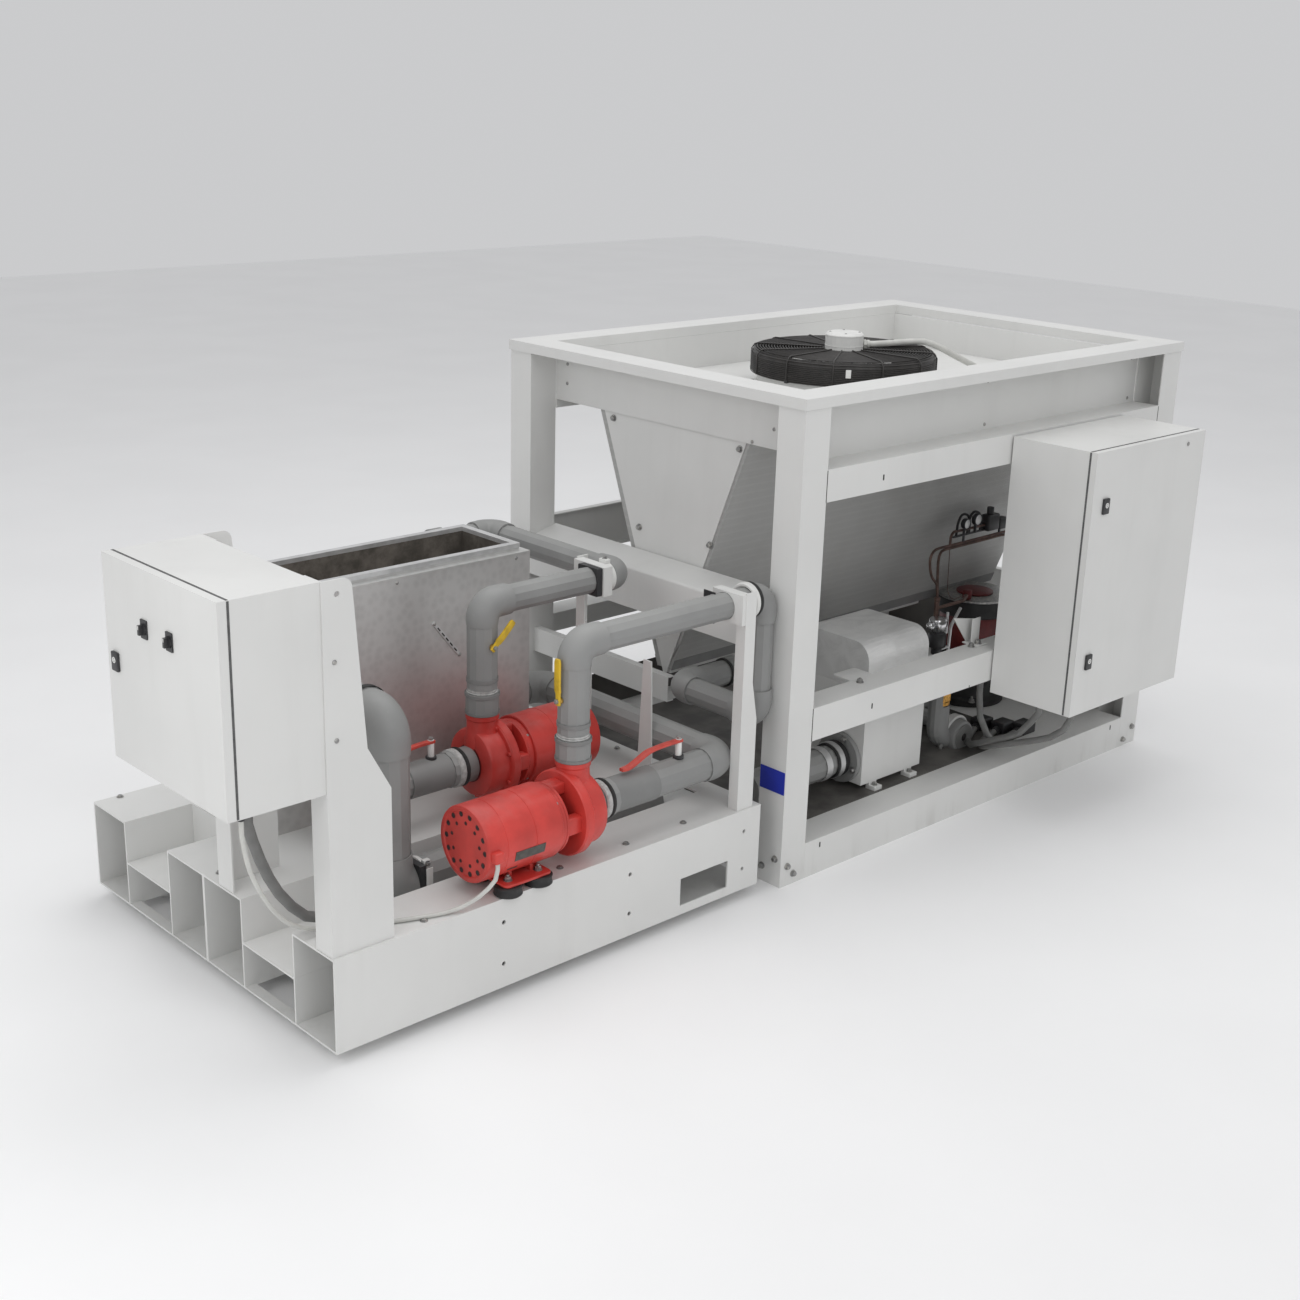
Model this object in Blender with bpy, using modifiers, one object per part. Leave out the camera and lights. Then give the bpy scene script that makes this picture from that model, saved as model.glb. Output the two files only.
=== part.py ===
"""Air cooled water chiller with its pump skid.

The pump skid stands at -X: a folded steel base with fork pockets, a control
box on two brackets, two motor pumps, their pipes and an insulated tank. The
chiller stands at +X: an open frame with a fan in a sunk deck, a V shaped
coil, a plate evaporator, a compressor and an electrical cabinet.
Metres, +Z up, the ground at Z 0. X runs along the set, from the pump skid to
the chiller, and -Y is the side with the electrical cabinet.
"""

import math

import bmesh
import bpy
from mathutils import Vector

# Gaps
TOUCH = 0.0003
RUN = 0.006

# Pump skid
SKID_LENGTH = 1.394
SKID_WIDTH = 1.162
SKID_LIFT = 0.036
BEAM_HEIGHT = 0.242
BEAM_SHEET = 0.005
SIDE_BEAM_WIDTH = 0.175
POCKET_WIDTH = 0.236
POCKET_HEIGHT = 0.126
STRAP_WIDTH = 0.030
POCKET_SLOT_LENGTH = 0.300
MIDDLE_WEB = 0.010
BASE_PLATE_START = 0.197
REAR_MEMBER_WIDTH = 0.075
WINDOW_LENGTH = 0.180
WINDOW_HEIGHT = 0.080
WINDOW_MARGIN = 0.122
BEAM_HOLE_RADIUS = 0.006
BEAM_HOLE_SPACING = 0.113
FOOT_RADIUS = 0.038
FOOT_INSET = 0.075

# Control box on its brackets
BOX_WIDTH = 0.494
BOX_HEIGHT = 0.484
BOX_DEPTH = 0.2205
BOX_BOTTOM = 0.679
BOX_SIDE = 0.012
BOX_SHEET = 0.002
DOOR_DEPTH = 0.022
DOOR_SHEET = 0.002
BOX_LIP = 0.014
PLATE_STAND = 0.020
PLATE_SHEET = 0.003
PLATE_MARGIN = 0.030
BRACKET_SHEET = 0.004
BRACKET_FLANGE = 0.065
BRACKET_TOP_LENGTH = 0.078
BRACKET_WAIST = 0.107
BRACKET_FOOT_LENGTH = 0.168
BRACKET_KNEE_HIGH = 0.763
BRACKET_KNEE_LOW = 0.653
SELECTOR_HEIGHT = 1.028
SELECTOR_SPACING = 0.110
SELECTOR_SIDE = 0.215
SELECTOR_RADIUS = 0.013
SELECTOR_LENGTH = 0.016
LATCH_WIDTH = 0.026
LATCH_HEIGHT = 0.042
LATCH_DEPTH = 0.006
CONTROL_LATCH_Z = 0.918

# Pumps
NEAR_PUMP_Y = 0.075
FAR_PUMP_Y = 0.480
NEAR_MOTOR_END = 0.425
MOTOR_RADIUS = 0.098
MOTOR_LENGTH = 0.250
MOTOR_STEPS = 24
ADAPTER_LENGTH = 0.047
DISC_LENGTH = 0.028
DISC_RADIUS = 0.113
VOLUTE_LENGTH = 0.062
VOLUTE_RADIUS = 0.098
CASING_BEVEL = 0.010
NECK_PLACE = 0.018
GLAND_PLACE = 0.019
GLAND_SIZE = 0.022
VENT_COUNT = 14
VENT_RADIUS = 0.0085
VENT_DEPTH = 0.008
MOTOR_LIP = 0.006
MOTOR_NOSE = 0.016
LUG_TURN = 45
NECK_RADIUS = 0.042
NECK_HEIGHT = 0.136
MOUNT_RADIUS = 0.038
MOUNT_HEIGHT = 0.027
MOUNT_PLATE = 0.010
FOOT_PLACE = 0.135
MOUNT_MARGIN = 0.022
MOUNT_SPACING_X = 0.095
SADDLE_HALF = 0.060
MOUNT_SPACING_Y = 0.120

# Pipes and their bends
PIPE_STEPS = 12
SUCTION_RADIUS = 0.045
UNION_RADIUS = 0.050
UNION_START = 0.032
UNION_END = 0.080
SOCKET_RADIUS = 0.0455
SOCKET_LENGTH = 0.060
DROP_RADIUS = 0.0375
VALVE_RADIUS = 0.0415
VALVE_LIFT = 0.012
TANK_PIPE_RADIUS = 0.055
DISCHARGE_HEIGHT = 0.853
DISCHARGE_BEND = 0.044
HEADER_BEND = 0.055
HEADER_INSET = 0.086
DROP_GAP = 0.042
DROP_BOTTOM = 0.512
GAP_PIPE_END = 0.380
TANK_PIPE_X = 0.355
TANK_PIPE_Y = 0.290
TANK_PIPE_TOP = 0.690
TANK_PIPE_FLOOR = 0.240
TANK_PIPE_INSET = 0.144
TANK_RING_PLACE = 0.080
TANK_RING_LENGTH = 0.016
FAR_SUCTION_REACH = 0.352
FAR_RUN_INSET = 0.117
FAR_RUN_Y = 1.050
FAR_RUN_REACH = 0.317

# Valve levers
LEVER_WIDTH = 0.022
LEVER_SHEET = 0.004
RED_LEVER_LENGTH = 0.200
YELLOW_LEVER_LENGTH = 0.110
LEVER_RISE = 0.020
LEVER_LIFT = 0.008
STEM_RADIUS = 0.009
NEAR_STEM_PLACE = 0.168
FAR_STEM_PLACE = 0.127
NEAR_RISER_STEM_Z = 0.715
FAR_RISER_STEM_Z = 0.745

# Insulated tank
TANK_START = 0.205
TANK_INSET = 0.289
TANK_BACK_INSET = 0.202
TANK_WIDTH = 0.300
TANK_HEIGHT = 0.630
TRAY_DEPTH = 0.060
TRAY_RIM = 0.018
TRAY_INSET = 0.022
TRAY_RISE = 0.020

# Pipe supports
POST_SHEET = 0.005
POST_FLANGE = 0.032
POST_FOOT = 0.060
POST_TOP = 0.038
FAR_POST_INSET = 0.199
FAR_MOTOR_GAP = 0.044
FAR_POST_Y = 0.560
HEADER_POST_Y = 0.330
HEADER_POST_HEIGHT = 0.360
HEADER_POST_WIDTH = 0.062
HEADER_FOOT_REACH = 0.060
CLIP_HALF = 0.046
CLIP_DEPTH = 0.020
CLIP_OVERHANG = 0.012
POST_KINK_HIGH = 0.645
POST_KINK_LOW = 0.535
NEAR_POST_INSET = 0.089
NEAR_POST_Y = 0.008

# Chiller frame
CHILLER_GAP = 0.081
CHILLER_LENGTH = 1.830
CHILLER_WIDTH = 1.220
CHILLER_SIDE = -0.014
FRAME_SHEET = 0.004
POST_X = 0.100
POST_Y = 0.096
RIM_HEIGHT = 1.400
RIM_BAND = 0.030
RIM_OVERHANG = 0.005
BASE_HEIGHT = 0.110
SIDE_RAIL_BOTTOM = 0.423
SIDE_RAIL_HEIGHT = 0.098
SIDE_RAIL_FLANGE = 0.090
END_RAIL_BOTTOM = 0.676
END_RAIL_HEIGHT = 0.122
END_RAIL_FLANGE = 0.092
UPPER_RAIL_HEIGHT = 0.070
SIDE_PANEL_HEIGHT = 0.190
END_PANEL_HEIGHT = 0.150
PANEL_STEP = 0.001
DECK_DROP = 0.138

# Fan
FAN_SHARE = 0.4645
FAN_HOLE_RADIUS = 0.262
FAN_RING_HEIGHT = 0.040
GUARD_RADIUS = 0.292
GUARD_HEIGHT = 0.078
GUARD_SHOULDER = 0.016
GUARD_WIRE = 0.004
GUARD_SPOKES = 10
GUARD_STEPS = 24
SPOKE_TURN = 5
GUARD_RINGS = 2
FAN_CAP_RADIUS = 0.060
FAN_SHAFT_RADIUS = 0.018
FAN_CAP_HEIGHT = 0.052
FAN_CAP_EDGE = 0.006
FAN_HUB_RADIUS = 0.070
FAN_HUB_HEIGHT = 0.050
FAN_HUB_RISE = 0.028
FAN_BLADES = 7
FAN_TIP_CLEARANCE = 0.012
BLADE_WIDTH = 0.120
BLADE_SHEET = 0.004
BLADE_RAKE = 16

# V coil
COIL_INSET = 0.110
COIL_HEIGHT = 0.435
COIL_FOOT_HALF = 0.1475
COIL_TOP_HALF = 0.2975
COIL_THICKNESS = 0.036
COIL_SHEET = 0.003

# Pieces inside the chiller
STAND_SHARE = 0.2787
STAND_Y = 0.130
STAND_LENGTH = 0.285
STAND_WIDTH = 0.300
STAND_HEIGHT = 0.330
STAND_LEGS = 0.022
STAND_FOOT_WIDTH = 0.035
STAND_FOOT_SHEET = 0.012
STAND_FOOT_INSET = 0.040
EVAPORATOR_HEIGHT = 0.145
EVAPORATOR_EDGE = 0.060
INLET_Y = 0.215
INLET_Z = 0.205
INLET_RADIUS = 0.050
INLET_BAND_PLACE = 0.062
INLET_BAND_LENGTH = 0.020
INLET_BAND_RADIUS = 0.056
INLET_FLANGE_RADIUS = 0.080
INLET_FLANGE_LENGTH = 0.016
COMPRESSOR_SHARE = 0.8115
COLLAR_TOP = 0.020
COLLAR_HEIGHT = 0.115
COMPRESSOR_SKIRT = 0.028
COPPER_RADIUS = 0.011
COPPER_OUTLET_HEIGHT = 0.520
COPPER_DROP = 0.108
COPPER_SIDE = 0.060
COPPER_END = 0.040
COPPER_BEND = 0.030
LINE_SHARE = 0.6366
SUCTION_LINE_RADIUS = 0.028
SUCTION_LINE_HEIGHT = 0.360
SUCTION_LINE_BEND = 0.050
SUCTION_LINE_REACH = 0.155
COMPRESSOR_Y = 0.470
COMPRESSOR_RADIUS = 0.130
COMPRESSOR_HEIGHT = 0.410

# Electrical cabinet
CABINET_SHARE = 0.5066
CABINET_SPACER_INSET = 0.090
CABINET_SPACER_RADIUS = 0.012
CABINET_WIDTH = 0.589
CABINET_DEPTH = 0.271
CABINET_UNDER = 0.037
CABINET_OVER = 0.013
CABINET_DOOR_DEPTH = 0.020
CABINET_GAP = 0.006
CABINET_LATCH_INSET = 0.066
CABINET_LATCH_MARGIN = 0.164

# Cables
GLAND_LENGTH = 0.016
CABLE_REST = 0.001
CONDUIT_TURN = 40
CONDUIT_RADIUS = 0.0055
CONDUIT_X = -0.185
CONDUIT_Y = 0.055
PUMP_CABLE_X = -0.145
PUMP_CABLE_Y = 0.100
CABLE_RADIUS = 0.013
FAN_CABLE_RADIUS = 0.010

# Places worked out from the sizes above
BEAM_BOTTOM = SKID_LIFT
BEAM_TOP = SKID_LIFT + BEAM_HEIGHT
POCKET_TOP = SKID_LIFT + POCKET_HEIGHT
GLAND_Z = 0.396
PUMP_AXIS_HEIGHT = BEAM_TOP + MOUNT_HEIGHT + MOUNT_PLATE + MOTOR_RADIUS + 2 * TOUCH
POCKET_Y = SIDE_BEAM_WIDTH - BEAM_SHEET
SKID_MIDDLE = SKID_WIDTH / 2
FRAME_X0 = SKID_LENGTH + CHILLER_GAP
FRAME_X1 = FRAME_X0 + CHILLER_LENGTH
FRAME_Y0 = CHILLER_SIDE
FRAME_Y1 = CHILLER_SIDE + CHILLER_WIDTH
FRAME_MIDDLE = (FRAME_Y0 + FRAME_Y1) / 2
POST_TOP_Z = RIM_HEIGHT - RIM_BAND
HEADER_X = SKID_LENGTH - HEADER_INSET
DROP_X = SKID_LENGTH + DROP_GAP
TANK_LENGTH = SKID_LENGTH - TANK_START - TANK_INSET
TANK_FRONT = SKID_WIDTH - TANK_BACK_INSET - TANK_WIDTH
TANK_PIPE_END = SKID_LENGTH - TANK_PIPE_INSET
NEAR_POST_X = SKID_LENGTH - NEAR_POST_INSET
FAR_POST_X = SKID_LENGTH - FAR_POST_INSET
FAR_RUN_X = SKID_LENGTH - FAR_RUN_INSET
FAR_RUN_END = FAR_RUN_X - FAR_RUN_REACH
PUMP_LENGTH = MOTOR_LENGTH + TOUCH + ADAPTER_LENGTH + DISC_LENGTH + VOLUTE_LENGTH
FAR_MOTOR_END = FAR_POST_X - CLIP_OVERHANG - FAR_MOTOR_GAP
FAR_VOLUTE_END = FAR_MOTOR_END - PUMP_LENGTH
FAR_SUCTION_TURN = FAR_VOLUTE_END - FAR_SUCTION_REACH
NEAR_STEM_X = HEADER_X - NEAR_STEM_PLACE
FAR_STEM_X = FAR_VOLUTE_END - FAR_STEM_PLACE
SHELF_HEIGHT = RIM_HEIGHT - RIM_BAND - SIDE_PANEL_HEIGHT
END_PANEL_BOTTOM = RIM_HEIGHT - RIM_BAND - END_PANEL_HEIGHT
DECK_HEIGHT = RIM_HEIGHT - DECK_DROP
COIL_START = FRAME_X0 + COIL_INSET
COIL_LENGTH = CHILLER_LENGTH - 2 * COIL_INSET
COIL_BOTTOM = DECK_HEIGHT - FRAME_SHEET - COIL_HEIGHT
FAN_X = FRAME_X0 + CHILLER_LENGTH * FAN_SHARE
STAND_X = FRAME_X0 + CHILLER_LENGTH * STAND_SHARE
COMPRESSOR_X = FRAME_X0 + CHILLER_LENGTH * COMPRESSOR_SHARE
LINE_X = FRAME_X0 + CHILLER_LENGTH * LINE_SHARE
CABINET_X = FRAME_X0 + CHILLER_LENGTH * CABINET_SHARE
CABINET_BOTTOM = SIDE_RAIL_BOTTOM - CABINET_UNDER
CABINET_HEIGHT = SHELF_HEIGHT + CABINET_OVER - CABINET_BOTTOM
BOX_BACK = 0.002
BOX_FRONT = BOX_BACK - BOX_DEPTH
DOOR_FRONT = BOX_FRONT - TOUCH - DOOR_DEPTH
CABINET_BACK = FRAME_Y0 - CABINET_GAP
CABINET_FRONT = CABINET_BACK - CABINET_DEPTH
CABINET_DOOR_FRONT = CABINET_FRONT - TOUCH - CABINET_DOOR_DEPTH
LOW_X = DOOR_FRONT - SELECTOR_LENGTH
HIGH_X = FRAME_X1 + RIM_OVERHANG
LOW_Y = CABINET_DOOR_FRONT - LATCH_DEPTH
HIGH_Y = FRAME_Y1 + RIM_OVERHANG
GUARD_HUB_RADIUS = (FAN_CAP_RADIUS + GUARD_WIRE + TOUCH) / math.cos(math.pi / GUARD_STEPS)
FAN_HUB_TOP = DECK_HEIGHT + FAN_HUB_RISE
CENTRE = Vector(((LOW_X + HIGH_X) / 2, (LOW_Y + HIGH_Y) / 2, 0))

PARTS = "air_cooled_water_chiller"
CUTTERS = "cutters"


def clear_scene():
    for obj in list(bpy.data.objects):
        bpy.data.objects.remove(obj, do_unlink=True)
    for name in (PARTS, CUTTERS):
        collection = bpy.data.collections.get(name)
        if collection:
            bpy.data.collections.remove(collection)
        bpy.context.scene.collection.children.link(bpy.data.collections.new(name))


def material(name, colour, roughness, metallic=0.0):
    found = bpy.data.materials.get(name)
    if found:
        return found
    made = bpy.data.materials.new(name)
    made.use_nodes = True
    shader = made.node_tree.nodes["Principled BSDF"]
    shader.inputs["Base Color"].default_value = (*colour, 1.0)
    shader.inputs["Roughness"].default_value = roughness
    shader.inputs["Metallic"].default_value = metallic
    return made


def grey_paint():
    return material("grey_paint", (0.72, 0.73, 0.73), 0.45)


def red_paint():
    return material("red_paint", (0.62, 0.06, 0.05), 0.4)


def pipe_grey():
    return material("pipe_grey", (0.27, 0.27, 0.27), 0.6)


def rubber():
    return material("rubber", (0.03, 0.03, 0.03), 0.7)


def galvanised():
    return material("galvanised", (0.55, 0.56, 0.56), 0.45, 0.6)


def black_wire():
    return material("black_wire", (0.05, 0.05, 0.05), 0.45)


def lever_red():
    return material("lever_red", (0.70, 0.10, 0.08), 0.45)


def lever_yellow():
    return material("lever_yellow", (0.75, 0.50, 0.03), 0.45)


def copper():
    return material("copper", (0.55, 0.25, 0.16), 0.4, 0.9)


def foil():
    return material("foil", (0.60, 0.60, 0.60), 0.4, 0.4)


def coil_metal():
    return material("coil_metal", (0.42, 0.43, 0.44), 0.5, 0.5)


def cable_white():
    return material("cable_white", (0.75, 0.75, 0.73), 0.5)


def adopt(obj, name, look, parent):
    """Name a new object, give it its material and put it under its parent."""
    obj.name = name
    obj.data.name = name
    obj.data.materials.clear()
    obj.data.materials.append(look)
    obj.parent = parent
    for collection in list(obj.users_collection):
        collection.objects.unlink(obj)
    bpy.data.collections[PARTS].objects.link(obj)
    return obj


def hide(obj):
    """Keep an object only as a cutter or as a piece that a union takes in."""
    for collection in list(obj.users_collection):
        collection.objects.unlink(obj)
    bpy.data.collections[CUTTERS].objects.link(obj)
    obj.hide_render = True
    obj.display_type = "WIRE"
    return obj


def mesh_object(name, mesh_data, place=(0, 0, 0)):
    obj = bpy.data.objects.new(name, mesh_data)
    obj.location = place
    bpy.context.scene.collection.objects.link(obj)
    return obj


def box(low, high):
    """A box between two corners, its scale already applied."""
    low = Vector(low)
    high = Vector(high)
    shape = bmesh.new()
    bmesh.ops.create_cube(shape, size=1.0)
    for corner in shape.verts:
        corner.co = Vector(c * s for c, s in zip(corner.co, high - low))
    data = bpy.data.meshes.new("box")
    shape.to_mesh(data)
    shape.free()
    return mesh_object("box", data, (low + high) / 2)


def cylinder(centre, radius, length, axis="Z", steps=24, radius_end=None):
    """A cylinder or cone around its centre, along X, Y or Z."""
    shape = bmesh.new()
    end = radius if radius_end is None else radius_end
    bmesh.ops.create_cone(shape, cap_ends=True, segments=steps,
                          radius1=radius, radius2=end, depth=length)
    data = bpy.data.meshes.new("cylinder")
    shape.to_mesh(data)
    shape.free()
    obj = mesh_object("cylinder", data, centre)
    turns = {"X": (0, math.pi / 2, 0), "Y": (-math.pi / 2, 0, 0), "Z": (0, 0, 0)}
    obj.rotation_euler = turns[axis]
    return obj


def outline(loops, depth, axis, place):
    """A flat outline made solid. The loops are in (Y, Z), (X, Z) or (X, Y)."""
    data = bpy.data.curves.new("outline", "CURVE")
    data.dimensions = "2D"
    data.fill_mode = "BOTH"
    data.extrude = depth / 2
    for points in loops:
        spline = data.splines.new("POLY")
        spline.points.add(len(points) - 1)
        for point, (u, v) in zip(spline.points, points):
            point.co = (u, v, 0, 1)
        spline.use_cyclic_u = True
    obj = bpy.data.objects.new("outline", data)
    bpy.context.scene.collection.objects.link(obj)
    turns = {"X": (math.pi / 2, 0, math.pi / 2), "Y": (math.pi / 2, 0, 0), "Z": (0, 0, 0)}
    obj.rotation_euler = turns[axis]
    obj.location = place
    return as_mesh(obj)


def as_mesh(obj):
    """Turn a curve into a mesh object in the same place, its caps welded."""
    bpy.context.view_layer.update()
    graph = bpy.context.evaluated_depsgraph_get()
    data = bpy.data.meshes.new_from_object(obj.evaluated_get(graph))
    shape = bmesh.new()
    shape.from_mesh(data)
    bmesh.ops.remove_doubles(shape, verts=shape.verts, dist=0.00001)
    bmesh.ops.recalc_face_normals(shape, faces=shape.faces)
    shape.to_mesh(data)
    shape.free()
    made = bpy.data.objects.new(obj.name, data)
    made.matrix_world = obj.matrix_world.copy()
    bpy.context.scene.collection.objects.link(made)
    bpy.data.objects.remove(obj, do_unlink=True)
    return made


def rounded(points, radius, steps=5):
    """A route of straight runs whose corners are rounded to a bend radius."""
    points = [Vector(p) for p in points]
    route = [points[0]]
    for before, corner, after in zip(points, points[1:], points[2:]):
        back = (before - corner).normalized()
        ahead = (after - corner).normalized()
        half = back.angle(ahead) / 2
        reach = radius / math.tan(half)
        middle = corner + (back + ahead).normalized() * (radius / math.sin(half))
        start = corner + back * reach - middle
        stop = corner + ahead * reach - middle
        sweep = start.angle(stop)
        for index in range(steps + 1):
            share = index / steps
            turned = start * math.sin((1 - share) * sweep) + stop * math.sin(share * sweep)
            route.append(middle + turned / math.sin(sweep))
    route.append(points[-1])
    return route


def pipe(route, radius, resolution=None):
    """A solid round pipe along a route of points."""
    data = bpy.data.curves.new("pipe", "CURVE")
    data.dimensions = "3D"
    data.fill_mode = "FULL"
    data.bevel_depth = radius
    data.bevel_resolution = PIPE_STEPS // 2 - 2 if resolution is None else resolution
    data.use_fill_caps = True
    spline = data.splines.new("POLY")
    spline.points.add(len(route) - 1)
    for point, place in zip(spline.points, route):
        point.co = (*place, 1)
    obj = bpy.data.objects.new("pipe", data)
    bpy.context.scene.collection.objects.link(obj)
    return obj


def smooth_route(points, step):
    """Points read from a smooth curve through a cable's points, its two end runs straight."""
    points = [Vector(p) for p in points]
    route = [points[0]]
    for a, b, c, d in zip(points, points[1:], points[2:], points[3:]):
        count = max(1, round((c - b).length / step))
        for index in range(count):
            t = index / count
            route.append(0.5 * (2 * b + (c - a) * t + (2 * a - 5 * b + 4 * c - d) * t ** 2
                                + (3 * b - a - 3 * c + d) * t ** 3))
    return route + points[-2:]


def turned(profile, place, axis="Z", steps=24):
    """A turned solid from an (r, z) profile that runs from top to bottom."""
    data = bpy.data.meshes.new("turned")
    data.from_pydata([(r, 0, z) for r, z in profile],
                     [(i, i + 1) for i in range(len(profile) - 1)], [])
    obj = mesh_object("turned", data, place)
    turn = {"X": (0, math.pi / 2, 0), "Y": (-math.pi / 2, 0, 0), "Z": (0, 0, 0)}
    obj.rotation_euler = turn[axis]
    screw = obj.modifiers.new("turn", "SCREW")
    screw.steps = steps
    screw.render_steps = steps
    screw.use_merge_vertices = True
    screw.merge_threshold = 0.00001
    return obj


def combine(base, others, operation):
    """Boolean modifiers on the base, one for each other object."""
    for other in others:
        cut = base.modifiers.new(operation.lower(), "BOOLEAN")
        cut.operation = operation
        cut.solver = "EXACT"
        cut.object = hide(other)
    return base


def unite(base, others):
    return combine(base, others, "UNION")


def cut_out(base, others):
    return combine(base, others, "DIFFERENCE")


def smooth(obj, degrees=35):
    """Round pieces are shaded smooth, with their edges kept sharp."""
    obj.data.shade_smooth()
    obj.data.set_sharp_from_angle(angle=math.radians(degrees))
    return obj


def under(children, parent):
    """Cutters and taken in pieces move with the piece that they shape."""
    for child in children:
        child.parent = parent
    return children


def mirrored(points, line):
    """An outline mirrored across the vertical line at the given place."""
    return [(2 * line - u, v) for u, v in reversed(points)]


def side_beam_outline():
    """Web, top flange with a half height lip, and bottom flange."""
    flange = POCKET_Y - TOUCH
    lip = POCKET_TOP + TOUCH
    return [(0, BEAM_BOTTOM), (flange, BEAM_BOTTOM), (flange, BEAM_BOTTOM + BEAM_SHEET),
            (BEAM_SHEET, BEAM_BOTTOM + BEAM_SHEET), (BEAM_SHEET, BEAM_TOP - BEAM_SHEET),
            (SIDE_BEAM_WIDTH - BEAM_SHEET, BEAM_TOP - BEAM_SHEET),
            (SIDE_BEAM_WIDTH - BEAM_SHEET, lip), (SIDE_BEAM_WIDTH, lip),
            (SIDE_BEAM_WIDTH, BEAM_TOP), (0, BEAM_TOP)]


def foot(x, y):
    """A round pad on a stem, under a side beam."""
    pad = SKID_LIFT * 0.55
    stem = FOOT_RADIUS * 0.4
    profile = [(0, SKID_LIFT + BEAM_SHEET / 2), (stem, SKID_LIFT + BEAM_SHEET / 2), (stem, pad),
               (FOOT_RADIUS * 0.9, pad), (FOOT_RADIUS, pad * 0.7), (FOOT_RADIUS, 0), (0, 0)]
    return turned(profile, (x, y, 0), steps=16)


def side_beam(name, root, right):
    """A folded channel with its web outside, holes, a window and two feet."""
    points = side_beam_outline()
    web = 0.0
    if not right:
        points = mirrored(points, SKID_MIDDLE)
        web = SKID_WIDTH
    beam = outline([points], SKID_LENGTH, "X", (SKID_LENGTH / 2, 0, 0))
    adopt(beam, name, grey_paint(), root)
    window_end = SKID_LENGTH - WINDOW_MARGIN
    window_low = BEAM_BOTTOM + BEAM_HEIGHT * 0.11
    cuts = [box((window_end - WINDOW_LENGTH, web - BEAM_SHEET * 2, window_low),
                (window_end, web + BEAM_SHEET * 2, window_low + WINDOW_HEIGHT))]
    hole_low = BEAM_BOTTOM + (BEAM_HEIGHT - BEAM_HOLE_SPACING) / 2
    for share in (0.35, 0.65, 0.955):
        for z in (hole_low, hole_low + BEAM_HOLE_SPACING):
            cuts.append(cylinder((SKID_LENGTH * share, web, z), BEAM_HOLE_RADIUS,
                                 BEAM_SHEET * 4, "Y", 10))
    y = SIDE_BEAM_WIDTH / 2 if right else SKID_WIDTH - SIDE_BEAM_WIDTH / 2
    feet = [foot(x, y) for x in (FOOT_INSET * 2, SKID_LENGTH - FOOT_INSET)]
    unite(beam, under(feet, root))
    cut_out(beam, under(cuts, root))
    return beam


def skid_middle(root):
    """The middle beam, two channels back to back, with both fork pockets."""
    t = BEAM_SHEET
    inner = POCKET_Y + POCKET_WIDTH
    low = inner - t
    high = SKID_WIDTH - low
    web = MIDDLE_WEB / 2
    half = [(SKID_MIDDLE - web, BEAM_BOTTOM + t), (inner - t / 2, BEAM_BOTTOM + t),
            (inner - t / 2, BEAM_BOTTOM)]
    foot_line = half + mirrored(half, SKID_MIDDLE)
    top_half = [(low, POCKET_TOP - t / 2), (low + t, POCKET_TOP - t / 2), (low + t, BEAM_TOP - t),
                (SKID_MIDDLE - web, BEAM_TOP - t)]
    points = ([(low, BEAM_TOP)] + top_half + foot_line
              + mirrored(top_half, SKID_MIDDLE) + [(high, BEAM_TOP)])
    beam = outline([points], SKID_LENGTH, "X", (SKID_LENGTH / 2, 0, 0))
    adopt(beam, "skid_middle", grey_paint(), root)
    pockets = []
    slots = []
    for y in (POCKET_Y, SKID_WIDTH - POCKET_Y - POCKET_WIDTH):
        far = y + POCKET_WIDTH
        wall = [(y, BEAM_BOTTOM), (far, BEAM_BOTTOM), (far, POCKET_TOP), (y, POCKET_TOP)]
        inside = [(y + t, BEAM_BOTTOM + t), (far - t, BEAM_BOTTOM + t),
                  (far - t, POCKET_TOP - t), (y + t, POCKET_TOP - t)]
        pockets.append(outline([wall, inside], SKID_LENGTH, "X", (SKID_LENGTH / 2, 0, 0)))
        slots.append(box((STRAP_WIDTH, y + t, 0), (STRAP_WIDTH + POCKET_SLOT_LENGTH, far - t,
                                                   BEAM_BOTTOM + t * 2)))
    unite(beam, under(pockets, root))
    cut_out(beam, under(slots, root))
    rear = SKID_LENGTH - REAR_MEMBER_WIDTH
    member = box((rear, low - POCKET_WIDTH + t * 2 + TOUCH, BEAM_TOP - t), (SKID_LENGTH, inner, BEAM_TOP))
    unite(beam, under([member], root))
    return beam


def tank_base_plate(root):
    """The tray between the middle and the left beam that carries the tank."""
    low = SKID_WIDTH - POCKET_Y - POCKET_WIDTH + BEAM_SHEET + TOUCH
    high = SKID_WIDTH - SIDE_BEAM_WIDTH - TOUCH
    start = BASE_PLATE_START
    skirt = POCKET_TOP + TOUCH
    points = [(start, skirt), (start + BEAM_SHEET, skirt), (start + BEAM_SHEET, BEAM_TOP - BEAM_SHEET),
              (SKID_LENGTH - BEAM_SHEET, BEAM_TOP - BEAM_SHEET), (SKID_LENGTH - BEAM_SHEET, skirt),
              (SKID_LENGTH, skirt), (SKID_LENGTH, BEAM_TOP), (start, BEAM_TOP)]
    plate = outline([points], high - low, "Y", (0, (low + high) / 2, 0))
    return adopt(plate, "tank_base_plate", grey_paint(), root)


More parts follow.
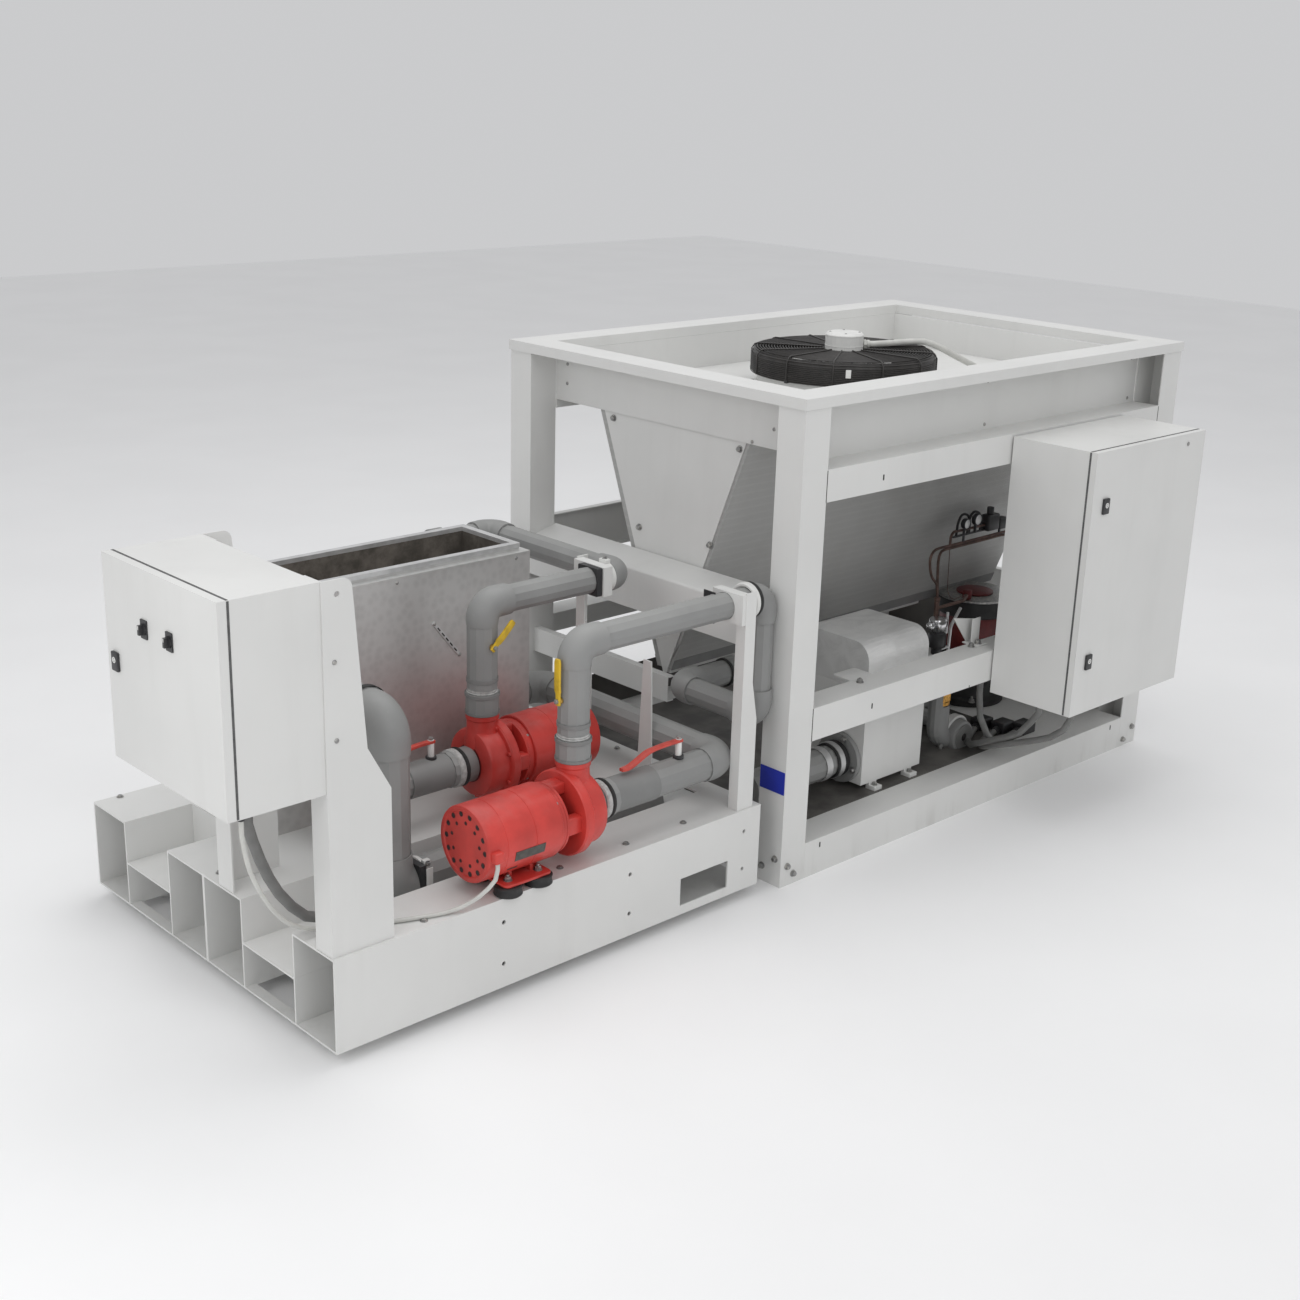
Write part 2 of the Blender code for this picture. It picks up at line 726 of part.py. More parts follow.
def bracket(name, root, web_y, inward):
    """A tall plate on a beam, with a folded flange behind the control box."""
    start = BOX_BACK + TOUCH
    top = BOX_BOTTOM + BOX_HEIGHT
    foot_z = BEAM_TOP + TOUCH
    radius = BRACKET_TOP_LENGTH * 0.3
    corner = (start + BRACKET_TOP_LENGTH - radius, top - radius)
    arc = [(corner[0] + radius * math.cos(a), corner[1] + radius * math.sin(a))
           for a in (math.radians(18 * i) for i in range(6))]
    points = [(start, foot_z), (start + BRACKET_FOOT_LENGTH, foot_z),
              (start + BRACKET_FOOT_LENGTH, BRACKET_KNEE_LOW),
              (start + BRACKET_WAIST, BRACKET_KNEE_HIGH)] + arc + [(start, top)]
    web = outline([points], BRACKET_SHEET, "Y", (0, web_y, 0))
    adopt(web, name, grey_paint(), root)
    side = BRACKET_FLANGE * inward
    ys = sorted((web_y - BRACKET_SHEET / 2 * inward, web_y + side))
    flange = box((start, ys[0], foot_z), (start + BRACKET_SHEET, ys[1], top))
    hole = cylinder((start + BRACKET_TOP_LENGTH / 2, web_y, top - radius * 1.4), 0.007,
                    BRACKET_SHEET * 3, "Y", 12)
    unite(web, under([flange], root))
    cut_out(web, under([hole], root))
    return web


def open_box(low, high, sheet, lip, face):
    """A sheet steel box with one open side. The face is -X or -Y."""
    low = Vector(low)
    high = Vector(high)
    body = box(low, high)
    inset = Vector((sheet, sheet, sheet))
    depth = Vector((sheet * 2, 0, 0)) if face == "-X" else Vector((0, sheet * 2, 0))
    cavity_low = low + inset
    cavity = box(cavity_low, high - inset)
    mouth_inset = Vector((lip, lip, lip))
    mouth_low = low + mouth_inset
    mouth_high = high - mouth_inset
    if face == "-X":
        mouth_low.x = low.x - depth.x
        mouth_high.x = low.x + depth.x
    else:
        mouth_low.y = low.y - depth.y
        mouth_high.y = low.y + depth.y
    return body, [cavity, box(mouth_low, mouth_high)]


def equipment_plate(low, high, stand, axis):
    """The mounting plate inside a cabinet, on four studs from the back wall."""
    plate = box(low, high)
    studs = []
    low = Vector(low)
    high = Vector(high)
    radius = PLATE_SHEET * 2
    length = stand + BOX_SHEET
    for u in (0.08, 0.92):
        for v in (0.08, 0.92):
            if axis == "X":
                y = low.y + (high.y - low.y) * u
                z = low.z + (high.z - low.z) * v
                centre = (high.x + stand / 2, y, z)
            else:
                x = low.x + (high.x - low.x) * u
                z = low.z + (high.z - low.z) * v
                centre = (x, high.y + stand / 2, z)
            studs.append(cylinder(centre, radius, length, axis, 8))
    return [plate] + studs


def control_box(root):
    """The box body with its inner plate. Its door opens at -X."""
    top = BOX_BOTTOM + BOX_HEIGHT
    body, cuts = open_box((BOX_FRONT, BOX_SIDE, BOX_BOTTOM), (BOX_BACK, BOX_SIDE + BOX_WIDTH, top),
                          BOX_SHEET, BOX_LIP, "-X")
    adopt(body, "control_box_body", grey_paint(), root)
    cut_out(body, under(cuts, root))
    back = BOX_BACK - BOX_SHEET
    inner = equipment_plate(
        (back - PLATE_STAND - PLATE_SHEET, BOX_SIDE + PLATE_MARGIN, BOX_BOTTOM + PLATE_MARGIN),
        (back - PLATE_STAND, BOX_SIDE + BOX_WIDTH - PLATE_MARGIN, top - PLATE_MARGIN),
        PLATE_STAND, "X")
    glands = [cylinder((x, y, BOX_BOTTOM - (GLAND_LENGTH - BOX_SHEET) / 2), radius * 1.4,
                       GLAND_LENGTH + BOX_SHEET, "Z", 12)
              for x, y, radius in ((CONDUIT_X, CONDUIT_Y, CONDUIT_RADIUS * 1.3),
                                   (PUMP_CABLE_X, PUMP_CABLE_Y, CABLE_RADIUS))]
    unite(body, under(inner + glands, root))
    return body


def empty(name, place, root):
    pivot = bpy.data.objects.new(name, None)
    pivot.location = place
    pivot.parent = root
    bpy.data.collections[PARTS].objects.link(pivot)
    return pivot


def about(pivot, *objects):
    """Move objects given in the part's frame under a pivot that stands in it."""
    for obj in objects:
        obj.location = Vector(obj.location) - Vector(pivot.location)
        obj.parent = pivot
    return objects


def control_box_door(root):
    """A shallow tray with the latch and the two selector bases on its front."""
    top = BOX_BOTTOM + BOX_HEIGHT
    back = BOX_FRONT - TOUCH
    pivot = empty("control_box_hinge", (back - DOOR_DEPTH / 2, BOX_SIDE, BOX_BOTTOM), root)
    low = Vector((DOOR_FRONT, BOX_SIDE, BOX_BOTTOM))
    high = Vector((back, BOX_SIDE + BOX_WIDTH, top))
    door = box(low, high)
    adopt(door, "control_box_door", grey_paint(), root)
    inside = box(low + Vector((DOOR_SHEET, DOOR_SHEET, DOOR_SHEET)),
                 high + Vector((DOOR_SHEET, -DOOR_SHEET, -DOOR_SHEET)))
    latch_y = BOX_SIDE + BOX_WIDTH - BOX_LIP - LATCH_WIDTH
    latch = box((DOOR_FRONT - LATCH_DEPTH, latch_y - LATCH_WIDTH / 2, CONTROL_LATCH_Z - LATCH_HEIGHT / 2),
                (DOOR_FRONT + DOOR_SHEET / 2, latch_y + LATCH_WIDTH / 2,
                 CONTROL_LATCH_Z + LATCH_HEIGHT / 2))
    about(pivot, door, inside, latch)
    cut_out(door, [inside])
    unite(door, [latch])
    selectors(pivot)
    return door


def selectors(hinge):
    """Two rotary switches, each a round collar with a raised bar to turn it."""
    for name, index in (("selector_right", 0), ("selector_left", 1)):
        y = SELECTOR_SIDE + SELECTOR_SPACING * index
        pivot = empty(name + "_axis", (0, 0, 0), hinge)
        centre = Vector((DOOR_FRONT - TOUCH, y, SELECTOR_HEIGHT))
        pivot.location = centre - Vector(hinge.location)
        collar = SELECTOR_LENGTH * 0.4
        knob = cylinder((-collar / 2, 0, 0), SELECTOR_RADIUS, collar, "X", 20)
        adopt(knob, name, rubber(), pivot)
        bar = box((-SELECTOR_LENGTH + TOUCH, -SELECTOR_RADIUS * 0.3, -SELECTOR_RADIUS * 0.85),
                  (-collar / 2, SELECTOR_RADIUS * 0.3, SELECTOR_RADIUS * 0.85))
        bar.parent = pivot
        unite(knob, [bar])


def motor(name, root, y, end, facing):
    """A fan cooled motor: a smooth barrel, its end cowl with a ring of vents."""
    length = MOTOR_LENGTH
    r = MOTOR_RADIUS
    shoulder = length - MOTOR_NOSE
    profile = [(0, length), (r * 0.92, length), (r * 0.92, shoulder), (r, shoulder), (r, MOTOR_LIP),
               (r - MOTOR_LIP, 0), (0, 0)]
    turn = "X"
    barrel = turned(profile, (end, y, PUMP_AXIS_HEIGHT), turn, MOTOR_STEPS)
    if facing < 0:
        barrel.rotation_euler = (0, -math.pi / 2, 0)
    adopt(barrel, name, red_paint(), root)
    vents = []
    for index in range(VENT_COUNT):
        angle = 2 * math.pi * index / VENT_COUNT
        centre = (end, y + r * 0.80 * math.cos(angle), PUMP_AXIS_HEIGHT + r * 0.80 * math.sin(angle))
        vents.append(cylinder(centre, VENT_RADIUS, VENT_DEPTH * 2, "X", 6))
    cut_out(barrel, under(vents, root))
    gland_x = end + facing * GLAND_PLACE
    gland = box((gland_x - GLAND_SIZE / 2, y - r - GLAND_SIZE * 0.7, GLAND_Z),
                (gland_x + GLAND_SIZE / 2, y - r * 0.8, GLAND_Z + GLAND_SIZE * 0.7))
    unite(barrel, under([gland], root))
    return barrel


def pump_casing(name, root, y, motor_end, facing):
    """Lantern with windows between its lugs, a broad flange, the volute and the neck on top."""
    start = motor_end + facing * (MOTOR_LENGTH + TOUCH)
    z = PUMP_AXIS_HEIGHT
    disc = ADAPTER_LENGTH + DISC_LENGTH
    total = disc + VOLUTE_LENGTH
    r = MOTOR_RADIUS
    bevel = CASING_BEVEL
    profile = [(0, total), (VOLUTE_RADIUS - bevel, total), (VOLUTE_RADIUS, total - bevel),
               (VOLUTE_RADIUS, disc), (DISC_RADIUS - bevel / 2, disc), (DISC_RADIUS, disc - bevel / 2),
               (DISC_RADIUS, ADAPTER_LENGTH), (r * 0.92, ADAPTER_LENGTH - bevel), (r * 0.80, bevel),
               (r * 0.92, bevel), (r * 0.92, 0), (0, 0)]
    casing = turned(profile, (start, y, z), "X", MOTOR_STEPS)
    if facing < 0:
        casing.rotation_euler = (0, -math.pi / 2, 0)
    adopt(casing, name, red_paint(), root)
    middle = start + facing * (disc + NECK_PLACE)
    neck = cylinder((middle, y, z + NECK_HEIGHT / 2), NECK_RADIUS, NECK_HEIGHT, "Z", 20)
    unite(casing, under([neck], root))
    window_x = start + facing * ADAPTER_LENGTH * 0.55
    wide = ADAPTER_LENGTH * 0.34
    windows = []
    for quarter in range(4):
        angle = math.radians(LUG_TURN + 90 * quarter)
        window = box((-wide, -r * 0.40, -r * 0.36), (wide, r * 0.40, r * 0.36))
        window.location = (window_x, y + r * 0.92 * math.cos(angle), z + r * 0.92 * math.sin(angle))
        window.rotation_euler = (angle, 0, 0)
        windows.append(window)
    cut_out(casing, under(windows, root))
    return middle


def pump_feet(name, root, y, motor_end, facing):
    """The foot plate with its saddle under the motor, on four round rubber mounts."""
    x = motor_end + facing * FOOT_PLACE
    low = BEAM_TOP + TOUCH
    plate_low = low + MOUNT_HEIGHT
    half_x = MOUNT_SPACING_X / 2 + MOUNT_MARGIN
    half_y = MOUNT_SPACING_Y / 2 + MOUNT_MARGIN
    plate = box((x - half_x, y - half_y, plate_low), (x + half_x, y + half_y, plate_low + MOUNT_PLATE))
    adopt(plate, name, rubber(), root)
    saddle_x = half_x * 0.6
    saddle = box((x - saddle_x, y - SADDLE_HALF, plate_low + MOUNT_PLATE / 2),
                 (x + saddle_x, y + SADDLE_HALF, PUMP_AXIS_HEIGHT - SADDLE_HALF))
    barrel = cylinder((x, y, PUMP_AXIS_HEIGHT), MOTOR_RADIUS + TOUCH, half_x * 3, "X", MOTOR_STEPS)
    mounts = []
    sunk = MOUNT_HEIGHT + MOUNT_PLATE / 2
    for dx in (-0.5, 0.5):
        for dy in (-0.5, 0.5):
            centre = (x + dx * MOUNT_SPACING_X, y + dy * MOUNT_SPACING_Y, low + sunk / 2)
            mounts.append(cylinder(centre, MOUNT_RADIUS * 0.88, sunk, "Z", 12, MOUNT_RADIUS))
    unite(plate, under([saddle] + mounts, root))
    cut_out(plate, under([barrel], root))
    return plate


def joined_pipe(name, root, routes, look):
    """Pipes and collars that meet, joined into one solid."""
    solids = [as_mesh(pipe(route, radius)) for route, radius in routes]
    base = adopt(solids[0], name, look, root)
    smooth(base)
    unite(base, under(solids[1:], root))
    return base


def collar(start, end, radius):
    """A short sleeve on a pipe, as a route and a radius."""
    return ([Vector(start), Vector(end)], radius)


def suction_pipe(name, root, y, start, facing, corners):
    """A suction pipe with its coupling next to the pump."""
    z = PUMP_AXIS_HEIGHT
    route = rounded([(start, y, z)] + [(x, v, z) for x, v in corners], HEADER_BEND)
    coupling = collar((start + facing * UNION_START, y, z), (start + facing * UNION_END, y, z), UNION_RADIUS)
    joined_pipe(name, root, [(route, SUCTION_RADIUS), coupling], pipe_grey())


def discharge_pipe(name, root, x, y, corners):
    """A riser from a pump's neck with its socket and its valve, then the pipe's corners."""
    bottom = PUMP_AXIS_HEIGHT + NECK_HEIGHT + TOUCH
    inside = bottom + SOCKET_LENGTH / 2
    route = rounded([(x, y, inside), (x, y, DISCHARGE_HEIGHT)] + corners, DISCHARGE_BEND)
    valve = bottom + SOCKET_LENGTH + VALVE_LIFT
    joined_pipe(name, root,
                [(route, DROP_RADIUS), collar((x, y, bottom), (x, y, bottom + SOCKET_LENGTH), SOCKET_RADIUS),
                 collar((x, y, valve), (x, y, DISCHARGE_HEIGHT - DISCHARGE_BEND), VALVE_RADIUS)],
                pipe_grey())


def pump_pipes(root, near_neck, near_suction, far_neck, far_suction):
    """Both pumps stand nose to tail, so their suction pipes leave opposite ways."""
    tank_side = TANK_FRONT + TANK_WIDTH * 0.62
    suction_pipe("near_suction_pipe", root, NEAR_PUMP_Y, near_suction + TOUCH, 1,
                 [(HEADER_X, NEAR_PUMP_Y), (HEADER_X, tank_side), (TANK_START + TANK_LENGTH + TOUCH, tank_side)])
    suction_pipe("far_suction_pipe", root, FAR_PUMP_Y, far_suction - TOUCH, -1,
                 [(FAR_SUCTION_TURN, FAR_PUMP_Y), (FAR_SUCTION_TURN, TANK_FRONT - TOUCH)])
    top = DISCHARGE_HEIGHT
    discharge_pipe("near_discharge_pipe", root, near_neck, NEAR_PUMP_Y,
                   [(DROP_X, NEAR_PUMP_Y, top), (DROP_X, NEAR_PUMP_Y, DROP_BOTTOM),
                    (DROP_X, GAP_PIPE_END, DROP_BOTTOM), (STAND_X - TOUCH, GAP_PIPE_END, DROP_BOTTOM)])
    discharge_pipe("far_discharge_pipe", root, far_neck, FAR_PUMP_Y,
                   [(FAR_RUN_X, FAR_PUMP_Y, top), (FAR_RUN_X, FAR_RUN_Y, top), (FAR_RUN_END, FAR_RUN_Y, top),
                    (FAR_RUN_END, TANK_FRONT + TANK_WIDTH + TOUCH, top)])


def tank_drop_pipe(root):
    """The big pipe from the tank down to the trough and along the skid."""
    x = TANK_PIPE_X
    y = TANK_PIPE_Y
    face = TANK_FRONT - TOUCH
    ring = y + TANK_RING_PLACE
    route = rounded([(x, face, TANK_PIPE_TOP), (x, y, TANK_PIPE_TOP), (x, y, TANK_PIPE_FLOOR),
                     (TANK_PIPE_END, y, TANK_PIPE_FLOOR)], TANK_PIPE_RADIUS * 1.15, 3)
    joined_pipe("tank_drop_pipe", root,
                [(route, TANK_PIPE_RADIUS),
                 collar((x, ring, TANK_PIPE_TOP), (x, ring + TANK_RING_LENGTH, TANK_PIPE_TOP),
                        TANK_PIPE_RADIUS * 1.1)],
                pipe_grey())


def lever(name, root, place, axis, angle, length, look, cranked):
    """A flat valve handle with a stem boss. It turns about its stem's axis."""
    pivot = empty(name + "_axis", place, root)
    turns = {"Z": (0, 0, angle), "-Y": (math.pi / 2, angle, 0), "-X": (0, -math.pi / 2, 0)}
    pivot.rotation_euler = turns[axis]
    half = LEVER_WIDTH / 2
    base = LEVER_LIFT
    boss_height = base + LEVER_SHEET * 2
    boss = cylinder((0, 0, boss_height / 2), STEM_RADIUS, boss_height, "Z", 12)
    adopt(boss, name, look, pivot)
    low = base
    points = [(-half, low), (length, low), (length, low + LEVER_SHEET), (-half, low + LEVER_SHEET)]
    if cranked:
        high = low + LEVER_RISE
        points = [(-half, low), (length * 0.30, low), (length * 0.45, high), (length, high),
                  (length, high + LEVER_SHEET), (length * 0.44, high + LEVER_SHEET),
                  (length * 0.29, low + LEVER_SHEET), (-half, low + LEVER_SHEET)]
    blade = outline([points], LEVER_WIDTH, "Y", (0, 0, 0))
    blade.parent = pivot
    unite(boss, [blade])
    return boss


def valve_levers(root, near_neck, far_neck):
    """Two red handles on the suction pipes, two yellow ones on the risers."""
    top = PUMP_AXIS_HEIGHT + SUCTION_RADIUS + TOUCH
    lever("near_suction_lever", root, (NEAR_STEM_X, NEAR_PUMP_Y, top), "Z", math.pi, RED_LEVER_LENGTH,
          lever_red(), True)
    lever("far_suction_lever", root, (FAR_STEM_X, FAR_PUMP_Y, top), "Z", math.pi,
          RED_LEVER_LENGTH * 0.7, lever_red(), True)
    side = VALVE_RADIUS + TOUCH
    lever("near_riser_lever", root, (near_neck - side, NEAR_PUMP_Y, NEAR_RISER_STEM_Z), "-X",
          0, YELLOW_LEVER_LENGTH, lever_yellow(), False)
    lever("far_riser_lever", root, (far_neck, FAR_PUMP_Y - side, FAR_RISER_STEM_Z), "-Y",
          -math.pi / 4, YELLOW_LEVER_LENGTH * 0.8, lever_yellow(), False)


def support_post(name, root, x, y, pipe_y, pipe_z):
    """A folded post, wider at its foot, with a square clip block around its pipe."""
    foot_z = BEAM_TOP + TOUCH
    toward = 1 if pipe_y > y else -1
    top = pipe_z + CLIP_HALF
    points = [(x, foot_z), (x + POST_FOOT, foot_z), (x + POST_FOOT, POST_KINK_LOW),
              (x + POST_TOP, POST_KINK_HIGH), (x + POST_TOP, top), (x, top)]
    web = outline([points], POST_SHEET, "Y", (0, y, 0))
    adopt(web, name, grey_paint(), root)
    ys = sorted((y, y + toward * POST_FLANGE))
    flange = box((x, ys[0], foot_z), (x + POST_SHEET, ys[1], pipe_z - CLIP_HALF / 2))
    ys = sorted((y, pipe_y + toward * CLIP_HALF))
    block = box((x - CLIP_OVERHANG, ys[0], pipe_z - CLIP_HALF * 0.9),
                (x + CLIP_DEPTH, ys[1], pipe_z + CLIP_HALF * 0.9))
    bore = cylinder((x, pipe_y, pipe_z), DROP_RADIUS + TOUCH, CLIP_DEPTH * 4, "X", PIPE_STEPS * 2)
    unite(web, under([flange, block], root))
    cut_out(web, under([bore], root))
    return web


def header_post(root):
    """The short tapered prop in front of the header pipe."""
    x = HEADER_X - SUCTION_RADIUS - POST_SHEET / 2 - TOUCH
    y = HEADER_POST_Y
    foot_z = BEAM_TOP + TOUCH
    half = HEADER_POST_WIDTH / 2
    top = foot_z + HEADER_POST_HEIGHT
    points = [(y - half, foot_z), (y + half, foot_z), (y + half * 0.5, top), (y - half * 0.5, top)]
    plate = outline([points], POST_SHEET, "X", (x, 0, 0))
    adopt(plate, "header_post", grey_paint(), root)
    base = box((x - POST_SHEET / 2, y - half, foot_z),
               (x + HEADER_FOOT_REACH, y + half * 2, foot_z + POST_SHEET))
    unite(plate, under([base], root))
    return plate


def tank(root):
    """The insulated tank, with the open tray let into its top."""
    x1 = TANK_START + TANK_LENGTH
    y1 = TANK_FRONT + TANK_WIDTH
    low = BEAM_TOP + TOUCH
    top = BEAM_TOP + TANK_HEIGHT
    body = box((TANK_START, TANK_FRONT, low), (x1, y1, top))
    adopt(body, "tank_body", galvanised(), root)
    inset = Vector((TRAY_INSET, TRAY_INSET, 0))
    rim = box(Vector((TANK_START, TANK_FRONT, top - TRAY_RISE)) + inset,
              Vector((x1, y1, top + TRAY_RISE)) - inset)
    inner = inset + Vector((TRAY_RIM, TRAY_RIM, 0))
    hollow = box(Vector((TANK_START, TANK_FRONT, top - TRAY_DEPTH)) + inner,
                 Vector((x1, y1, top + TRAY_RISE * 2)) - inner)
    unite(body, under([rim], root))
    cut_out(body, under([hollow], root))
    return body


def frame_post(name, root, front, right):
    """A corner post, a folded channel that opens along the frame's length."""
    t = FRAME_SHEET
    x = FRAME_X0 if front else FRAME_X1
    y = FRAME_Y0 if right else FRAME_Y1
    sx = 1 if front else -1
    sy = 1 if right else -1
    points = [(0, 0), (POST_X, 0), (POST_X, t), (t, t), (t, POST_Y - t), (POST_X, POST_Y - t),
              (POST_X, POST_Y), (0, POST_Y)]
    placed = [(x + sx * u, y + sy * v) for u, v in points]
    if sx * sy < 0:
        placed.reverse()
    post = outline([placed], POST_TOP_Z - TOUCH, "Z", (0, 0, (POST_TOP_Z - TOUCH) / 2))
    return adopt(post, name, grey_paint(), root)


def base_frame(root):
    """Base rails under one floor sheet that is notched around the posts."""
    t = FRAME_SHEET
    px = POST_X + TOUCH
    py = POST_Y + TOUCH
    x0, x1, y0, y1 = FRAME_X0, FRAME_X1, FRAME_Y0, FRAME_Y1
    floor = box((x0 + px, y0, 0), (x1 - px, y1, BASE_HEIGHT))
    adopt(floor, "base_frame", grey_paint(), root)
    under_side = BASE_HEIGHT - t
    ends = box((x0, y0 + py, 0), (x1, y1 - py, BASE_HEIGHT))
    along = box((x0 + px - t, y0 + t, -t), (x1 - px + t, y1 - t, under_side))
    across = box((x0 + t, y0 + py - t, -t), (x1 - t, y1 - py + t, under_side))
    unite(floor, under([ends], root))
    cut_out(floor, under([along, across], root))
    return floor


def angle_rail(name, root, low, high, outer, inward, flange, start, end, axis):
    """An upright face with a flange folded inwards along its top edge."""
    t = FRAME_SHEET
    points = [(outer, low), (outer + inward * t, low), (outer + inward * t, high - t),
              (outer + inward * flange, high - t), (outer + inward * flange, high), (outer, high)]
    if inward < 0:
        points.reverse()
    length = end - start
    middle = (start + end) / 2
    place = (middle, 0, 0) if axis == "X" else (0, middle, 0)
    rail = outline([points], length, axis, place)
    return adopt(rail, name, grey_paint(), root)


def rails(root):
    """Middle rails on all four sides."""
    x0 = FRAME_X0 + POST_X + TOUCH
    x1 = FRAME_X1 - POST_X - TOUCH
    y0 = FRAME_Y0 + POST_Y + TOUCH
    y1 = FRAME_Y1 - POST_Y - TOUCH
    low = SIDE_RAIL_BOTTOM
    high = low + SIDE_RAIL_HEIGHT
    angle_rail("right_rail", root, low, high, FRAME_Y0, 1, SIDE_RAIL_FLANGE, x0, x1, "X")
    angle_rail("left_rail", root, low, high, FRAME_Y1, -1, SIDE_RAIL_FLANGE, x0, x1, "X")
    low = END_RAIL_BOTTOM
    high = low + END_RAIL_HEIGHT
    angle_rail("front_rail", root, low, high, FRAME_X0, 1, END_RAIL_FLANGE, y0, y1, "Y")
    angle_rail("rear_rail", root, low, high, FRAME_X1, -1, END_RAIL_FLANGE, y0, y1, "Y")


def upper_panels(root):
    """Panels that stand inside the posts, with the upper rails of the long sides."""
    t = FRAME_SHEET
    x0 = FRAME_X0 + POST_X + TOUCH
    x1 = FRAME_X1 - POST_X - TOUCH
    y0 = POST_Y + TOUCH
    high = POST_TOP_Z - TOUCH
    rail = SHELF_HEIGHT - UPPER_RAIL_HEIGHT
    section = [(0, rail), (t, rail), (t, SHELF_HEIGHT - t), (y0 + t, SHELF_HEIGHT - t), (y0 + t, high),
               (y0, high), (y0, SHELF_HEIGHT), (0, SHELF_HEIGHT)]
    middle = (x0 + x1) / 2
    right = outline([[(FRAME_Y0 + u, v) for u, v in section]], x1 - x0, "X", (middle, 0, 0))
    left = outline([[(FRAME_Y1 - u, v) for u, v in reversed(section)]], x1 - x0, "X", (middle, 0, 0))
    adopt(right, "upper_panels", grey_paint(), root)
    inside = y0 + t / 2
    step = PANEL_STEP
    ends = [box((x, FRAME_Y0 + inside, END_PANEL_BOTTOM), (x + t, FRAME_Y1 - inside, high - step))
            for x in (x0 + step, x1 - t - step)]
    unite(right, under(ends + [left], root))
    return right


def fan_deck(root):
    """The deck inside the panels, with the ring around the fan's hole."""
    t = FRAME_SHEET
    gap = FRAME_SHEET + 2 * TOUCH
    x0 = FRAME_X0 + POST_X + gap + PANEL_STEP
    x1 = FRAME_X1 - POST_X - gap - PANEL_STEP
    y0 = FRAME_Y0 + POST_Y + gap
    y1 = FRAME_Y1 - POST_Y - gap
    deck = box((x0, y0, DECK_HEIGHT - t), (x1, y1, DECK_HEIGHT))
    adopt(deck, "fan_deck", grey_paint(), root)
    ring = cylinder((FAN_X, FRAME_MIDDLE, DECK_HEIGHT + (FAN_RING_HEIGHT - t / 2) / 2),
                    FAN_HOLE_RADIUS + t * 2, FAN_RING_HEIGHT + t / 2, "Z", 40)
    hole = cylinder((FAN_X, FRAME_MIDDLE, DECK_HEIGHT), FAN_HOLE_RADIUS, FAN_RING_HEIGHT * 4, "Z", 40)
    unite(deck, under([ring], root))
    cut_out(deck, under([hole], root))
    return deck


def top_rim(root):
    """The folded cap that runs around the top, wider than the frame by a lip."""
    o = RIM_OVERHANG
    x0, x1, y0, y1 = FRAME_X0 - o, FRAME_X1 + o, FRAME_Y0 - o, FRAME_Y1 + o
    inward = POST_Y + o + FRAME_SHEET
    outer = [(x0, y0), (x1, y0), (x1, y1), (x0, y1)]
    f = inward
    inner = [(x0 + f, y0 + f), (x1 - f, y0 + f), (x1 - f, y1 - f), (x0 + f, y1 - f)]
    rim = outline([outer, inner], RIM_BAND, "Z", (0, 0, RIM_HEIGHT - RIM_BAND / 2))
    return adopt(rim, "top_rim", grey_paint(), root)


def fan_guard(root):
    """A wire cage: rings held by spokes that bend down over the rim and in to the deck's ring."""
    z = DECK_HEIGHT + FAN_RING_HEIGHT
    middle = Vector((FAN_X, FRAME_MIDDLE, 0))
    top = DECK_HEIGHT + FAN_RING_HEIGHT + GUARD_HEIGHT
    low = z + GUARD_WIRE + TOUCH
    inner = GUARD_RADIUS - GUARD_SHOULDER
    radii = [GUARD_HUB_RADIUS + (inner - GUARD_HUB_RADIUS) * i / GUARD_RINGS
             for i in range(GUARD_RINGS + 1)]
    rings = [(r, top) for r in radii] + [(GUARD_RADIUS, top - GUARD_SHOULDER), (GUARD_RADIUS, low)]
    solids = [torus(middle + Vector((0, 0, height)), radius, GUARD_WIRE, GUARD_STEPS, 4)
              for radius, height in rings]
    for index in range(GUARD_SPOKES):
        angle = 2 * math.pi * index / GUARD_SPOKES + math.radians(SPOKE_TURN)
        ray = Vector((math.cos(angle), math.sin(angle), 0))
        stops = ((GUARD_HUB_RADIUS - GUARD_WIRE / 2, top), (inner, top), (GUARD_RADIUS, top - GUARD_SHOULDER),
                 (GUARD_RADIUS, low), (FAN_HOLE_RADIUS + FRAME_SHEET, low))
        route = [middle + ray * r + Vector((0, 0, height)) for r, height in stops]
        solids.append(as_mesh(pipe(route, GUARD_WIRE * 0.9, 0)))
    guard = adopt(solids[0], "fan_guard", black_wire(), root)
    unite(guard, under(solids[1:], root))
    return guard


def torus(centre, major, minor, steps, sides):
    bpy.ops.mesh.primitive_torus_add(major_segments=steps, minor_segments=sides, major_radius=major,
                                     minor_radius=minor, location=centre)
    return bpy.context.active_object


def fan_motor(root):
    """The motor in the middle of the guard, its cap above and its shaft below."""
    z = DECK_HEIGHT + FAN_RING_HEIGHT + GUARD_HEIGHT
    r = FAN_CAP_RADIUS
    top = z + FAN_CAP_HEIGHT
    bottom = FAN_HUB_TOP + RUN
    profile = [(0, top), (r - FAN_CAP_EDGE, top), (r, top - FAN_CAP_EDGE), (r, bottom), (FAN_SHAFT_RADIUS, bottom),
               (FAN_SHAFT_RADIUS, FAN_HUB_TOP + TOUCH), (0, FAN_HUB_TOP + TOUCH)]
    cap = turned(profile, (FAN_X, FRAME_MIDDLE, 0), "Z", 24)
    return adopt(cap, "fan_motor", cable_white(), root)


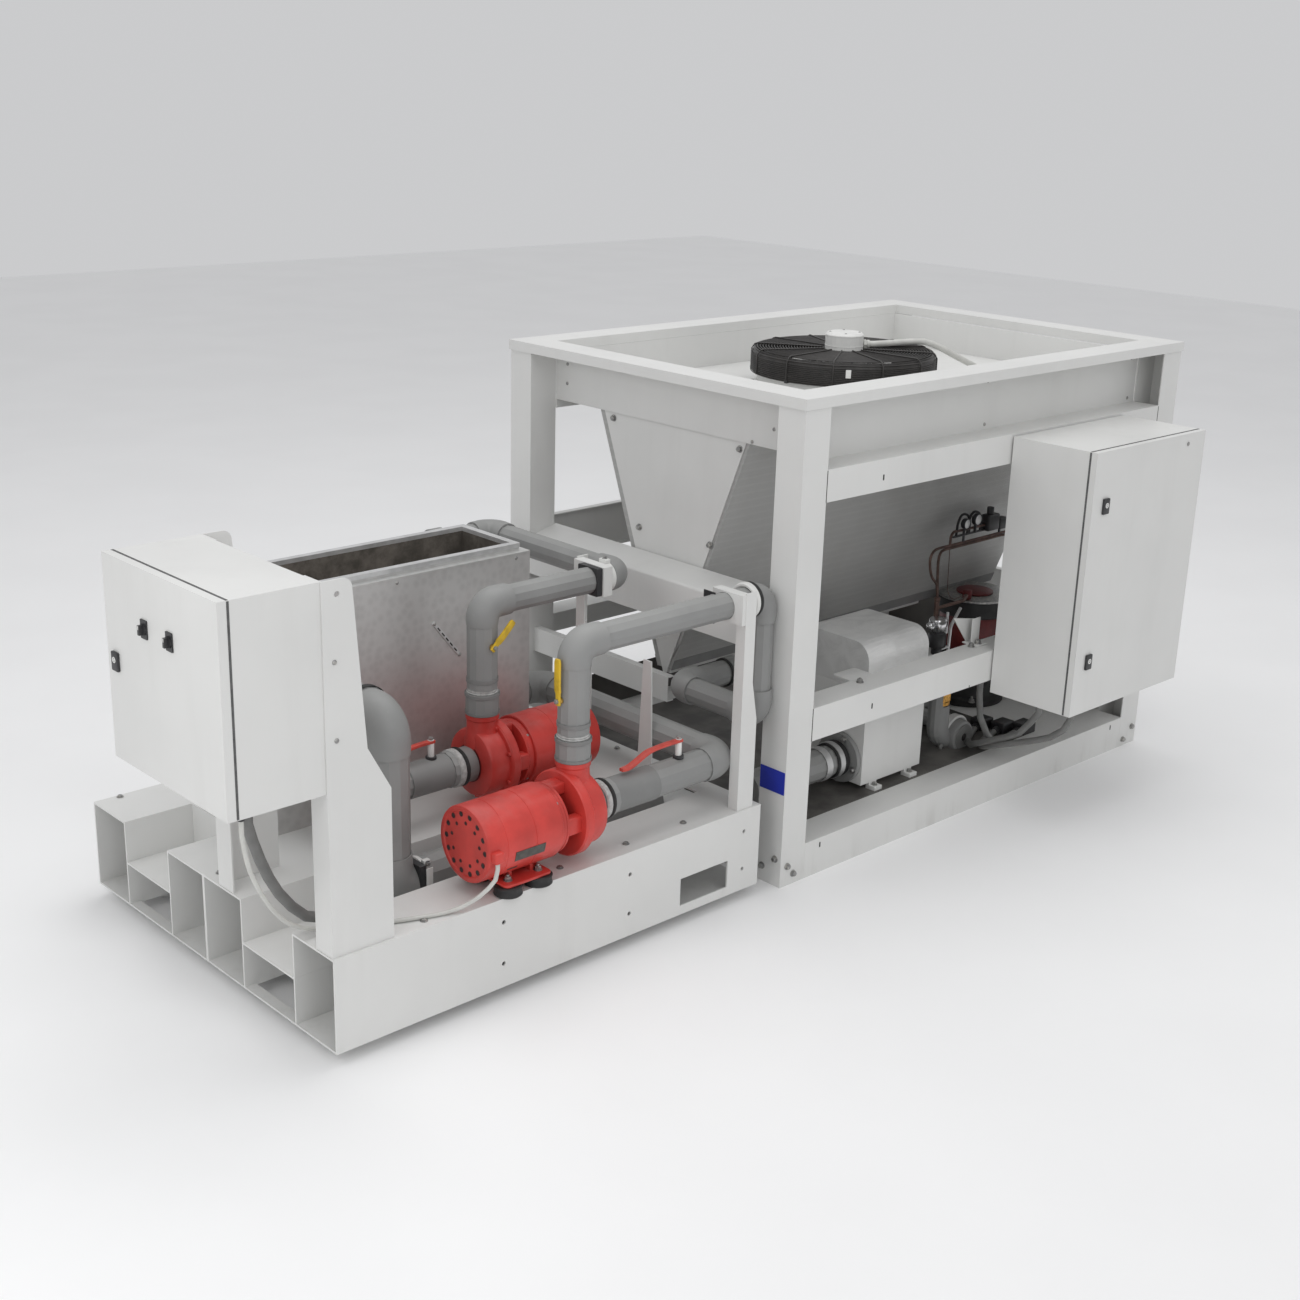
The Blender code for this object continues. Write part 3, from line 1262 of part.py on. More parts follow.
def fan_rotor(root):
    """A hub with broad raked blades below the guard. It turns about Z."""
    pivot = empty("fan_axis", (FAN_X, FRAME_MIDDLE, FAN_HUB_TOP - FAN_HUB_HEIGHT / 2), root)
    hub = cylinder((0, 0, 0), FAN_HUB_RADIUS, FAN_HUB_HEIGHT, "Z", 24)
    adopt(hub, "fan_rotor", black_wire(), pivot)
    blades = []
    reach = FAN_HOLE_RADIUS - FAN_TIP_CLEARANCE
    for index in range(FAN_BLADES):
        blade = box((FAN_HUB_RADIUS * 0.8, -BLADE_WIDTH / 2, -BLADE_SHEET / 2),
                    (reach * 0.97, BLADE_WIDTH / 2, BLADE_SHEET / 2))
        centre = Vector(blade.location)
        angle = 2 * math.pi * index / FAN_BLADES
        blade.location = (centre.x * math.cos(angle), centre.x * math.sin(angle), 0)
        blade.rotation_mode = "ZYX"
        blade.rotation_euler = (math.radians(BLADE_RAKE), 0, angle)
        blade.parent = pivot
        blades.append(blade)
    unite(hub, blades)
    return hub


def coil_hopper(root):
    """Trapezoid end plates and a pan that carry the two slanted coils."""
    top = DECK_HEIGHT - FRAME_SHEET - TOUCH
    high = END_PANEL_BOTTOM
    low = COIL_BOTTOM
    middle = FRAME_MIDDLE
    slope = (COIL_TOP_HALF - COIL_FOOT_HALF) / (high - low)
    half = COIL_FOOT_HALF - TOUCH
    inset = COIL_SHEET / 2
    pan = box((COIL_START + inset, middle - half, low + TOUCH),
              (COIL_START + COIL_LENGTH - inset, middle + half, low + TOUCH + COIL_SHEET))
    adopt(pan, "coil_hopper", grey_paint(), root)
    wide = COIL_TOP_HALF + slope * (top - high)
    points = [(middle - COIL_FOOT_HALF, low), (middle + COIL_FOOT_HALF, low), (middle + wide, top),
              (middle - wide, top)]
    end = COIL_START + COIL_LENGTH
    plates = [outline([points], COIL_SHEET, "X", (x, 0, 0))
              for x in (COIL_START + COIL_SHEET / 2, end - COIL_SHEET / 2)]
    unite(pan, under(plates, root))
    run = COIL_LENGTH - 2 * COIL_SHEET - 2 * TOUCH
    base = low + COIL_SHEET + 2 * TOUCH
    lift = base - low
    for name, side in (("coil_right", -1), ("coil_left", 1)):
        foot_u = middle + side * (COIL_FOOT_HALF + slope * lift)
        top_u = middle + side * wide
        section = [(foot_u, base), (foot_u - side * COIL_THICKNESS, base),
                   (top_u - side * COIL_THICKNESS, top), (top_u, top)]
        if side > 0:
            section.reverse()
        coil = outline([section], run, "X", (COIL_START + COIL_LENGTH / 2, 0, 0))
        adopt(coil, name, coil_metal(), root)


def evaporator(root):
    """The insulated plate evaporator, rounded along its top, on its stand."""
    low = BASE_HEIGHT + TOUCH
    top = low + STAND_HEIGHT
    x1 = STAND_X + STAND_LENGTH
    y1 = STAND_Y + STAND_WIDTH
    stand = box((STAND_X, STAND_Y, low + STAND_LEGS), (x1, y1, top))
    adopt(stand, "evaporator_stand", grey_paint(), root)
    feet = []
    for x in (STAND_X + STAND_FOOT_INSET, x1 - STAND_FOOT_INSET - STAND_FOOT_WIDTH):
        for y in (STAND_Y, y1 - STAND_FOOT_SHEET):
            feet.append(box((x, y, low), (x + STAND_FOOT_WIDTH, y + STAND_FOOT_SHEET, low + STAND_LEGS * 2)))
    unite(stand, under(feet, root))
    radius = EVAPORATOR_EDGE
    z1 = top + TOUCH + EVAPORATOR_HEIGHT
    points = [(STAND_Y, top + TOUCH), (y1, top + TOUCH)]
    for centre, first in ((y1 - radius, 0), (STAND_Y + radius, 90)):
        for index in range(7):
            angle = math.radians(first + 15 * index)
            points.append((centre + radius * math.cos(angle), z1 - radius + radius * math.sin(angle)))
    body = outline([points], STAND_LENGTH, "X", (STAND_X + STAND_LENGTH / 2, 0, 0))
    adopt(body, "evaporator", foil(), root)
    smooth(body, 25)


def inlet_pipe(root):
    """The water pipe low in the frame, with its coupling and its flange against the stand."""
    start = FRAME_X0 + END_RAIL_FLANGE
    end = STAND_X - TOUCH
    y = INLET_Y
    z = INLET_Z
    band = end - INLET_BAND_PLACE
    joined_pipe("inlet_pipe", root,
                [([Vector((start, y, z)), Vector((end, y, z))], INLET_RADIUS),
                 collar((band, y, z), (band + INLET_BAND_LENGTH, y, z), INLET_BAND_RADIUS),
                 collar((end - INLET_FLANGE_LENGTH, y, z), (end, y, z), INLET_FLANGE_RADIUS)], pipe_grey())


def compressor(root):
    """An upright red compressor with its collar, on the floor sheet."""
    low = BASE_HEIGHT + TOUCH
    high = low + COMPRESSOR_HEIGHT
    r = COMPRESSOR_RADIUS
    collar_top = high - COLLAR_TOP
    collar_low = collar_top - COLLAR_HEIGHT
    profile = [(0, high), (r * 0.62, high), (r * 0.66, high - COLLAR_TOP / 2), (r * 0.66, collar_top),
               (r, collar_top), (r, collar_low), (r * 0.88, collar_low),
               (r * 0.88, low + COMPRESSOR_SKIRT), (r, low + COMPRESSOR_SKIRT), (r, low), (0, low)]
    body = turned(profile, (COMPRESSOR_X, COMPRESSOR_Y, 0), "Z", 24)
    adopt(body, "compressor", red_paint(), root)


def copper_pipes(root):
    """The refrigerant line from the evaporator over to the top of the compressor."""
    side = COMPRESSOR_Y - COPPER_SIDE
    start = (STAND_X + STAND_LENGTH + TOUCH, side, COPPER_OUTLET_HEIGHT)
    top = COIL_BOTTOM - COPPER_DROP
    end = COMPRESSOR_X + COPPER_END
    route = rounded([start, (LINE_X, side, COPPER_OUTLET_HEIGHT),
                     (LINE_X, side, top), (end, side, top),
                     (end, side, BASE_HEIGHT + COMPRESSOR_HEIGHT + TOUCH * 3)], COPPER_BEND, 4)
    line = as_mesh(pipe(route, COPPER_RADIUS, 3))
    adopt(line, "copper_pipe", copper(), root)
    smooth(line)


def suction_bend(root):
    """The thick insulated pipe that bends over the floor."""
    low = BASE_HEIGHT + 2 * TOUCH + SUCTION_LINE_RADIUS
    first = STAND_X + STAND_LENGTH + SUCTION_LINE_REACH + SUCTION_LINE_RADIUS
    last = first + SUCTION_LINE_REACH
    route = rounded([(STAND_X + STAND_LENGTH + TOUCH, INLET_Y, SUCTION_LINE_HEIGHT),
                     (first, INLET_Y, SUCTION_LINE_HEIGHT), (first, INLET_Y, low), (last, INLET_Y, low),
                     (last, COMPRESSOR_Y, low), (COMPRESSOR_X - COMPRESSOR_RADIUS - TOUCH * 2, COMPRESSOR_Y, low)],
                    SUCTION_LINE_BEND, 4)
    bend = as_mesh(pipe(route, SUCTION_LINE_RADIUS, 4))
    adopt(bend, "suction_bend", pipe_grey(), root)
    smooth(bend)


def cabinet(root):
    """The electrical cabinet's body with its plate. Its door opens at -Y."""
    x1 = CABINET_X + CABINET_WIDTH
    top = CABINET_BOTTOM + CABINET_HEIGHT
    body, cuts = open_box((CABINET_X, CABINET_FRONT, CABINET_BOTTOM), (x1, CABINET_BACK, top),
                          BOX_SHEET, BOX_LIP, "-Y")
    adopt(body, "cabinet_body", grey_paint(), root)
    cut_out(body, under(cuts, root))
    back = CABINET_BACK - BOX_SHEET
    inner = equipment_plate(
        (CABINET_X + PLATE_MARGIN, back - PLATE_STAND - PLATE_SHEET, CABINET_BOTTOM + PLATE_MARGIN),
        (x1 - PLATE_MARGIN, back - PLATE_STAND, top - PLATE_MARGIN), PLATE_STAND, "Y")
    unite(body, under(inner, root))
    spacers = []
    for x in (CABINET_X + CABINET_SPACER_INSET, x1 - CABINET_SPACER_INSET):
        for z in (SIDE_RAIL_BOTTOM + SIDE_RAIL_HEIGHT / 2, SHELF_HEIGHT - UPPER_RAIL_HEIGHT / 2):
            centre = (x, CABINET_BACK + CABINET_GAP / 2 - TOUCH, z)
            spacers.append(cylinder(centre, CABINET_SPACER_RADIUS, CABINET_GAP + TOUCH, "Y", 10))
    unite(body, under(spacers, root))
    return body


def cabinet_door(root):
    """The cabinet's door, hinged at its +X edge, with two latches."""
    x1 = CABINET_X + CABINET_WIDTH
    top = CABINET_BOTTOM + CABINET_HEIGHT
    back = CABINET_FRONT - TOUCH
    pivot = empty("cabinet_hinge", (x1, back - CABINET_DOOR_DEPTH / 2, CABINET_BOTTOM), root)
    low = Vector((CABINET_X, CABINET_DOOR_FRONT, CABINET_BOTTOM))
    high = Vector((x1, back, top))
    door = box(low, high)
    adopt(door, "cabinet_door", grey_paint(), root)
    sheet = Vector((DOOR_SHEET, DOOR_SHEET, DOOR_SHEET))
    inside = box(low + sheet, high + Vector((-DOOR_SHEET, DOOR_SHEET, -DOOR_SHEET)))
    x = CABINET_X + CABINET_LATCH_INSET
    latches = [box((x - LATCH_WIDTH / 2, CABINET_DOOR_FRONT - LATCH_DEPTH, z - LATCH_HEIGHT / 2),
                   (x + LATCH_WIDTH / 2, CABINET_DOOR_FRONT + DOOR_SHEET / 2, z + LATCH_HEIGHT / 2))
               for z in (top - CABINET_LATCH_MARGIN, CABINET_BOTTOM + CABINET_LATCH_MARGIN)]
    about(pivot, door, inside, *latches)
    cut_out(door, [inside])
    unite(door, latches)
    return door


def cable(name, root, points, radius, look):
    """A cable that hangs or lies free, along a smooth curve through its points."""
    route = smooth_route(points, radius * 5)
    line = pipe(route, radius, 2)
    adopt(line, name, look, root)
    return line


def cables(root):
    """Cables from the control box, from the fan motor and from the cabinet."""
    bottom = BOX_BOTTOM - GLAND_LENGTH - TOUCH
    rest = BEAM_TOP + CABLE_REST + CONDUIT_RADIUS
    gland_x = NEAR_MOTOR_END + GLAND_PLACE
    gland_y = NEAR_PUMP_Y - MOTOR_RADIUS - GLAND_SIZE * 0.35
    cable("motor_conduit", root,
          [(CONDUIT_X, CONDUIT_Y, bottom), (CONDUIT_X, CONDUIT_Y, 0.620), (-0.160, 0.068, 0.520),
           (-0.100, 0.098, 0.410), (-0.030, 0.125, 0.330), (0.050, 0.128, rest + 0.006),
           (0.140, 0.095, rest), (0.240, 0.050, rest), (0.340, 0.016, rest + 0.002),
           (0.405, -0.008, 0.312), (0.437, gland_y, 0.355), (gland_x, gland_y, 0.380),
           (gland_x, gland_y, GLAND_Z - TOUCH)], CONDUIT_RADIUS, cable_white())
    over = DECK_HEIGHT + FAN_RING_HEIGHT + GUARD_HEIGHT + GUARD_WIRE + 2 * CABLE_REST + FAN_CABLE_RADIUS
    rest = DECK_HEIGHT + CABLE_REST + FAN_CABLE_RADIUS
    turn = math.radians(-CONDUIT_TURN)
    exits = [(FAN_X + r * math.cos(turn), FRAME_MIDDLE + r * math.sin(turn), over)
             for r in (FAN_CAP_RADIUS + TOUCH, FAN_CAP_RADIUS + GLAND_LENGTH * 2)]
    run = [(0.150, -0.078, 0), (0.215, -0.092, 0), (0.265, -0.106, -0.002), (0.300, -0.116, -0.012),
           (0.345, -0.126, -0.031), (0.390, -0.134, -0.052), (0.450, -0.142, -0.078), (0.515, -0.147, -0.105)]
    cable("fan_conduit", root,
          exits + [(FAN_X + x, FRAME_MIDDLE + y, over + z) for x, y, z in run]
          + [(FAN_X + 0.585, FRAME_MIDDLE - 0.151, rest), (FAN_X + 0.660, FRAME_MIDDLE - 0.155, rest)],
          FAN_CABLE_RADIUS, cable_white())
    rest = BEAM_TOP + CABLE_REST + CABLE_RADIUS
    cable("pump_cable", root,
          [(PUMP_CABLE_X, PUMP_CABLE_Y, bottom), (PUMP_CABLE_X, PUMP_CABLE_Y, 0.620),
           (-0.100, 0.130, 0.510), (-0.040, 0.158, 0.400), (0.030, 0.160, 0.318),
           (0.100, 0.153, rest), (0.190, 0.150, rest)],
          CABLE_RADIUS, pipe_grey())


def main():
    clear_scene()
    root = bpy.data.objects.new("chiller_origin", None)
    root.location = -CENTRE
    bpy.data.collections[PARTS].objects.link(root)
    side_beam("skid_beam_right", root, True)
    side_beam("skid_beam_left", root, False)
    skid_middle(root)
    tank_base_plate(root)
    bracket("bracket_right", root, BOX_SIDE - BRACKET_SHEET / 2, 1)
    bracket("bracket_left", root, BOX_SIDE + BOX_WIDTH - BRACKET_SHEET / 2, -1)
    control_box(root)
    control_box_door(root)
    motor("near_motor", root, NEAR_PUMP_Y, NEAR_MOTOR_END, 1)
    near_neck = pump_casing("near_pump_casing", root, NEAR_PUMP_Y, NEAR_MOTOR_END, 1)
    pump_feet("near_pump_feet", root, NEAR_PUMP_Y, NEAR_MOTOR_END, 1)
    motor("far_motor", root, FAR_PUMP_Y, FAR_MOTOR_END, -1)
    far_neck = pump_casing("far_pump_casing", root, FAR_PUMP_Y, FAR_MOTOR_END, -1)
    pump_feet("far_pump_feet", root, FAR_PUMP_Y, FAR_MOTOR_END, -1)
    pump_pipes(root, near_neck, NEAR_MOTOR_END + PUMP_LENGTH, far_neck, FAR_VOLUTE_END)
    tank_drop_pipe(root)
    valve_levers(root, near_neck, far_neck)
    support_post("near_post", root, NEAR_POST_X, NEAR_POST_Y, NEAR_PUMP_Y, DISCHARGE_HEIGHT)
    support_post("far_post", root, FAR_POST_X, FAR_POST_Y, FAR_PUMP_Y, DISCHARGE_HEIGHT)
    header_post(root)
    tank(root)
    for name, front, right in (("post_front_right", True, True), ("post_front_left", True, False),
                               ("post_rear_right", False, True), ("post_rear_left", False, False)):
        frame_post(name, root, front, right)
    base_frame(root)
    rails(root)
    upper_panels(root)
    fan_deck(root)
    top_rim(root)
    fan_guard(root)
    fan_motor(root)
    fan_rotor(root)
    coil_hopper(root)
    evaporator(root)
    inlet_pipe(root)
    compressor(root)
    copper_pipes(root)
    suction_bend(root)
    cabinet(root)
    cabinet_door(root)
    cables(root)
    bpy.context.view_layer.update()


if __name__ == "__main__":
    main()
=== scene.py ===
"""Air cooled water chiller with its pump skid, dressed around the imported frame.

Every piece is a surface worked out with numpy and placed in metres. The skid frame that the
functions use starts at the outer bottom front corner of the skid's right beam: X runs to the
chiller, Y to the far side and Z up from the ground. ORIGIN moves it into the row frame.
"""

import math

import bpy
import numpy as np
from mathutils import Matrix, Vector


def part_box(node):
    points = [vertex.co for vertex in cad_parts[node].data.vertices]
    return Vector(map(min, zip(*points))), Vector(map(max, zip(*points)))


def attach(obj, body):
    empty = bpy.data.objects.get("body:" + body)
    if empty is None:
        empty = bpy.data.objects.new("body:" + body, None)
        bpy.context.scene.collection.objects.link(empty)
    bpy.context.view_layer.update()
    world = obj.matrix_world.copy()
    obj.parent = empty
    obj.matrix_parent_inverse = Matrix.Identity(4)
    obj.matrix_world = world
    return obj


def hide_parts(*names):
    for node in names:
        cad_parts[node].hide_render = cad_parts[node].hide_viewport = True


bl_info = {
    "name": "Water chiller",
    "version": (1, 0, 0),
    "blender": (4, 5, 0),
    "location": "View3D > Sidebar > Chiller",
    "description": "Builds the fittings and finishes of an air cooled water chiller",
    "category": "Object",
}

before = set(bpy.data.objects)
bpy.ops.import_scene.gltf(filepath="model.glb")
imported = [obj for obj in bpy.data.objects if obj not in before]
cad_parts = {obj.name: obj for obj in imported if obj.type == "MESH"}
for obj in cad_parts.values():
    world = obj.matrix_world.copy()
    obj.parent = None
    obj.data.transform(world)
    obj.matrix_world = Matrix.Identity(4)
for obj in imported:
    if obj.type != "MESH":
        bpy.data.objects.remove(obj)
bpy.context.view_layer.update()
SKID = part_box("skid_beam_right")
ORIGIN = np.array((SKID[0].x, SKID[0].y, 0.0))
CAMERA_PLACE = Vector((-3.45923, -3.47555, 2.21248))
CAMERA_RIGHT = (0.73015412, -0.68269926, 0.02822547)
CAMERA_UP = (0.19634764, 0.24920391, 0.94833803)
CAMERA_AHEAD = (0.65446357, 0.68689092, -0.31600365)
LENS = 48.69


def node_box(name):
    """The lowest and highest corners of a CAD node in the skid frame."""
    low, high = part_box(name)
    return np.array(low) - ORIGIN, np.array(high) - ORIGIN


CAP = node_box("fan_motor")
FAN = (CAP[0][:2] + CAP[1][:2]) / 2
DECK = node_box("top_rim")[1][2] - 0.138


SEAT = 0.0002  # what is fastened on a face stands this far off it


# Surfaces

def ring_rows(points, round_u=True, round_v=False, caps=True):
    """Points on a grid (rows, columns, 3) joined by quads.

    round_u joins the last column to the first, round_v the last row to the first, and caps
    closes the first and the last row with one face each. The faces are turned outwards by
    the sign of the volume that they enclose.
    """
    points = np.asarray(points, float)
    rows, columns = points.shape[:2]
    index = np.arange(rows * columns).reshape(rows, columns)
    if round_u:
        index = np.concatenate([index, index[:, :1]], axis=1)
    if round_v:
        index = np.concatenate([index, index[:1]], axis=0)
    around = [index[:-1, :-1], index[:-1, 1:], index[1:, 1:], index[1:, :-1]]
    quads = np.stack(around, axis=-1).reshape(-1, 4)
    flat = points.reshape(-1, 3)
    corners = flat[quads]
    volume = np.einsum("ij,ij->", corners[:, 0], np.cross(corners[:, 1], corners[:, 2]))
    volume += np.einsum("ij,ij->", corners[:, 0], np.cross(corners[:, 2], corners[:, 3]))
    faces = quads.tolist()
    if caps and not round_v:
        ends = [index[0, :columns][::-1], index[-1, :columns]]
        for end in ends:
            fan = flat[end]
            volume += np.einsum("ij,ij->", np.broadcast_to(fan[0], fan[1:-1].shape),
                                np.cross(fan[1:-1], fan[2:]))
            faces.append(end.tolist())
    if volume < 0:
        faces = [face[::-1] for face in faces]
    return flat, faces


def joined(shapes):
    """Several (points, faces) shapes as one."""
    points = []
    faces = []
    count = 0
    for own_points, own_faces in shapes:
        points.append(own_points)
        faces.extend([[corner + count for corner in face] for face in own_faces])
        count += len(own_points)
    return np.concatenate(points), faces


def copies(shape, places, turn=None):
    """A shape repeated at each place, turned first by a 3 by 3 matrix."""
    points, faces = shape
    if turn is not None:
        points = points @ np.asarray(turn).T
    places = np.asarray(places, float).reshape(-1, 3)
    moved = (points[None] + places[:, None]).reshape(-1, 3)
    step = len(points)
    return moved, [[corner + step * k for corner in face]
                   for k in range(len(places)) for face in faces]


def turned_about(shape, centre, axis, angles):
    """A shape repeated around an axis through centre, once for each angle."""
    points, faces = shape
    centre = np.asarray(centre, float)
    made = []
    for angle in angles:
        turn = np.array(Matrix.Rotation(angle, 3, axis))
        made.append(((points - centre) @ turn.T + centre, faces))
    return joined(made)


AXES = {
    "X": np.array(((0, 0, 1), (1, 0, 0), (0, 1, 0)), float),
    "-X": np.array(((0, 0, -1), (-1, 0, 0), (0, 1, 0)), float),
    "Y": np.array(((0, 1, 0), (0, 0, 1), (1, 0, 0)), float),
    "-Y": np.array(((1, 0, 0), (0, 0, -1), (0, 1, 0)), float),
    "Z": np.eye(3),
    "-Z": np.array(((1, 0, 0), (0, -1, 0), (0, 0, -1)), float),
}


def lathe(profile, centre=(0, 0, 0), axis="Z", steps=32):
    """A profile (radius, height) turned around an axis: (r cos u, r sin u, h)."""
    profile = np.asarray(profile, float)
    u = np.linspace(0, 2 * math.pi, steps, endpoint=False)
    radius = np.maximum(profile[:, :1], 1e-5)
    local = np.stack([radius * np.cos(u), radius * np.sin(u),
                      np.broadcast_to(profile[:, 1:], (len(profile), steps))], axis=-1)
    return ring_rows(local @ AXES[axis].T + np.asarray(centre, float))


def drum(centre, radius, length, axis="Z", edge=0.0015, steps=32):
    """A cylinder with rounded edges that starts at centre and runs along the axis."""
    edge = min(edge, radius * 0.6, length * 0.45)
    profile = [(0, 0), (radius - edge, 0), (radius - edge * 0.3, edge * 0.3), (radius, edge),
               (radius, length - edge), (radius - edge * 0.3, length - edge * 0.3),
               (radius - edge, length), (0, length)]
    return lathe(profile, centre, axis, steps)


def collar(centre, inner, outer, length, axis="Z", edge=0.001, steps=32):
    """A ring of rectangular section with its edges broken, open in its middle."""
    e = min(edge, (outer - inner) * 0.4, length * 0.4)
    section = np.array([(inner, e), (inner + e, 0), (outer - e, 0), (outer, e), (outer, length - e),
                        (outer - e, length), (inner + e, length), (inner, length - e)])
    u = np.linspace(0, 2 * math.pi, steps, endpoint=False)
    local = np.stack([section[:, :1] * np.cos(u), section[:, :1] * np.sin(u),
                      np.broadcast_to(section[:, 1:], (len(section), steps))], axis=-1)
    return ring_rows(local @ AXES[axis].T + np.asarray(centre, float), round_v=True)


def rounded_outline(half_u, half_v, radius, steps=4):
    """A rectangle with round corners: each corner is a quarter turn of the radius."""
    radius = min(radius, half_u, half_v)
    turn = np.linspace(0, math.pi / 2, steps + 1)
    parts = []
    for k, (su, sv) in enumerate(((1, 1), (-1, 1), (-1, -1), (1, -1))):
        a = turn + k * math.pi / 2
        parts.append(np.stack([su * (half_u - radius) + radius * np.cos(a),
                               sv * (half_v - radius) + radius * np.sin(a)], axis=-1))
    return np.concatenate(parts)


def block(low, high, edge=0.002, corner=None, axis="Z", steps=4):
    """A box whose edges are rounded: an outline carried along axis, drawn in at both ends."""
    low, high = np.asarray(low, float), np.asarray(high, float)
    frame_axes = AXES[axis]
    centre = (low + high) / 2
    half = np.abs(frame_axes.T @ (high - low)) / 2
    edge = min(edge, half.min() * 0.8)
    corner = max(edge, corner or edge)
    a = np.linspace(0, math.pi / 2, 4)
    inset = np.concatenate([edge * (1 - np.sin(a)), (edge * (1 - np.sin(a)))[::-1]])
    height = np.concatenate([-half[2] + edge * (1 - np.cos(a)), (half[2] - edge * (1 - np.cos(a)))[::-1]])
    rows = []
    for d, h in zip(inset, height):
        line = rounded_outline(half[0] - d, half[1] - d, max(corner - d, 1e-5), steps)
        rows.append(np.column_stack([line, np.full(len(line), h)]))
    return ring_rows(np.stack(rows) @ frame_axes.T + centre)


def plate(points, start, depth, axis="Z", edge=0.0):
    """A flat outline of any convex shape carried along axis from start."""
    points = np.asarray(points, float)
    middle = points.mean(axis=0)
    reach = np.abs(points - middle).max()
    share = 1 - edge / reach
    rows = [(share, 0.0), (1.0, edge), (1.0, depth - edge), (share, depth)]
    grid = np.stack([np.column_stack([middle + (points - middle) * s, np.full(len(points), h)])
                     for s, h in rows])
    return ring_rows(grid @ AXES[axis].T + np.asarray(start, float))


def path_frames(path):
    """Unit tangents of a path and two directions across it, kept from twisting."""
    path = np.asarray(path, float)
    tangent = np.gradient(path, axis=0)
    tangent /= np.linalg.norm(tangent, axis=1, keepdims=True)
    side = np.zeros_like(tangent)
    start = np.array((0, 0, 1.0)) if abs(tangent[0, 2]) < 0.9 else np.array((1.0, 0, 0))
    side[0] = np.cross(tangent[0], start)
    side[0] /= np.linalg.norm(side[0])
    for k in range(1, len(path)):
        step = side[k - 1] - tangent[k] * (side[k - 1] @ tangent[k])
        side[k] = step / np.linalg.norm(step)
    return tangent, side, np.cross(tangent, side)


def tube(path, radius, sides=16, caps=True):
    """A round tube: each point is path + radius (cos u side + sin u up). The radius may vary."""
    path = np.asarray(path, float)
    _, side, up = path_frames(path)
    u = np.linspace(0, 2 * math.pi, sides, endpoint=False)
    radius = np.broadcast_to(np.asarray(radius, float), (len(path),))[:, None, None]
    around = side[:, None] * np.cos(u)[None, :, None] + up[:, None] * np.sin(u)[None, :, None]
    return ring_rows(path[:, None] + radius * around, caps=caps)


def bends(points, radius, steps=8):
    """A route whose corners are arcs of the radius, tangent to both runs."""
    points = [np.asarray(p, float) for p in points]
    route = [points[0]]
    for before, corner, after in zip(points, points[1:], points[2:]):
        back = (before - corner) / np.linalg.norm(before - corner)
        ahead = (after - corner) / np.linalg.norm(after - corner)
        half = math.acos(np.clip(back @ ahead, -1, 1)) / 2
        middle = corner + (back + ahead) / np.linalg.norm(back + ahead) * radius / math.sin(half)
        first = corner + back * radius / math.tan(half) - middle
        last = corner + ahead * radius / math.tan(half) - middle
        sweep = math.pi - 2 * half
        share = np.linspace(0, 1, steps + 1)[:, None]
        route.extend(middle + (first * np.sin((1 - share) * sweep) + last * np.sin(share * sweep))
                     / math.sin(sweep))
    route.append(points[-1])
    return np.array(route)


def eased(points, step):
    """Points along a smooth curve through the given ones, its two end runs straight."""
    points = [Vector(p) for p in points]
    route = [points[0]]
    for a, b, c, d in zip(points, points[1:], points[2:], points[3:]):
        count = max(1, round((c - b).length / step))
        for index in range(count):
            t = index / count
            route.append(0.5 * (2 * b + (c - a) * t + (2 * a - 5 * b + 4 * c - d) * t ** 2
                                + (3 * b - a - 3 * c + d) * t ** 3))
    return np.array(route + points[-2:])


def hoop(centre, major, minor, axis="Z", steps=64, sides=8):
    """A torus: ((major + minor cos v) cos u, (major + minor cos v) sin u, minor sin v)."""
    u = np.linspace(0, 2 * math.pi, steps, endpoint=False)
    v = np.linspace(0, 2 * math.pi, sides, endpoint=False)[:, None]
    out = major + minor * np.cos(v)
    local = np.stack([out * np.cos(u), out * np.sin(u), np.broadcast_to(minor * np.sin(v), (sides, steps))],
                     -1)
    return ring_rows(local @ AXES[axis].T + np.asarray(centre, float), round_v=True)


def bolt_shape(size, head=None, washer=True, thread=0.0):
    """A hexagon head on a washer: rings of six corners, drawn in at the top, around +Z."""
    head = head or size * 0.6
    u = np.radians(np.arange(0, 360, 60))
    low = size * 0.14 if washer else 0
    rows = [(0.0, low * 0.5), (1.0, low * 0.5), (1.0, low + head * 0.86), (0.86, low + head),
            (0.0, low + head)]
    reach = size / 2 / math.cos(math.pi / 6)
    grid = np.stack(
        [np.stack([max(s, 0.0001) * reach * np.cos(u), max(s, 0.0001) * reach * np.sin(u), np.full(6, h)],
                  -1) for s, h in rows])
    shapes = [ring_rows(grid)]
    if washer:
        shapes.append(drum((0, 0, 0), size * 0.78, low, "Z", low * 0.3, 20))
    if thread:
        shapes.append(drum((0, 0, low + head * 0.9), size * 0.28, thread, "Z", size * 0.05, 12))
    return joined(shapes)


def bolts(places, axis, size, **options):
    """Hexagon bolts at places, their heads towards the axis."""
    return copies(bolt_shape(size, **options), places, AXES[axis])


# Pieces

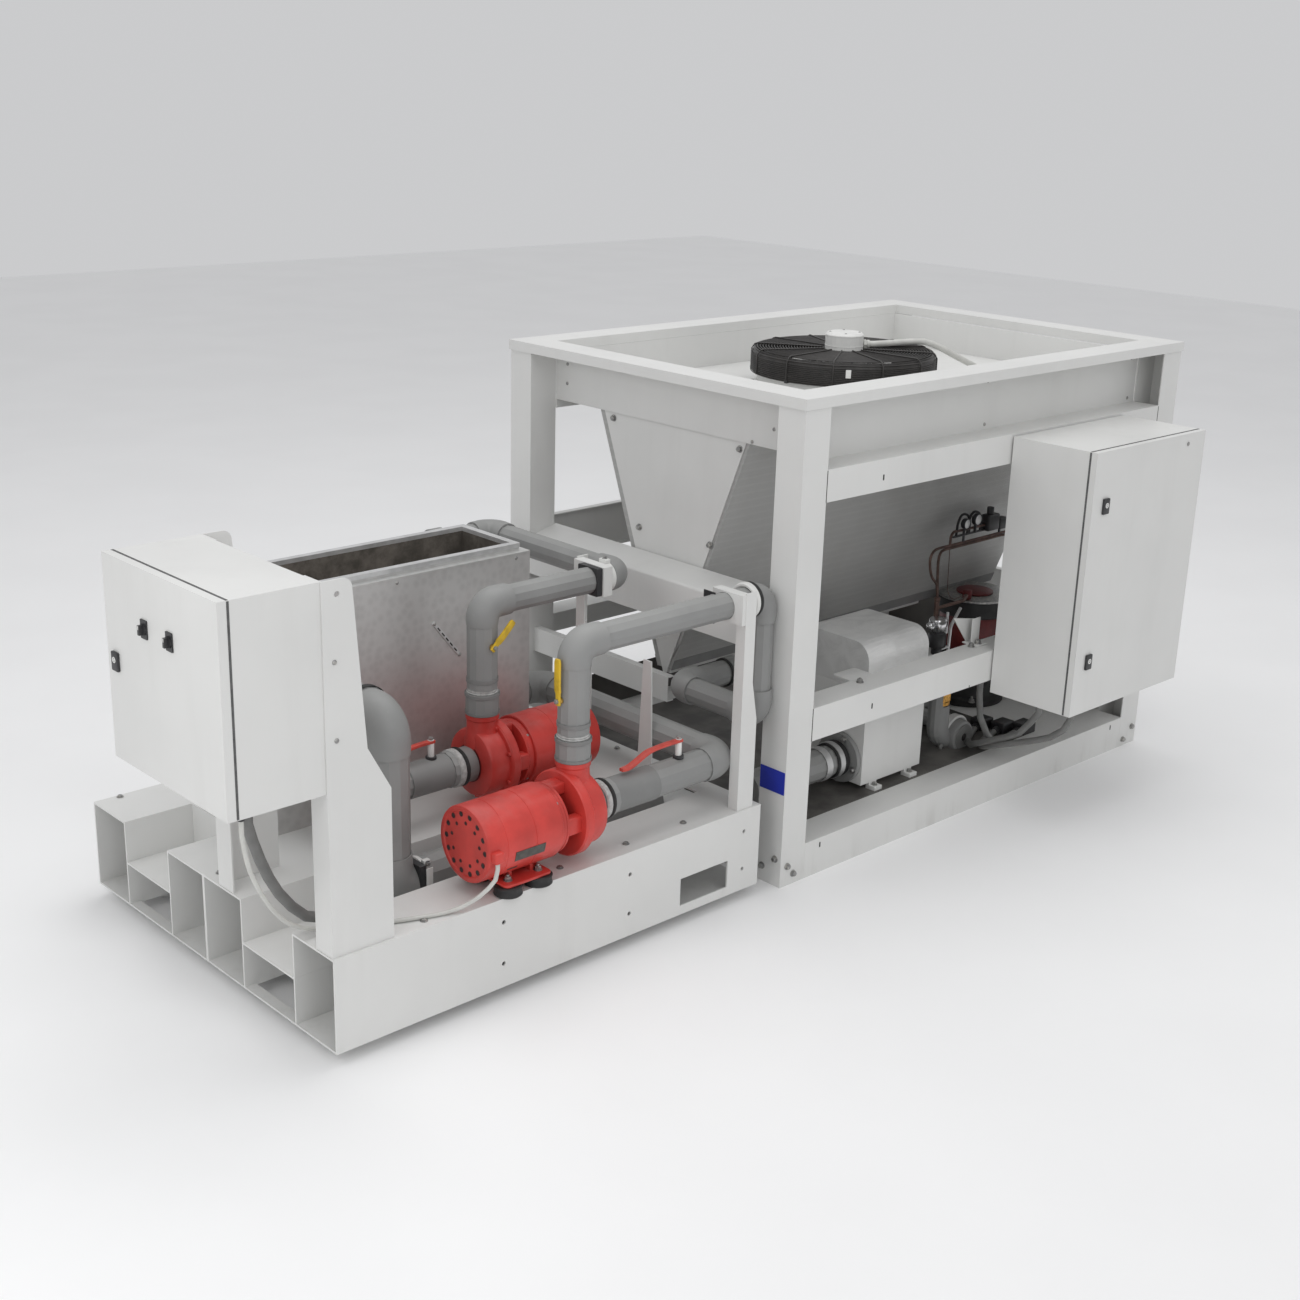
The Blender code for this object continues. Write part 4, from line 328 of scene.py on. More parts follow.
def piece(name, shape, finish, body="base", replaces=(), smooth=32):
    """A mesh object at the origin from one (points, faces) shape of the skid frame, or a list of them.

    smooth is the angle in degrees up to which two faces are shaded as one.
    """
    points, faces = joined(shape) if isinstance(shape, list) else shape
    mesh = bpy.data.meshes.new(name)
    mesh.from_pydata((points + ORIGIN).tolist(), [], faces)
    mesh.validate()
    mesh.shade_smooth()
    mesh.set_sharp_from_angle(angle=math.radians(smooth))
    mesh.materials.append(look(finish))
    made = bpy.data.objects.new(name, mesh)
    bpy.context.scene.collection.objects.link(made)
    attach(made, body)
    if replaces:
        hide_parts(*replaces)
    return made


def dress(name, finish):
    """Gives a CAD node its finish in place of the plain one."""
    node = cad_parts[name]
    node.data.materials.clear()
    node.data.materials.append(look(finish))


# Finishes

class Value:
    """A shader socket that takes part in sums: each operator adds its Math node."""

    def __init__(self, maker, socket):
        self.maker = maker
        self.socket = socket

    def _math(self, operation, a, b=None):
        values = {0: a} if b is None else {0: a, 1: b}
        return self.maker.add("ShaderNodeMath", {"operation": operation}, values)

    def __add__(self, other):
        return self._math("ADD", self, other)

    def __radd__(self, other):
        return self._math("ADD", other, self)

    def __sub__(self, other):
        return self._math("SUBTRACT", self, other)

    def __rsub__(self, other):
        return self._math("SUBTRACT", other, self)

    def __mul__(self, other):
        return self._math("MULTIPLY", self, other)

    def power(self, other):
        return self._math("POWER", self, other)

    def sine(self):
        return self._math("SINE", self)

    def over(self, limit):
        return self._math("GREATER_THAN", self, limit)

    def clamped(self):
        return self.maker.add("ShaderNodeClamp", {}, {"Value": self})

    def step(self, low, high):
        """0 below low, 1 above high, and smooth in between."""
        return self.maker.add("ShaderNodeMapRange", {"interpolation_type": "SMOOTHSTEP"},
                              {"Value": self, "From Min": low, "From Max": high})


class Finish:
    """One material. add() makes any node and returns its first output as a Value."""

    def __init__(self, name, base, roughness, metallic=0.0, **fixed):
        self.material = bpy.data.materials.new(name)
        self.material.use_nodes = True
        self.tree = self.material.node_tree
        self.shader = self.tree.nodes["Principled BSDF"]
        self.base = base
        self.shader.inputs["Base Color"].default_value = (*base, 1.0)
        self.shader.inputs["Roughness"].default_value = roughness
        self.shader.inputs["Metallic"].default_value = metallic
        for socket, value in fixed.items():
            self.shader.inputs[socket.replace("_", " ")].default_value = value
        self.place = self.add("ShaderNodeTexCoord", {}, {}, "Object")

    def add(self, kind, settings, values, output=0):
        node = self.tree.nodes.new(kind)
        for key, value in settings.items():
            setattr(node, key, value)
        for key, value in values.items():
            socket = node.inputs[key]
            if isinstance(value, Value):
                self.tree.links.new(value.socket, socket)
            else:
                socket.default_value = value
        return Value(self, node.outputs[output])

    def spot(self, low):
        """Object coordinates measured from a point of the skid frame."""
        shift = tuple(-(np.asarray(low, float) + ORIGIN))
        return self.add("ShaderNodeVectorMath", {"operation": "ADD"}, {0: self.place, 1: shift})

    def axes(self):
        """X, Y and Z of the skid frame as three values."""
        node = self.tree.nodes.new("ShaderNodeSeparateXYZ")
        self.tree.links.new(self.spot((0, 0, 0)).socket, node.inputs[0])
        return [Value(self, node.outputs[k]) for k in range(3)]

    def normal_axes(self):
        """The parts of the surface's own direction along X, Y and Z."""
        geometry = self.tree.nodes.new("ShaderNodeNewGeometry")
        node = self.tree.nodes.new("ShaderNodeSeparateXYZ")
        self.tree.links.new(geometry.outputs["Normal"], node.inputs[0])
        return [Value(self, node.outputs[k]) for k in range(3)]

    def noise(self, scale, detail=3.0, roughness=0.5, stretch=None, distortion=0.0):
        place = self.place
        if stretch:
            place = self.add("ShaderNodeVectorMath", {"operation": "MULTIPLY"}, {0: place, 1: stretch})
        return self.add("ShaderNodeTexNoise", {}, {"Vector": place, "Scale": scale, "Detail": detail,
                                                   "Roughness": roughness, "Distortion": distortion})

    def cells(self, scale, feature="F1", output="Distance", stretch=None):
        place = self.place
        if stretch:
            place = self.add("ShaderNodeVectorMath", {"operation": "MULTIPLY"}, {0: place, 1: stretch})
        return self.add("ShaderNodeTexVoronoi", {"feature": feature}, {"Vector": place, "Scale": scale},
                        output)

    def blend(self, share, first, second):
        """A colour between two, by a share from 0 to 1."""
        node = self.tree.nodes.new("ShaderNodeMix")
        node.data_type = "RGBA"
        for key, value in (("Factor", share), (6, first), (7, second)):
            socket = node.inputs[0] if key == "Factor" else node.inputs[key]
            if isinstance(value, Value):
                self.tree.links.new(value.socket, socket)
            elif key == "Factor":
                socket.default_value = value
            else:
                socket.default_value = (*value, 1.0)
        return Value(self, node.outputs[2])

    def put(self, socket, value):
        self.tree.links.new(value.socket, self.shader.inputs[socket])

    def bump(self, height, strength, distance):
        self.put("Normal", self.add("ShaderNodeBump", {}, {"Height": height, "Strength": strength,
                                                          "Distance": distance}))


def scaled(colour, share):
    return tuple(min(1.0, c * share) for c in colour)


LOOKS = {}


def look(name):
    """Makes each finish once, when a piece first asks for it."""
    if name not in LOOKS:
        LOOKS[name] = FINISHES[name]()
    return LOOKS[name]


def settings():
    return bpy.context.scene.chiller_colours


def powder_coat():
    """Pale grey powder coat: fine orange peel, soft clouding, road dirt low down and in runs."""
    base = tuple(settings().paint)
    made = Finish("powder_coat", base, 0.42, 0.0, Specular_IOR_Level=0.45)
    cloud = made.noise(2.6, 4.0)
    streak = made.noise(9.0, 4.0, 0.6, (1, 1, 0.12))
    _, _, z = made.axes()
    low = 1 - z.step(0.0, 0.09)
    dirt = ((low * 0.5 + 0.10) * streak.step(0.48, 0.75)).clamped()
    grain = made.noise(240.0, 2.0)
    tone = made.blend(cloud.step(0.3, 0.7), scaled(base, 0.965), scaled(base, 1.02))
    made.put("Base Color", made.blend(dirt * 0.55, tone, (0.33, 0.32, 0.29)))
    made.put("Roughness", 0.36 + cloud * 0.12 + dirt * 0.25)
    made.bump(grain, 0.10, 0.0006)
    return made.material


def red_enamel():
    """Red enamel over castings: slight orange peel, darker in patches, a little dust on top."""
    base = tuple(settings().pump_red)
    made = Finish("red_enamel", base, 0.38, 0.0)
    cloud = made.noise(11.0, 4.0)
    grit = made.noise(420.0, 3.0)
    _, _, up = made.normal_axes()
    dust = (up.step(0.45, 1.0) * made.noise(30.0, 5.0).step(0.45, 0.8) * 0.16)
    tone = made.blend(cloud.step(0.3, 0.7), scaled(base, 0.82), scaled(base, 1.1))
    made.put("Base Color", made.blend(dust, tone, (0.50, 0.33, 0.30)))
    made.put("Roughness", 0.30 + grit * 0.14 + dust)
    made.bump(grit, 0.18, 0.0008)
    return made.material


def pressure_pipe(name="pressure_pipe", share=1.0):
    """Grey pressure pipe: drawn lines along it, scuffs and a thin film of dust on top."""
    base = scaled(tuple(settings().pipe), share)
    made = Finish(name, base, 0.5, 0.0)
    cloud = made.noise(6.0, 5.0)
    scuff = made.noise(38.0, 6.0, 0.7).step(0.60, 0.74)
    _, _, up = made.normal_axes()
    dust = up.step(0.2, 1.0) * (0.05 + cloud * 0.20)
    tone = made.blend(cloud.step(0.35, 0.65), scaled(base, 0.93), scaled(base, 1.06))
    tone = made.blend(dust, tone, scaled((0.52, 0.52, 0.50), share))
    made.put("Base Color", made.blend(scuff * 0.30, tone, scaled(base, 1.35)))
    made.put("Roughness", 0.40 + cloud * 0.18 + scuff * 0.1)
    made.bump(made.noise(160.0, 3.0), 0.06, 0.0006)
    return made.material


FINISHES = {
    "paint": powder_coat,
    "red": red_enamel,
    "pipe": pressure_pipe,
    "socket": lambda: pressure_pipe("socket_grey", 0.80),
}


def plain(name, colour, roughness, metallic=0.0, spread=0.06, scale=20.0, bump=0.0, grain=300.0, **fixed):
    """A finish with soft clouding in its colour and roughness, and a fine bump."""
    made = Finish(name, colour, roughness, metallic, **fixed)
    cloud = made.noise(scale, 4.0)
    made.put("Base Color",
             made.blend(cloud.step(0.3, 0.7), scaled(colour, 1 - spread), scaled(colour, 1 + spread)))
    made.put("Roughness", roughness - 0.06 + cloud * 0.12)
    if bump:
        made.bump(made.noise(grain, 3.0), bump, 0.0008)
    return made.material


def tank_sheet():
    """Galvanised sheet: crossing spangle, a dull bloom and a faint red patch low on its face, a painted
    reflection.

    Inside the tray the sheet is dark brown in patches.
    """
    base = tuple(settings().tank)
    made = Finish("tank_sheet", base, 0.42, 0.55)
    low, high = node_box("tank_body")
    spangle = made.cells(46.0)
    fine = made.noise(150.0, 4.0, 0.7)
    cloud = made.noise(3.2, 4.0)
    x, y, z = made.axes()
    tone = made.blend(spangle.step(0.1, 0.75) * 0.5 + cloud * 0.5, scaled(base, 0.90), scaled(base, 1.10))
    # A pinkish patch low on the face, a little off its middle: painted red reflection on the sheet.
    across = ((x - (low[0] + high[0]) / 2 - 0.02) * 2.6).power(2.0)
    down = ((z - (low[2] + 0.20)) * 4.2).power(2.0)
    painted_red_reflection = (1 - (across + down).step(0.0, 1.25)) * (0.45 + fine * 0.5)
    tone = made.blend(painted_red_reflection * 0.42, tone, (0.40, 0.27, 0.26))
    inside = ((x - low[0] - 0.036).over(0.0) * (high[0] - 0.036 - x).over(0.0)
              * (y - low[1] - 0.036).over(0.0) * (high[1] - 0.036 - y).over(0.0)
              * (z - (high[2] - 0.085)).over(0.0))
    tray_inside_brown = made.blend(made.noise(14.0, 6.0, 0.7).step(0.35, 0.7), (0.070, 0.062, 0.052), (0.17, 0.15, 0.13))
    made.put("Base Color", made.blend(inside, tone, tray_inside_brown))
    made.put("Roughness", 0.36 + fine * 0.22 + inside * 0.30)
    made.put("Metallic", 0.55 - inside * 0.50)
    made.bump(fine * 0.6 + spangle * 0.3, 0.12, 0.0008)
    return made.material


def coil_fins():
    """Aluminium fins: fine ridges along the coil with painted shade in the gaps between them, dulled by
    dust.
    """
    base = (0.52, 0.52, 0.51)
    made = Finish("coil_fins", base, 0.5, 0.25)
    x, _, z = made.axes()
    ridge_and_gap_shade = (x * (2 * math.pi / 0.0026)).sine() * 0.5 + 0.5
    tube = ((z * (2 * math.pi / 0.025)).sine() * 0.5 + 0.5).step(0.7, 0.95)
    dust = made.noise(8.0, 5.0).step(0.35, 0.75)
    # The ridge wave darkens the gaps between the fins: painted shade.
    tone = made.blend(ridge_and_gap_shade, scaled(base, 0.70), scaled(base, 1.15))
    tone = made.blend(tube * 0.12, tone, scaled(base, 1.3))
    made.put("Base Color", made.blend(dust * 0.25, tone, (0.40, 0.39, 0.37)))
    made.put("Roughness", 0.46 + dust * 0.2)
    made.bump(ridge_and_gap_shade, 0.3, 0.0006)
    return made.material


def foil_skin():
    """Soft silver insulation foil: shallow creases and a satin sheen."""
    base = (0.80, 0.80, 0.79)
    made = Finish("foil_skin", base, 0.40, 0.30)
    crease = made.noise(9.0, 5.0, 0.65, (0.6, 1.4, 1.4), 0.6)
    fine = made.noise(90.0, 4.0)
    made.put("Base Color", made.blend(crease.step(0.35, 0.65), scaled(base, 0.92), scaled(base, 1.08)))
    made.put("Roughness", 0.34 + crease * 0.16)
    made.bump(crease + fine * 0.08, 0.10, 0.004)
    return made.material


def copper_tube():
    """Copper tube: brown where it was brazed, brighter where it was handled."""
    made = Finish("copper_tube", (0.45, 0.20, 0.13), 0.38, 0.9)
    heat = made.noise(18.0, 5.0, 0.6).step(0.35, 0.7)
    made.put("Base Color", made.blend(heat, (0.23, 0.11, 0.085), (0.55, 0.27, 0.19)))
    made.put("Roughness", 0.30 + heat * 0.2)
    return made.material


def steel_zinc():
    """Zinc plated fasteners: a dull grey with a faint warm bloom."""
    made = Finish("zinc_steel", (0.42, 0.42, 0.41), 0.36, 0.85)
    bloom = made.noise(120.0, 3.0)
    made.put("Base Color", made.blend(bloom.step(0.4, 0.7), (0.30, 0.30, 0.30), (0.50, 0.49, 0.46)))
    made.put("Roughness", 0.30 + bloom * 0.25)
    return made.material


def lever_coat(name, colour):
    """Dipped vinyl on a steel handle: glossy, rubbed a little darker near the stem."""
    made = Finish(name, colour, 0.36, 0.0)
    cloud = made.noise(40.0, 4.0)
    made.put("Base Color", made.blend(cloud.step(0.4, 0.75), colour, scaled(colour, 0.72)))
    made.put("Roughness", 0.30 + cloud * 0.16)
    made.bump(made.noise(260.0, 2.0), 0.10, 0.0006)
    return made.material


FINISHES.update({
    "tank": tank_sheet,
    "fins": coil_fins,
    "foil": foil_skin,
    "copper": copper_tube,
    "orange_brass": lambda: plain("orange_brass", (0.62, 0.33, 0.07), 0.36, 0.7, 0.3, 160.0, 0.3),
    # Dark grey: painted shade on the chiller's inner floor.
    "floor_shade_grey": lambda: plain("floor_shade_grey", (0.10, 0.095, 0.088), 0.6, 0.0, 0.35, 12.0, 0.15),
    # Near black sheet: painted shade of the chiller's lower interior.
    "low_shade_sheet": lambda: plain("low_shade_sheet", (0.085, 0.080, 0.074), 0.55, 0.0, 0.3, 6.0, 0.1),
    "brown_tube": lambda: plain("brown_tube", (0.135, 0.085, 0.070), 0.46, 0.5, 0.25, 40.0, 0.1),
    "zinc": steel_zinc,
    "lever_red": lambda: lever_coat("lever_red_coat", (0.62, 0.07, 0.05)),
    "lever_yellow": lambda: lever_coat("lever_yellow_coat", (0.72, 0.47, 0.02)),
    "rubber": lambda: plain("black_rubber", (0.022, 0.022, 0.022), 0.62, 0.0, 0.3, 30.0, 0.15),
    "seal": lambda: plain("door_seal", (0.10, 0.10, 0.10), 0.7, 0.0, 0.2, 60.0, 0.2),
    "plastic": lambda: plain("black_plastic", (0.030, 0.030, 0.032), 0.38, 0.0, 0.15, 60.0, 0.1),
    "white": lambda: plain("white_plastic", (0.74, 0.74, 0.72), 0.42, 0.0, 0.04, 25.0, 0.06),
    "wire": lambda: plain("coated_wire", (0.035, 0.032, 0.030), 0.40, 0.0, 0.25, 30.0, 0.08),
    "blade": lambda: plain("fan_blades", (0.055, 0.052, 0.050), 0.45, 0.0, 0.25, 9.0, 0.1),
    "blue": lambda: plain("blue_label", (0.015, 0.030, 0.36), 0.35, 0.0, 0.05, 12.0),
    "label": lambda: plain("dark_label", (0.075, 0.070, 0.062), 0.35, 0.3, 0.2, 80.0),
    "brass": lambda: plain("brass_fitting", (0.60, 0.38, 0.10), 0.32, 0.9, 0.2, 60.0, 0.1),
    "bright": lambda: plain("bright_steel", (0.72, 0.72, 0.73), 0.20, 0.95, 0.1, 40.0),
    "sleeve": lambda: plain("cable_sleeve", (0.58, 0.58, 0.55), 0.46, 0.0, 0.06, 30.0, 0.1),
    "cable": lambda: plain("grey_cable", (0.17, 0.17, 0.165), 0.5, 0.0, 0.1, 30.0, 0.1),
    # Near black: painted shade inside holes and slots, and the dark lines of seams.
    "hole_shade_and_seam": lambda: plain("hollow_shade_and_seam", (0.02, 0.018, 0.017), 0.8, 0.0, 0.3, 30.0),
    "clear": lambda: plain("clear_seal", (0.46, 0.46, 0.45), 0.22, 0.0, 0.18, 90.0, 0.2),
    "bright_sheet": lambda: plain("bright_sheet", (0.62, 0.62, 0.62), 0.34, 0.6, 0.08, 30.0, 0.08),
    "coil_frame": lambda: plain("coil_frame", (0.30, 0.30, 0.30), 0.5, 0.3, 0.06, 20.0, 0.05),
    "floor": lambda: plain("pale_floor", tuple(settings().floor), 0.75, 0.0, 0.01, 1.5),
    # Red darkened as painted shade, for red parts that sit in shade.
    "shade_dark_red": lambda: plain("shaded_red", (0.125, 0.010, 0.010), 0.45, 0.0, 0.2, 20.0, 0.2),
})


# Settings that a user changes

class ChillerColours(bpy.types.PropertyGroup):
    """Colours of the main finishes."""

    paint: bpy.props.FloatVectorProperty(
        name="Frame paint", description="Powder coat of the frame, skid and boxes",
        default=(0.715, 0.715, 0.700), subtype="COLOR", min=0, max=1)
    pump_red: bpy.props.FloatVectorProperty(
        name="Pump red", description="Enamel of the motors and pumps",
        default=(0.60, 0.050, 0.040), subtype="COLOR", min=0, max=1)
    pipe: bpy.props.FloatVectorProperty(
        name="Pipe grey", description="Grey of the pressure pipes",
        default=(0.265, 0.267, 0.263), subtype="COLOR", min=0, max=1)
    tank: bpy.props.FloatVectorProperty(
        name="Tank sheet", description="Galvanised sheet of the tank",
        default=(0.58, 0.58, 0.57), subtype="COLOR", min=0, max=1)
    floor: bpy.props.FloatVectorProperty(
        name="Floor", description="The pale studio floor",
        default=(0.92, 0.92, 0.92), subtype="COLOR", min=0, max=1)


class ChillerSizes(bpy.types.PropertyGroup):
    """Sizes of the fittings that the frame doesn't settle."""

    bolt_width: bpy.props.FloatProperty(
        name="Bolt width", description="Width across the flats of the frame's bolts",
        default=0.017, unit="LENGTH", min=0.008, max=0.03)
    ring_edge: bpy.props.FloatProperty(
        name="Ring edge", description="How far rubber rings stand out from their pipe",
        default=0.006, unit="LENGTH", min=0.001, max=0.02)
    guard_rings: bpy.props.IntProperty(
        name="Guard rings", description="Wire rings in the fan guard", default=24, min=6, max=40)
    guard_wire: bpy.props.FloatProperty(
        name="Guard wire", description="Radius of the guard's wires", default=0.0016, unit="LENGTH",
        min=0.0008, max=0.004)
    fan_blades: bpy.props.IntProperty(
        name="Fan blades", description="Blades on the fan's hub", default=7, min=3, max=12)


def sizes():
    return bpy.context.scene.chiller_sizes


# Cords

CORD_STEP = 5  # rings lie this many radii apart
CONDUIT_R = 0.010
FAN_CABLE_TURN = -40  # degrees from X at which the conduit leaves the fan's cap


def cord(name, points, radius, finish, node):
    """A tube along an eased route: each ring is the route's point plus a circle across it."""
    route = eased(points, radius * CORD_STEP)
    made = piece(name, tube(route, radius, 16), finish, replaces=[node] if node else (), smooth=60)
    return made


class CHILLER_OT_cords(bpy.types.Operator):
    """The two conduits and the cable that lie free."""

    bl_idname = "chiller.cords"
    bl_label = "Cords"

    def execute(self, context):
        fan_x, fan_y = FAN
        over = DECK + 0.134
        out = np.array((math.cos(math.radians(FAN_CABLE_TURN)), math.sin(math.radians(FAN_CABLE_TURN))))
        leave = [(fan_x + out[0] * r, fan_y + out[1] * r, over) for r in (0.0603, 0.092)]
        crossing = [
            (fan_x + x, fan_y + y, over + z)
            for x, y, z in ((0.15, -0.078, 0.0), (0.215, -0.092, 0.0), (0.265, -0.106, -0.002),
                            (0.3, -0.116, -0.012), (0.345, -0.126, -0.031), (0.39, -0.134, -0.052),
                            (0.45, -0.142, -0.078), (0.515, -0.147, -0.105))]
        landing = [(fan_x + 0.585, fan_y - 0.151, 1.273), (fan_x + 0.66, fan_y - 0.155, 1.273)]
        cord("fan_conduit_sleeve", leave + crossing + landing, CONDUIT_R, "sleeve", "fan_conduit")
        cord("motor_conduit_sleeve",
             [(-0.185, 0.055, 0.6627), (-0.185, 0.055, 0.62), (-0.16, 0.068, 0.52), (-0.1, 0.098, 0.41),
              (-0.03, 0.125, 0.33), (0.05, 0.128, 0.2905), (0.14, 0.095, 0.2845), (0.24, 0.05, 0.2845),
              (0.34, 0.016, 0.2865), (0.405, -0.008, 0.312), (0.437, -0.0307, 0.355),
              (0.444, -0.0307, 0.38), (0.444, -0.0307, 0.3957)], 0.0055, "sleeve", "motor_conduit")
        cord("pump_cable_sheath",
             [(-0.145, 0.1, 0.6627), (-0.145, 0.1, 0.62), (-0.1, 0.13, 0.51), (-0.04, 0.158, 0.4),
              (0.03, 0.16, 0.318), (0.1, 0.153, 0.292), (0.19, 0.15, 0.292)], 0.013, "cable", "pump_cable")
        return {"FINISHED"}


# Finishes of the CAD nodes

class CHILLER_OT_finishes(bpy.types.Operator):
    """Paint, enamel, sheet and rubber on every solid of the frame."""

    bl_idname = "chiller.finishes"
    bl_label = "Finishes"

    def execute(self, context):
        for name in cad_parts:
            if name not in OTHER_FINISH:
                dress(name, "paint")
        for name, finish in OTHER_FINISH.items():
            dress(name, finish)
        return {"FINISHED"}


OTHER_FINISH = {
    "near_motor": "red", "far_motor": "red", "near_pump_casing": "red", "far_pump_casing": "red",
    "compressor": "red", "near_pump_feet": "rubber", "far_pump_feet": "rubber",
    "selector_right": "plastic", "selector_left": "plastic", "near_suction_pipe": "pipe",
    "near_discharge_pipe": "pipe", "far_suction_pipe": "pipe", "far_discharge_pipe": "pipe",
    "tank_drop_pipe": "pipe", "inlet_pipe": "pipe", "suction_bend": "pipe",
    "near_suction_lever": "lever_red", "far_suction_lever": "lever_red", "near_riser_lever": "lever_yellow",
    "far_riser_lever": "lever_yellow", "tank_body": "tank", "fan_guard": "wire", "fan_rotor": "blade",
    "fan_motor": "white", "coil_right": "fins", "coil_left": "fins", "evaporator": "foil",
    "copper_pipe": "copper", "motor_conduit": "sleeve", "fan_conduit": "sleeve", "pump_cable": "cable",
}


# Shared shapes of the fittings

def rim(low, high, width, axis="Z", corner=0.003, round_hole=False):
    """A rectangular loop: an outline and the same outline drawn in by width, joined in a ring."""
    low, high = np.asarray(low, float), np.asarray(high, float)
    turn = AXES[axis]
    half = np.abs(turn.T @ (high - low)) / 2
    outer = rounded_outline(half[0], half[1], corner)
    if round_hole:
        inner = rounded_outline(width, width, width)
    else:
        inner = rounded_outline(half[0] - width, half[1] - width, max(corner - width, 0.0005))
    rows = [np.column_stack([line, np.full(len(line), h)])
            for line, h in ((outer, -half[2]), (outer, half[2]), (inner, half[2]), (inner, -half[2]))]
    return ring_rows(np.stack(rows) @ turn.T + (low + high) / 2, round_v=True)


def sleeve(path, inner, outer, sides=40):
    """A thick ring along a path: outside out and inside back, with its edges broken."""
    path = np.asarray(path, float)
    _, side, up = path_frames(path)
    u = np.linspace(0, 2 * math.pi, sides, endpoint=False)
    around = side[:, None] * np.cos(u)[None, :, None] + up[:, None] * np.sin(u)[None, :, None]
    edge = min(0.0015, (outer - inner) * 0.4)
    radius = np.full(len(path), outer)
    radius[[0, -1]] = outer - edge
    outside = path[:, None] + radius[:, None, None] * around
    inside = path[::-1, None] + inner * around[::-1]
    return ring_rows(np.concatenate([outside, inside]), round_v=True)


def slotted_head(size):
    """A domed screw head: a quarter turn profile around +Z."""
    a = np.linspace(0, math.pi / 2, 5)
    profile = [(0.0, 0.0)] + [(size / 2 * math.cos(t), size * 0.32 * math.sin(t)) for t in a]
    return lathe(profile, steps=14)


def latch_key(centre, reach, depth, axis):
    """The three cornered key of a quarter turn latch."""
    corners = np.radians((90, 210, 330))
    return plate(reach * np.column_stack([np.cos(corners), np.sin(corners)]), centre, depth, axis)


def on_circle(centre, radius, degrees, axis="Z"):
    """Places on a circle around the axis through centre: (r cos u, r sin u, 0)."""
    u = np.radians(degrees)
    local = radius * np.column_stack([np.cos(u), np.sin(u), np.zeros(len(u))])
    return local @ AXES[axis].T + np.asarray(centre, float)


def screws(places, axis, size):
    """Domed screws at places, their heads towards the axis."""
    return copies(slotted_head(size), places, AXES[axis])


# Pump skid

DOOR_FRONT = node_box("control_box_door")[0][0] + 0.006
BOX_LOW, BOX_HIGH = node_box("control_box_body")
BEAM_TOP = node_box("skid_beam_right")[1][2]


class CHILLER_OT_control_box(bpy.types.Operator):
    """Seal, latch, switch plates, glands and bolts of the control box."""

    bl_idname = "chiller.control_box"
    bl_label = "Control box"

    def execute(self, context):
        y0, y1 = BOX_LOW[1], BOX_HIGH[1]
        z0, z1 = node_box("control_box_door")[0][2], BOX_HIGH[2]
        front = BOX_LOW[0]
        piece("box_door_seal",
              rim((front - 0.0006, y0 - 0.0006, z0 - 0.0006), (front + 0.0052, y1 + 0.0006, z1 + 0.0006),
                  0.008, "X", 0.004), "seal")
        latch_y = y1 - 0.04
        door = DOOR_FRONT
        piece("box_latch_plate",
              block((door - 0.0072, latch_y - 0.0145, 0.8955), (door - 0.0004, latch_y + 0.0145, 0.9405),
                    0.0016, 0.003, "X"), "plastic", "control_box_door")
        piece("box_latch_key",
              [collar((door - 0.0086, latch_y, 0.922), 0.0042, 0.0072, 0.0018, "X", steps=24),
               latch_key((door - 0.0084, latch_y, 0.922), 0.0036, 0.0016, "X")], "white",
              "control_box_door")
        plates = [rim((door - 0.0036, y - 0.0135, 1.0065), (door - 0.0004, y + 0.0135, 1.0495), 0.0136, "X",
                      0.002, True) for y in (0.215, 0.325)]
        piece("switch_plates", plates, "plastic", "control_box_door")
        for name, y in (("selector_right", 0.215), ("selector_left", 0.325)):
            piece(name + "_mark",
                  block((door - 0.0166, y - 0.0013, 1.0295), (door - 0.0158, y + 0.0013, 1.0385), 0.0003),
                  "white", name)
        nuts = [collar((x, y, 0.6635), r * 0.98, r * 1.75, 0.007, steps=6)
                for x, y, r in ((-0.185, 0.055, 0.0078), (-0.145, 0.1, 0.014))]
        piece("box_gland_nuts", nuts, "white")
        piece("box_gland_caps",
              [collar((x, y, 0.656), r, r * 1.45, 0.0075, edge=0.002, steps=24)
               for x, y, r in ((-0.185, 0.055, 0.0058), (-0.145, 0.1, 0.0132))], "plastic")
        size = sizes().bolt_width * 0.7
        spots = [(0.0002, y0 + share * (y1 - y0), z) for share in (0.06, 0.94) for z in (0.71, 1.13)]
        piece("box_wall_screws", screws(spots, "X", size), "zinc")
        piece("bracket_screws",
              [screws([(0.03, y, z) for z in (0.8, 0.98)], axis, size)
               for y, axis in ((y0 - 0.0042, "-Y"), (y1 + SEAT, "Y"))], "zinc")
        return {"FINISHED"}


def vent_ring(end, y, ring, count, radius, turn=0.0):
    """Round vents on a ring of a motor's end: their thin raised lips, and dark discs that paint the shade
    inside them.
    """
    angle = np.linspace(0, 2 * math.pi, count, endpoint=False) + turn
    places = np.column_stack([np.full(count, end), y + ring * np.cos(angle), PUMP_Z + ring * np.sin(angle)])
    lip = copies(hoop((0, 0, 0), radius, 0.0009, "X", 20, 6), places - (0.0002, 0, 0))
    disc = copies(drum((0, 0, 0), radius, 0.0008, "X", 0.0002, 20), places - (0.0004, 0, 0))
    return lip, disc


NEAR_Y, FAR_Y = 0.075, 0.480
PUMP_Z = 0.4136
MOTOR_R = 0.098
MOTORS = {"near": (0.425, NEAR_Y, 1), "far": (1.139, FAR_Y, -1)}  # free end, centre line, direction
CASING_START = 0.2503  # from the motor's free end


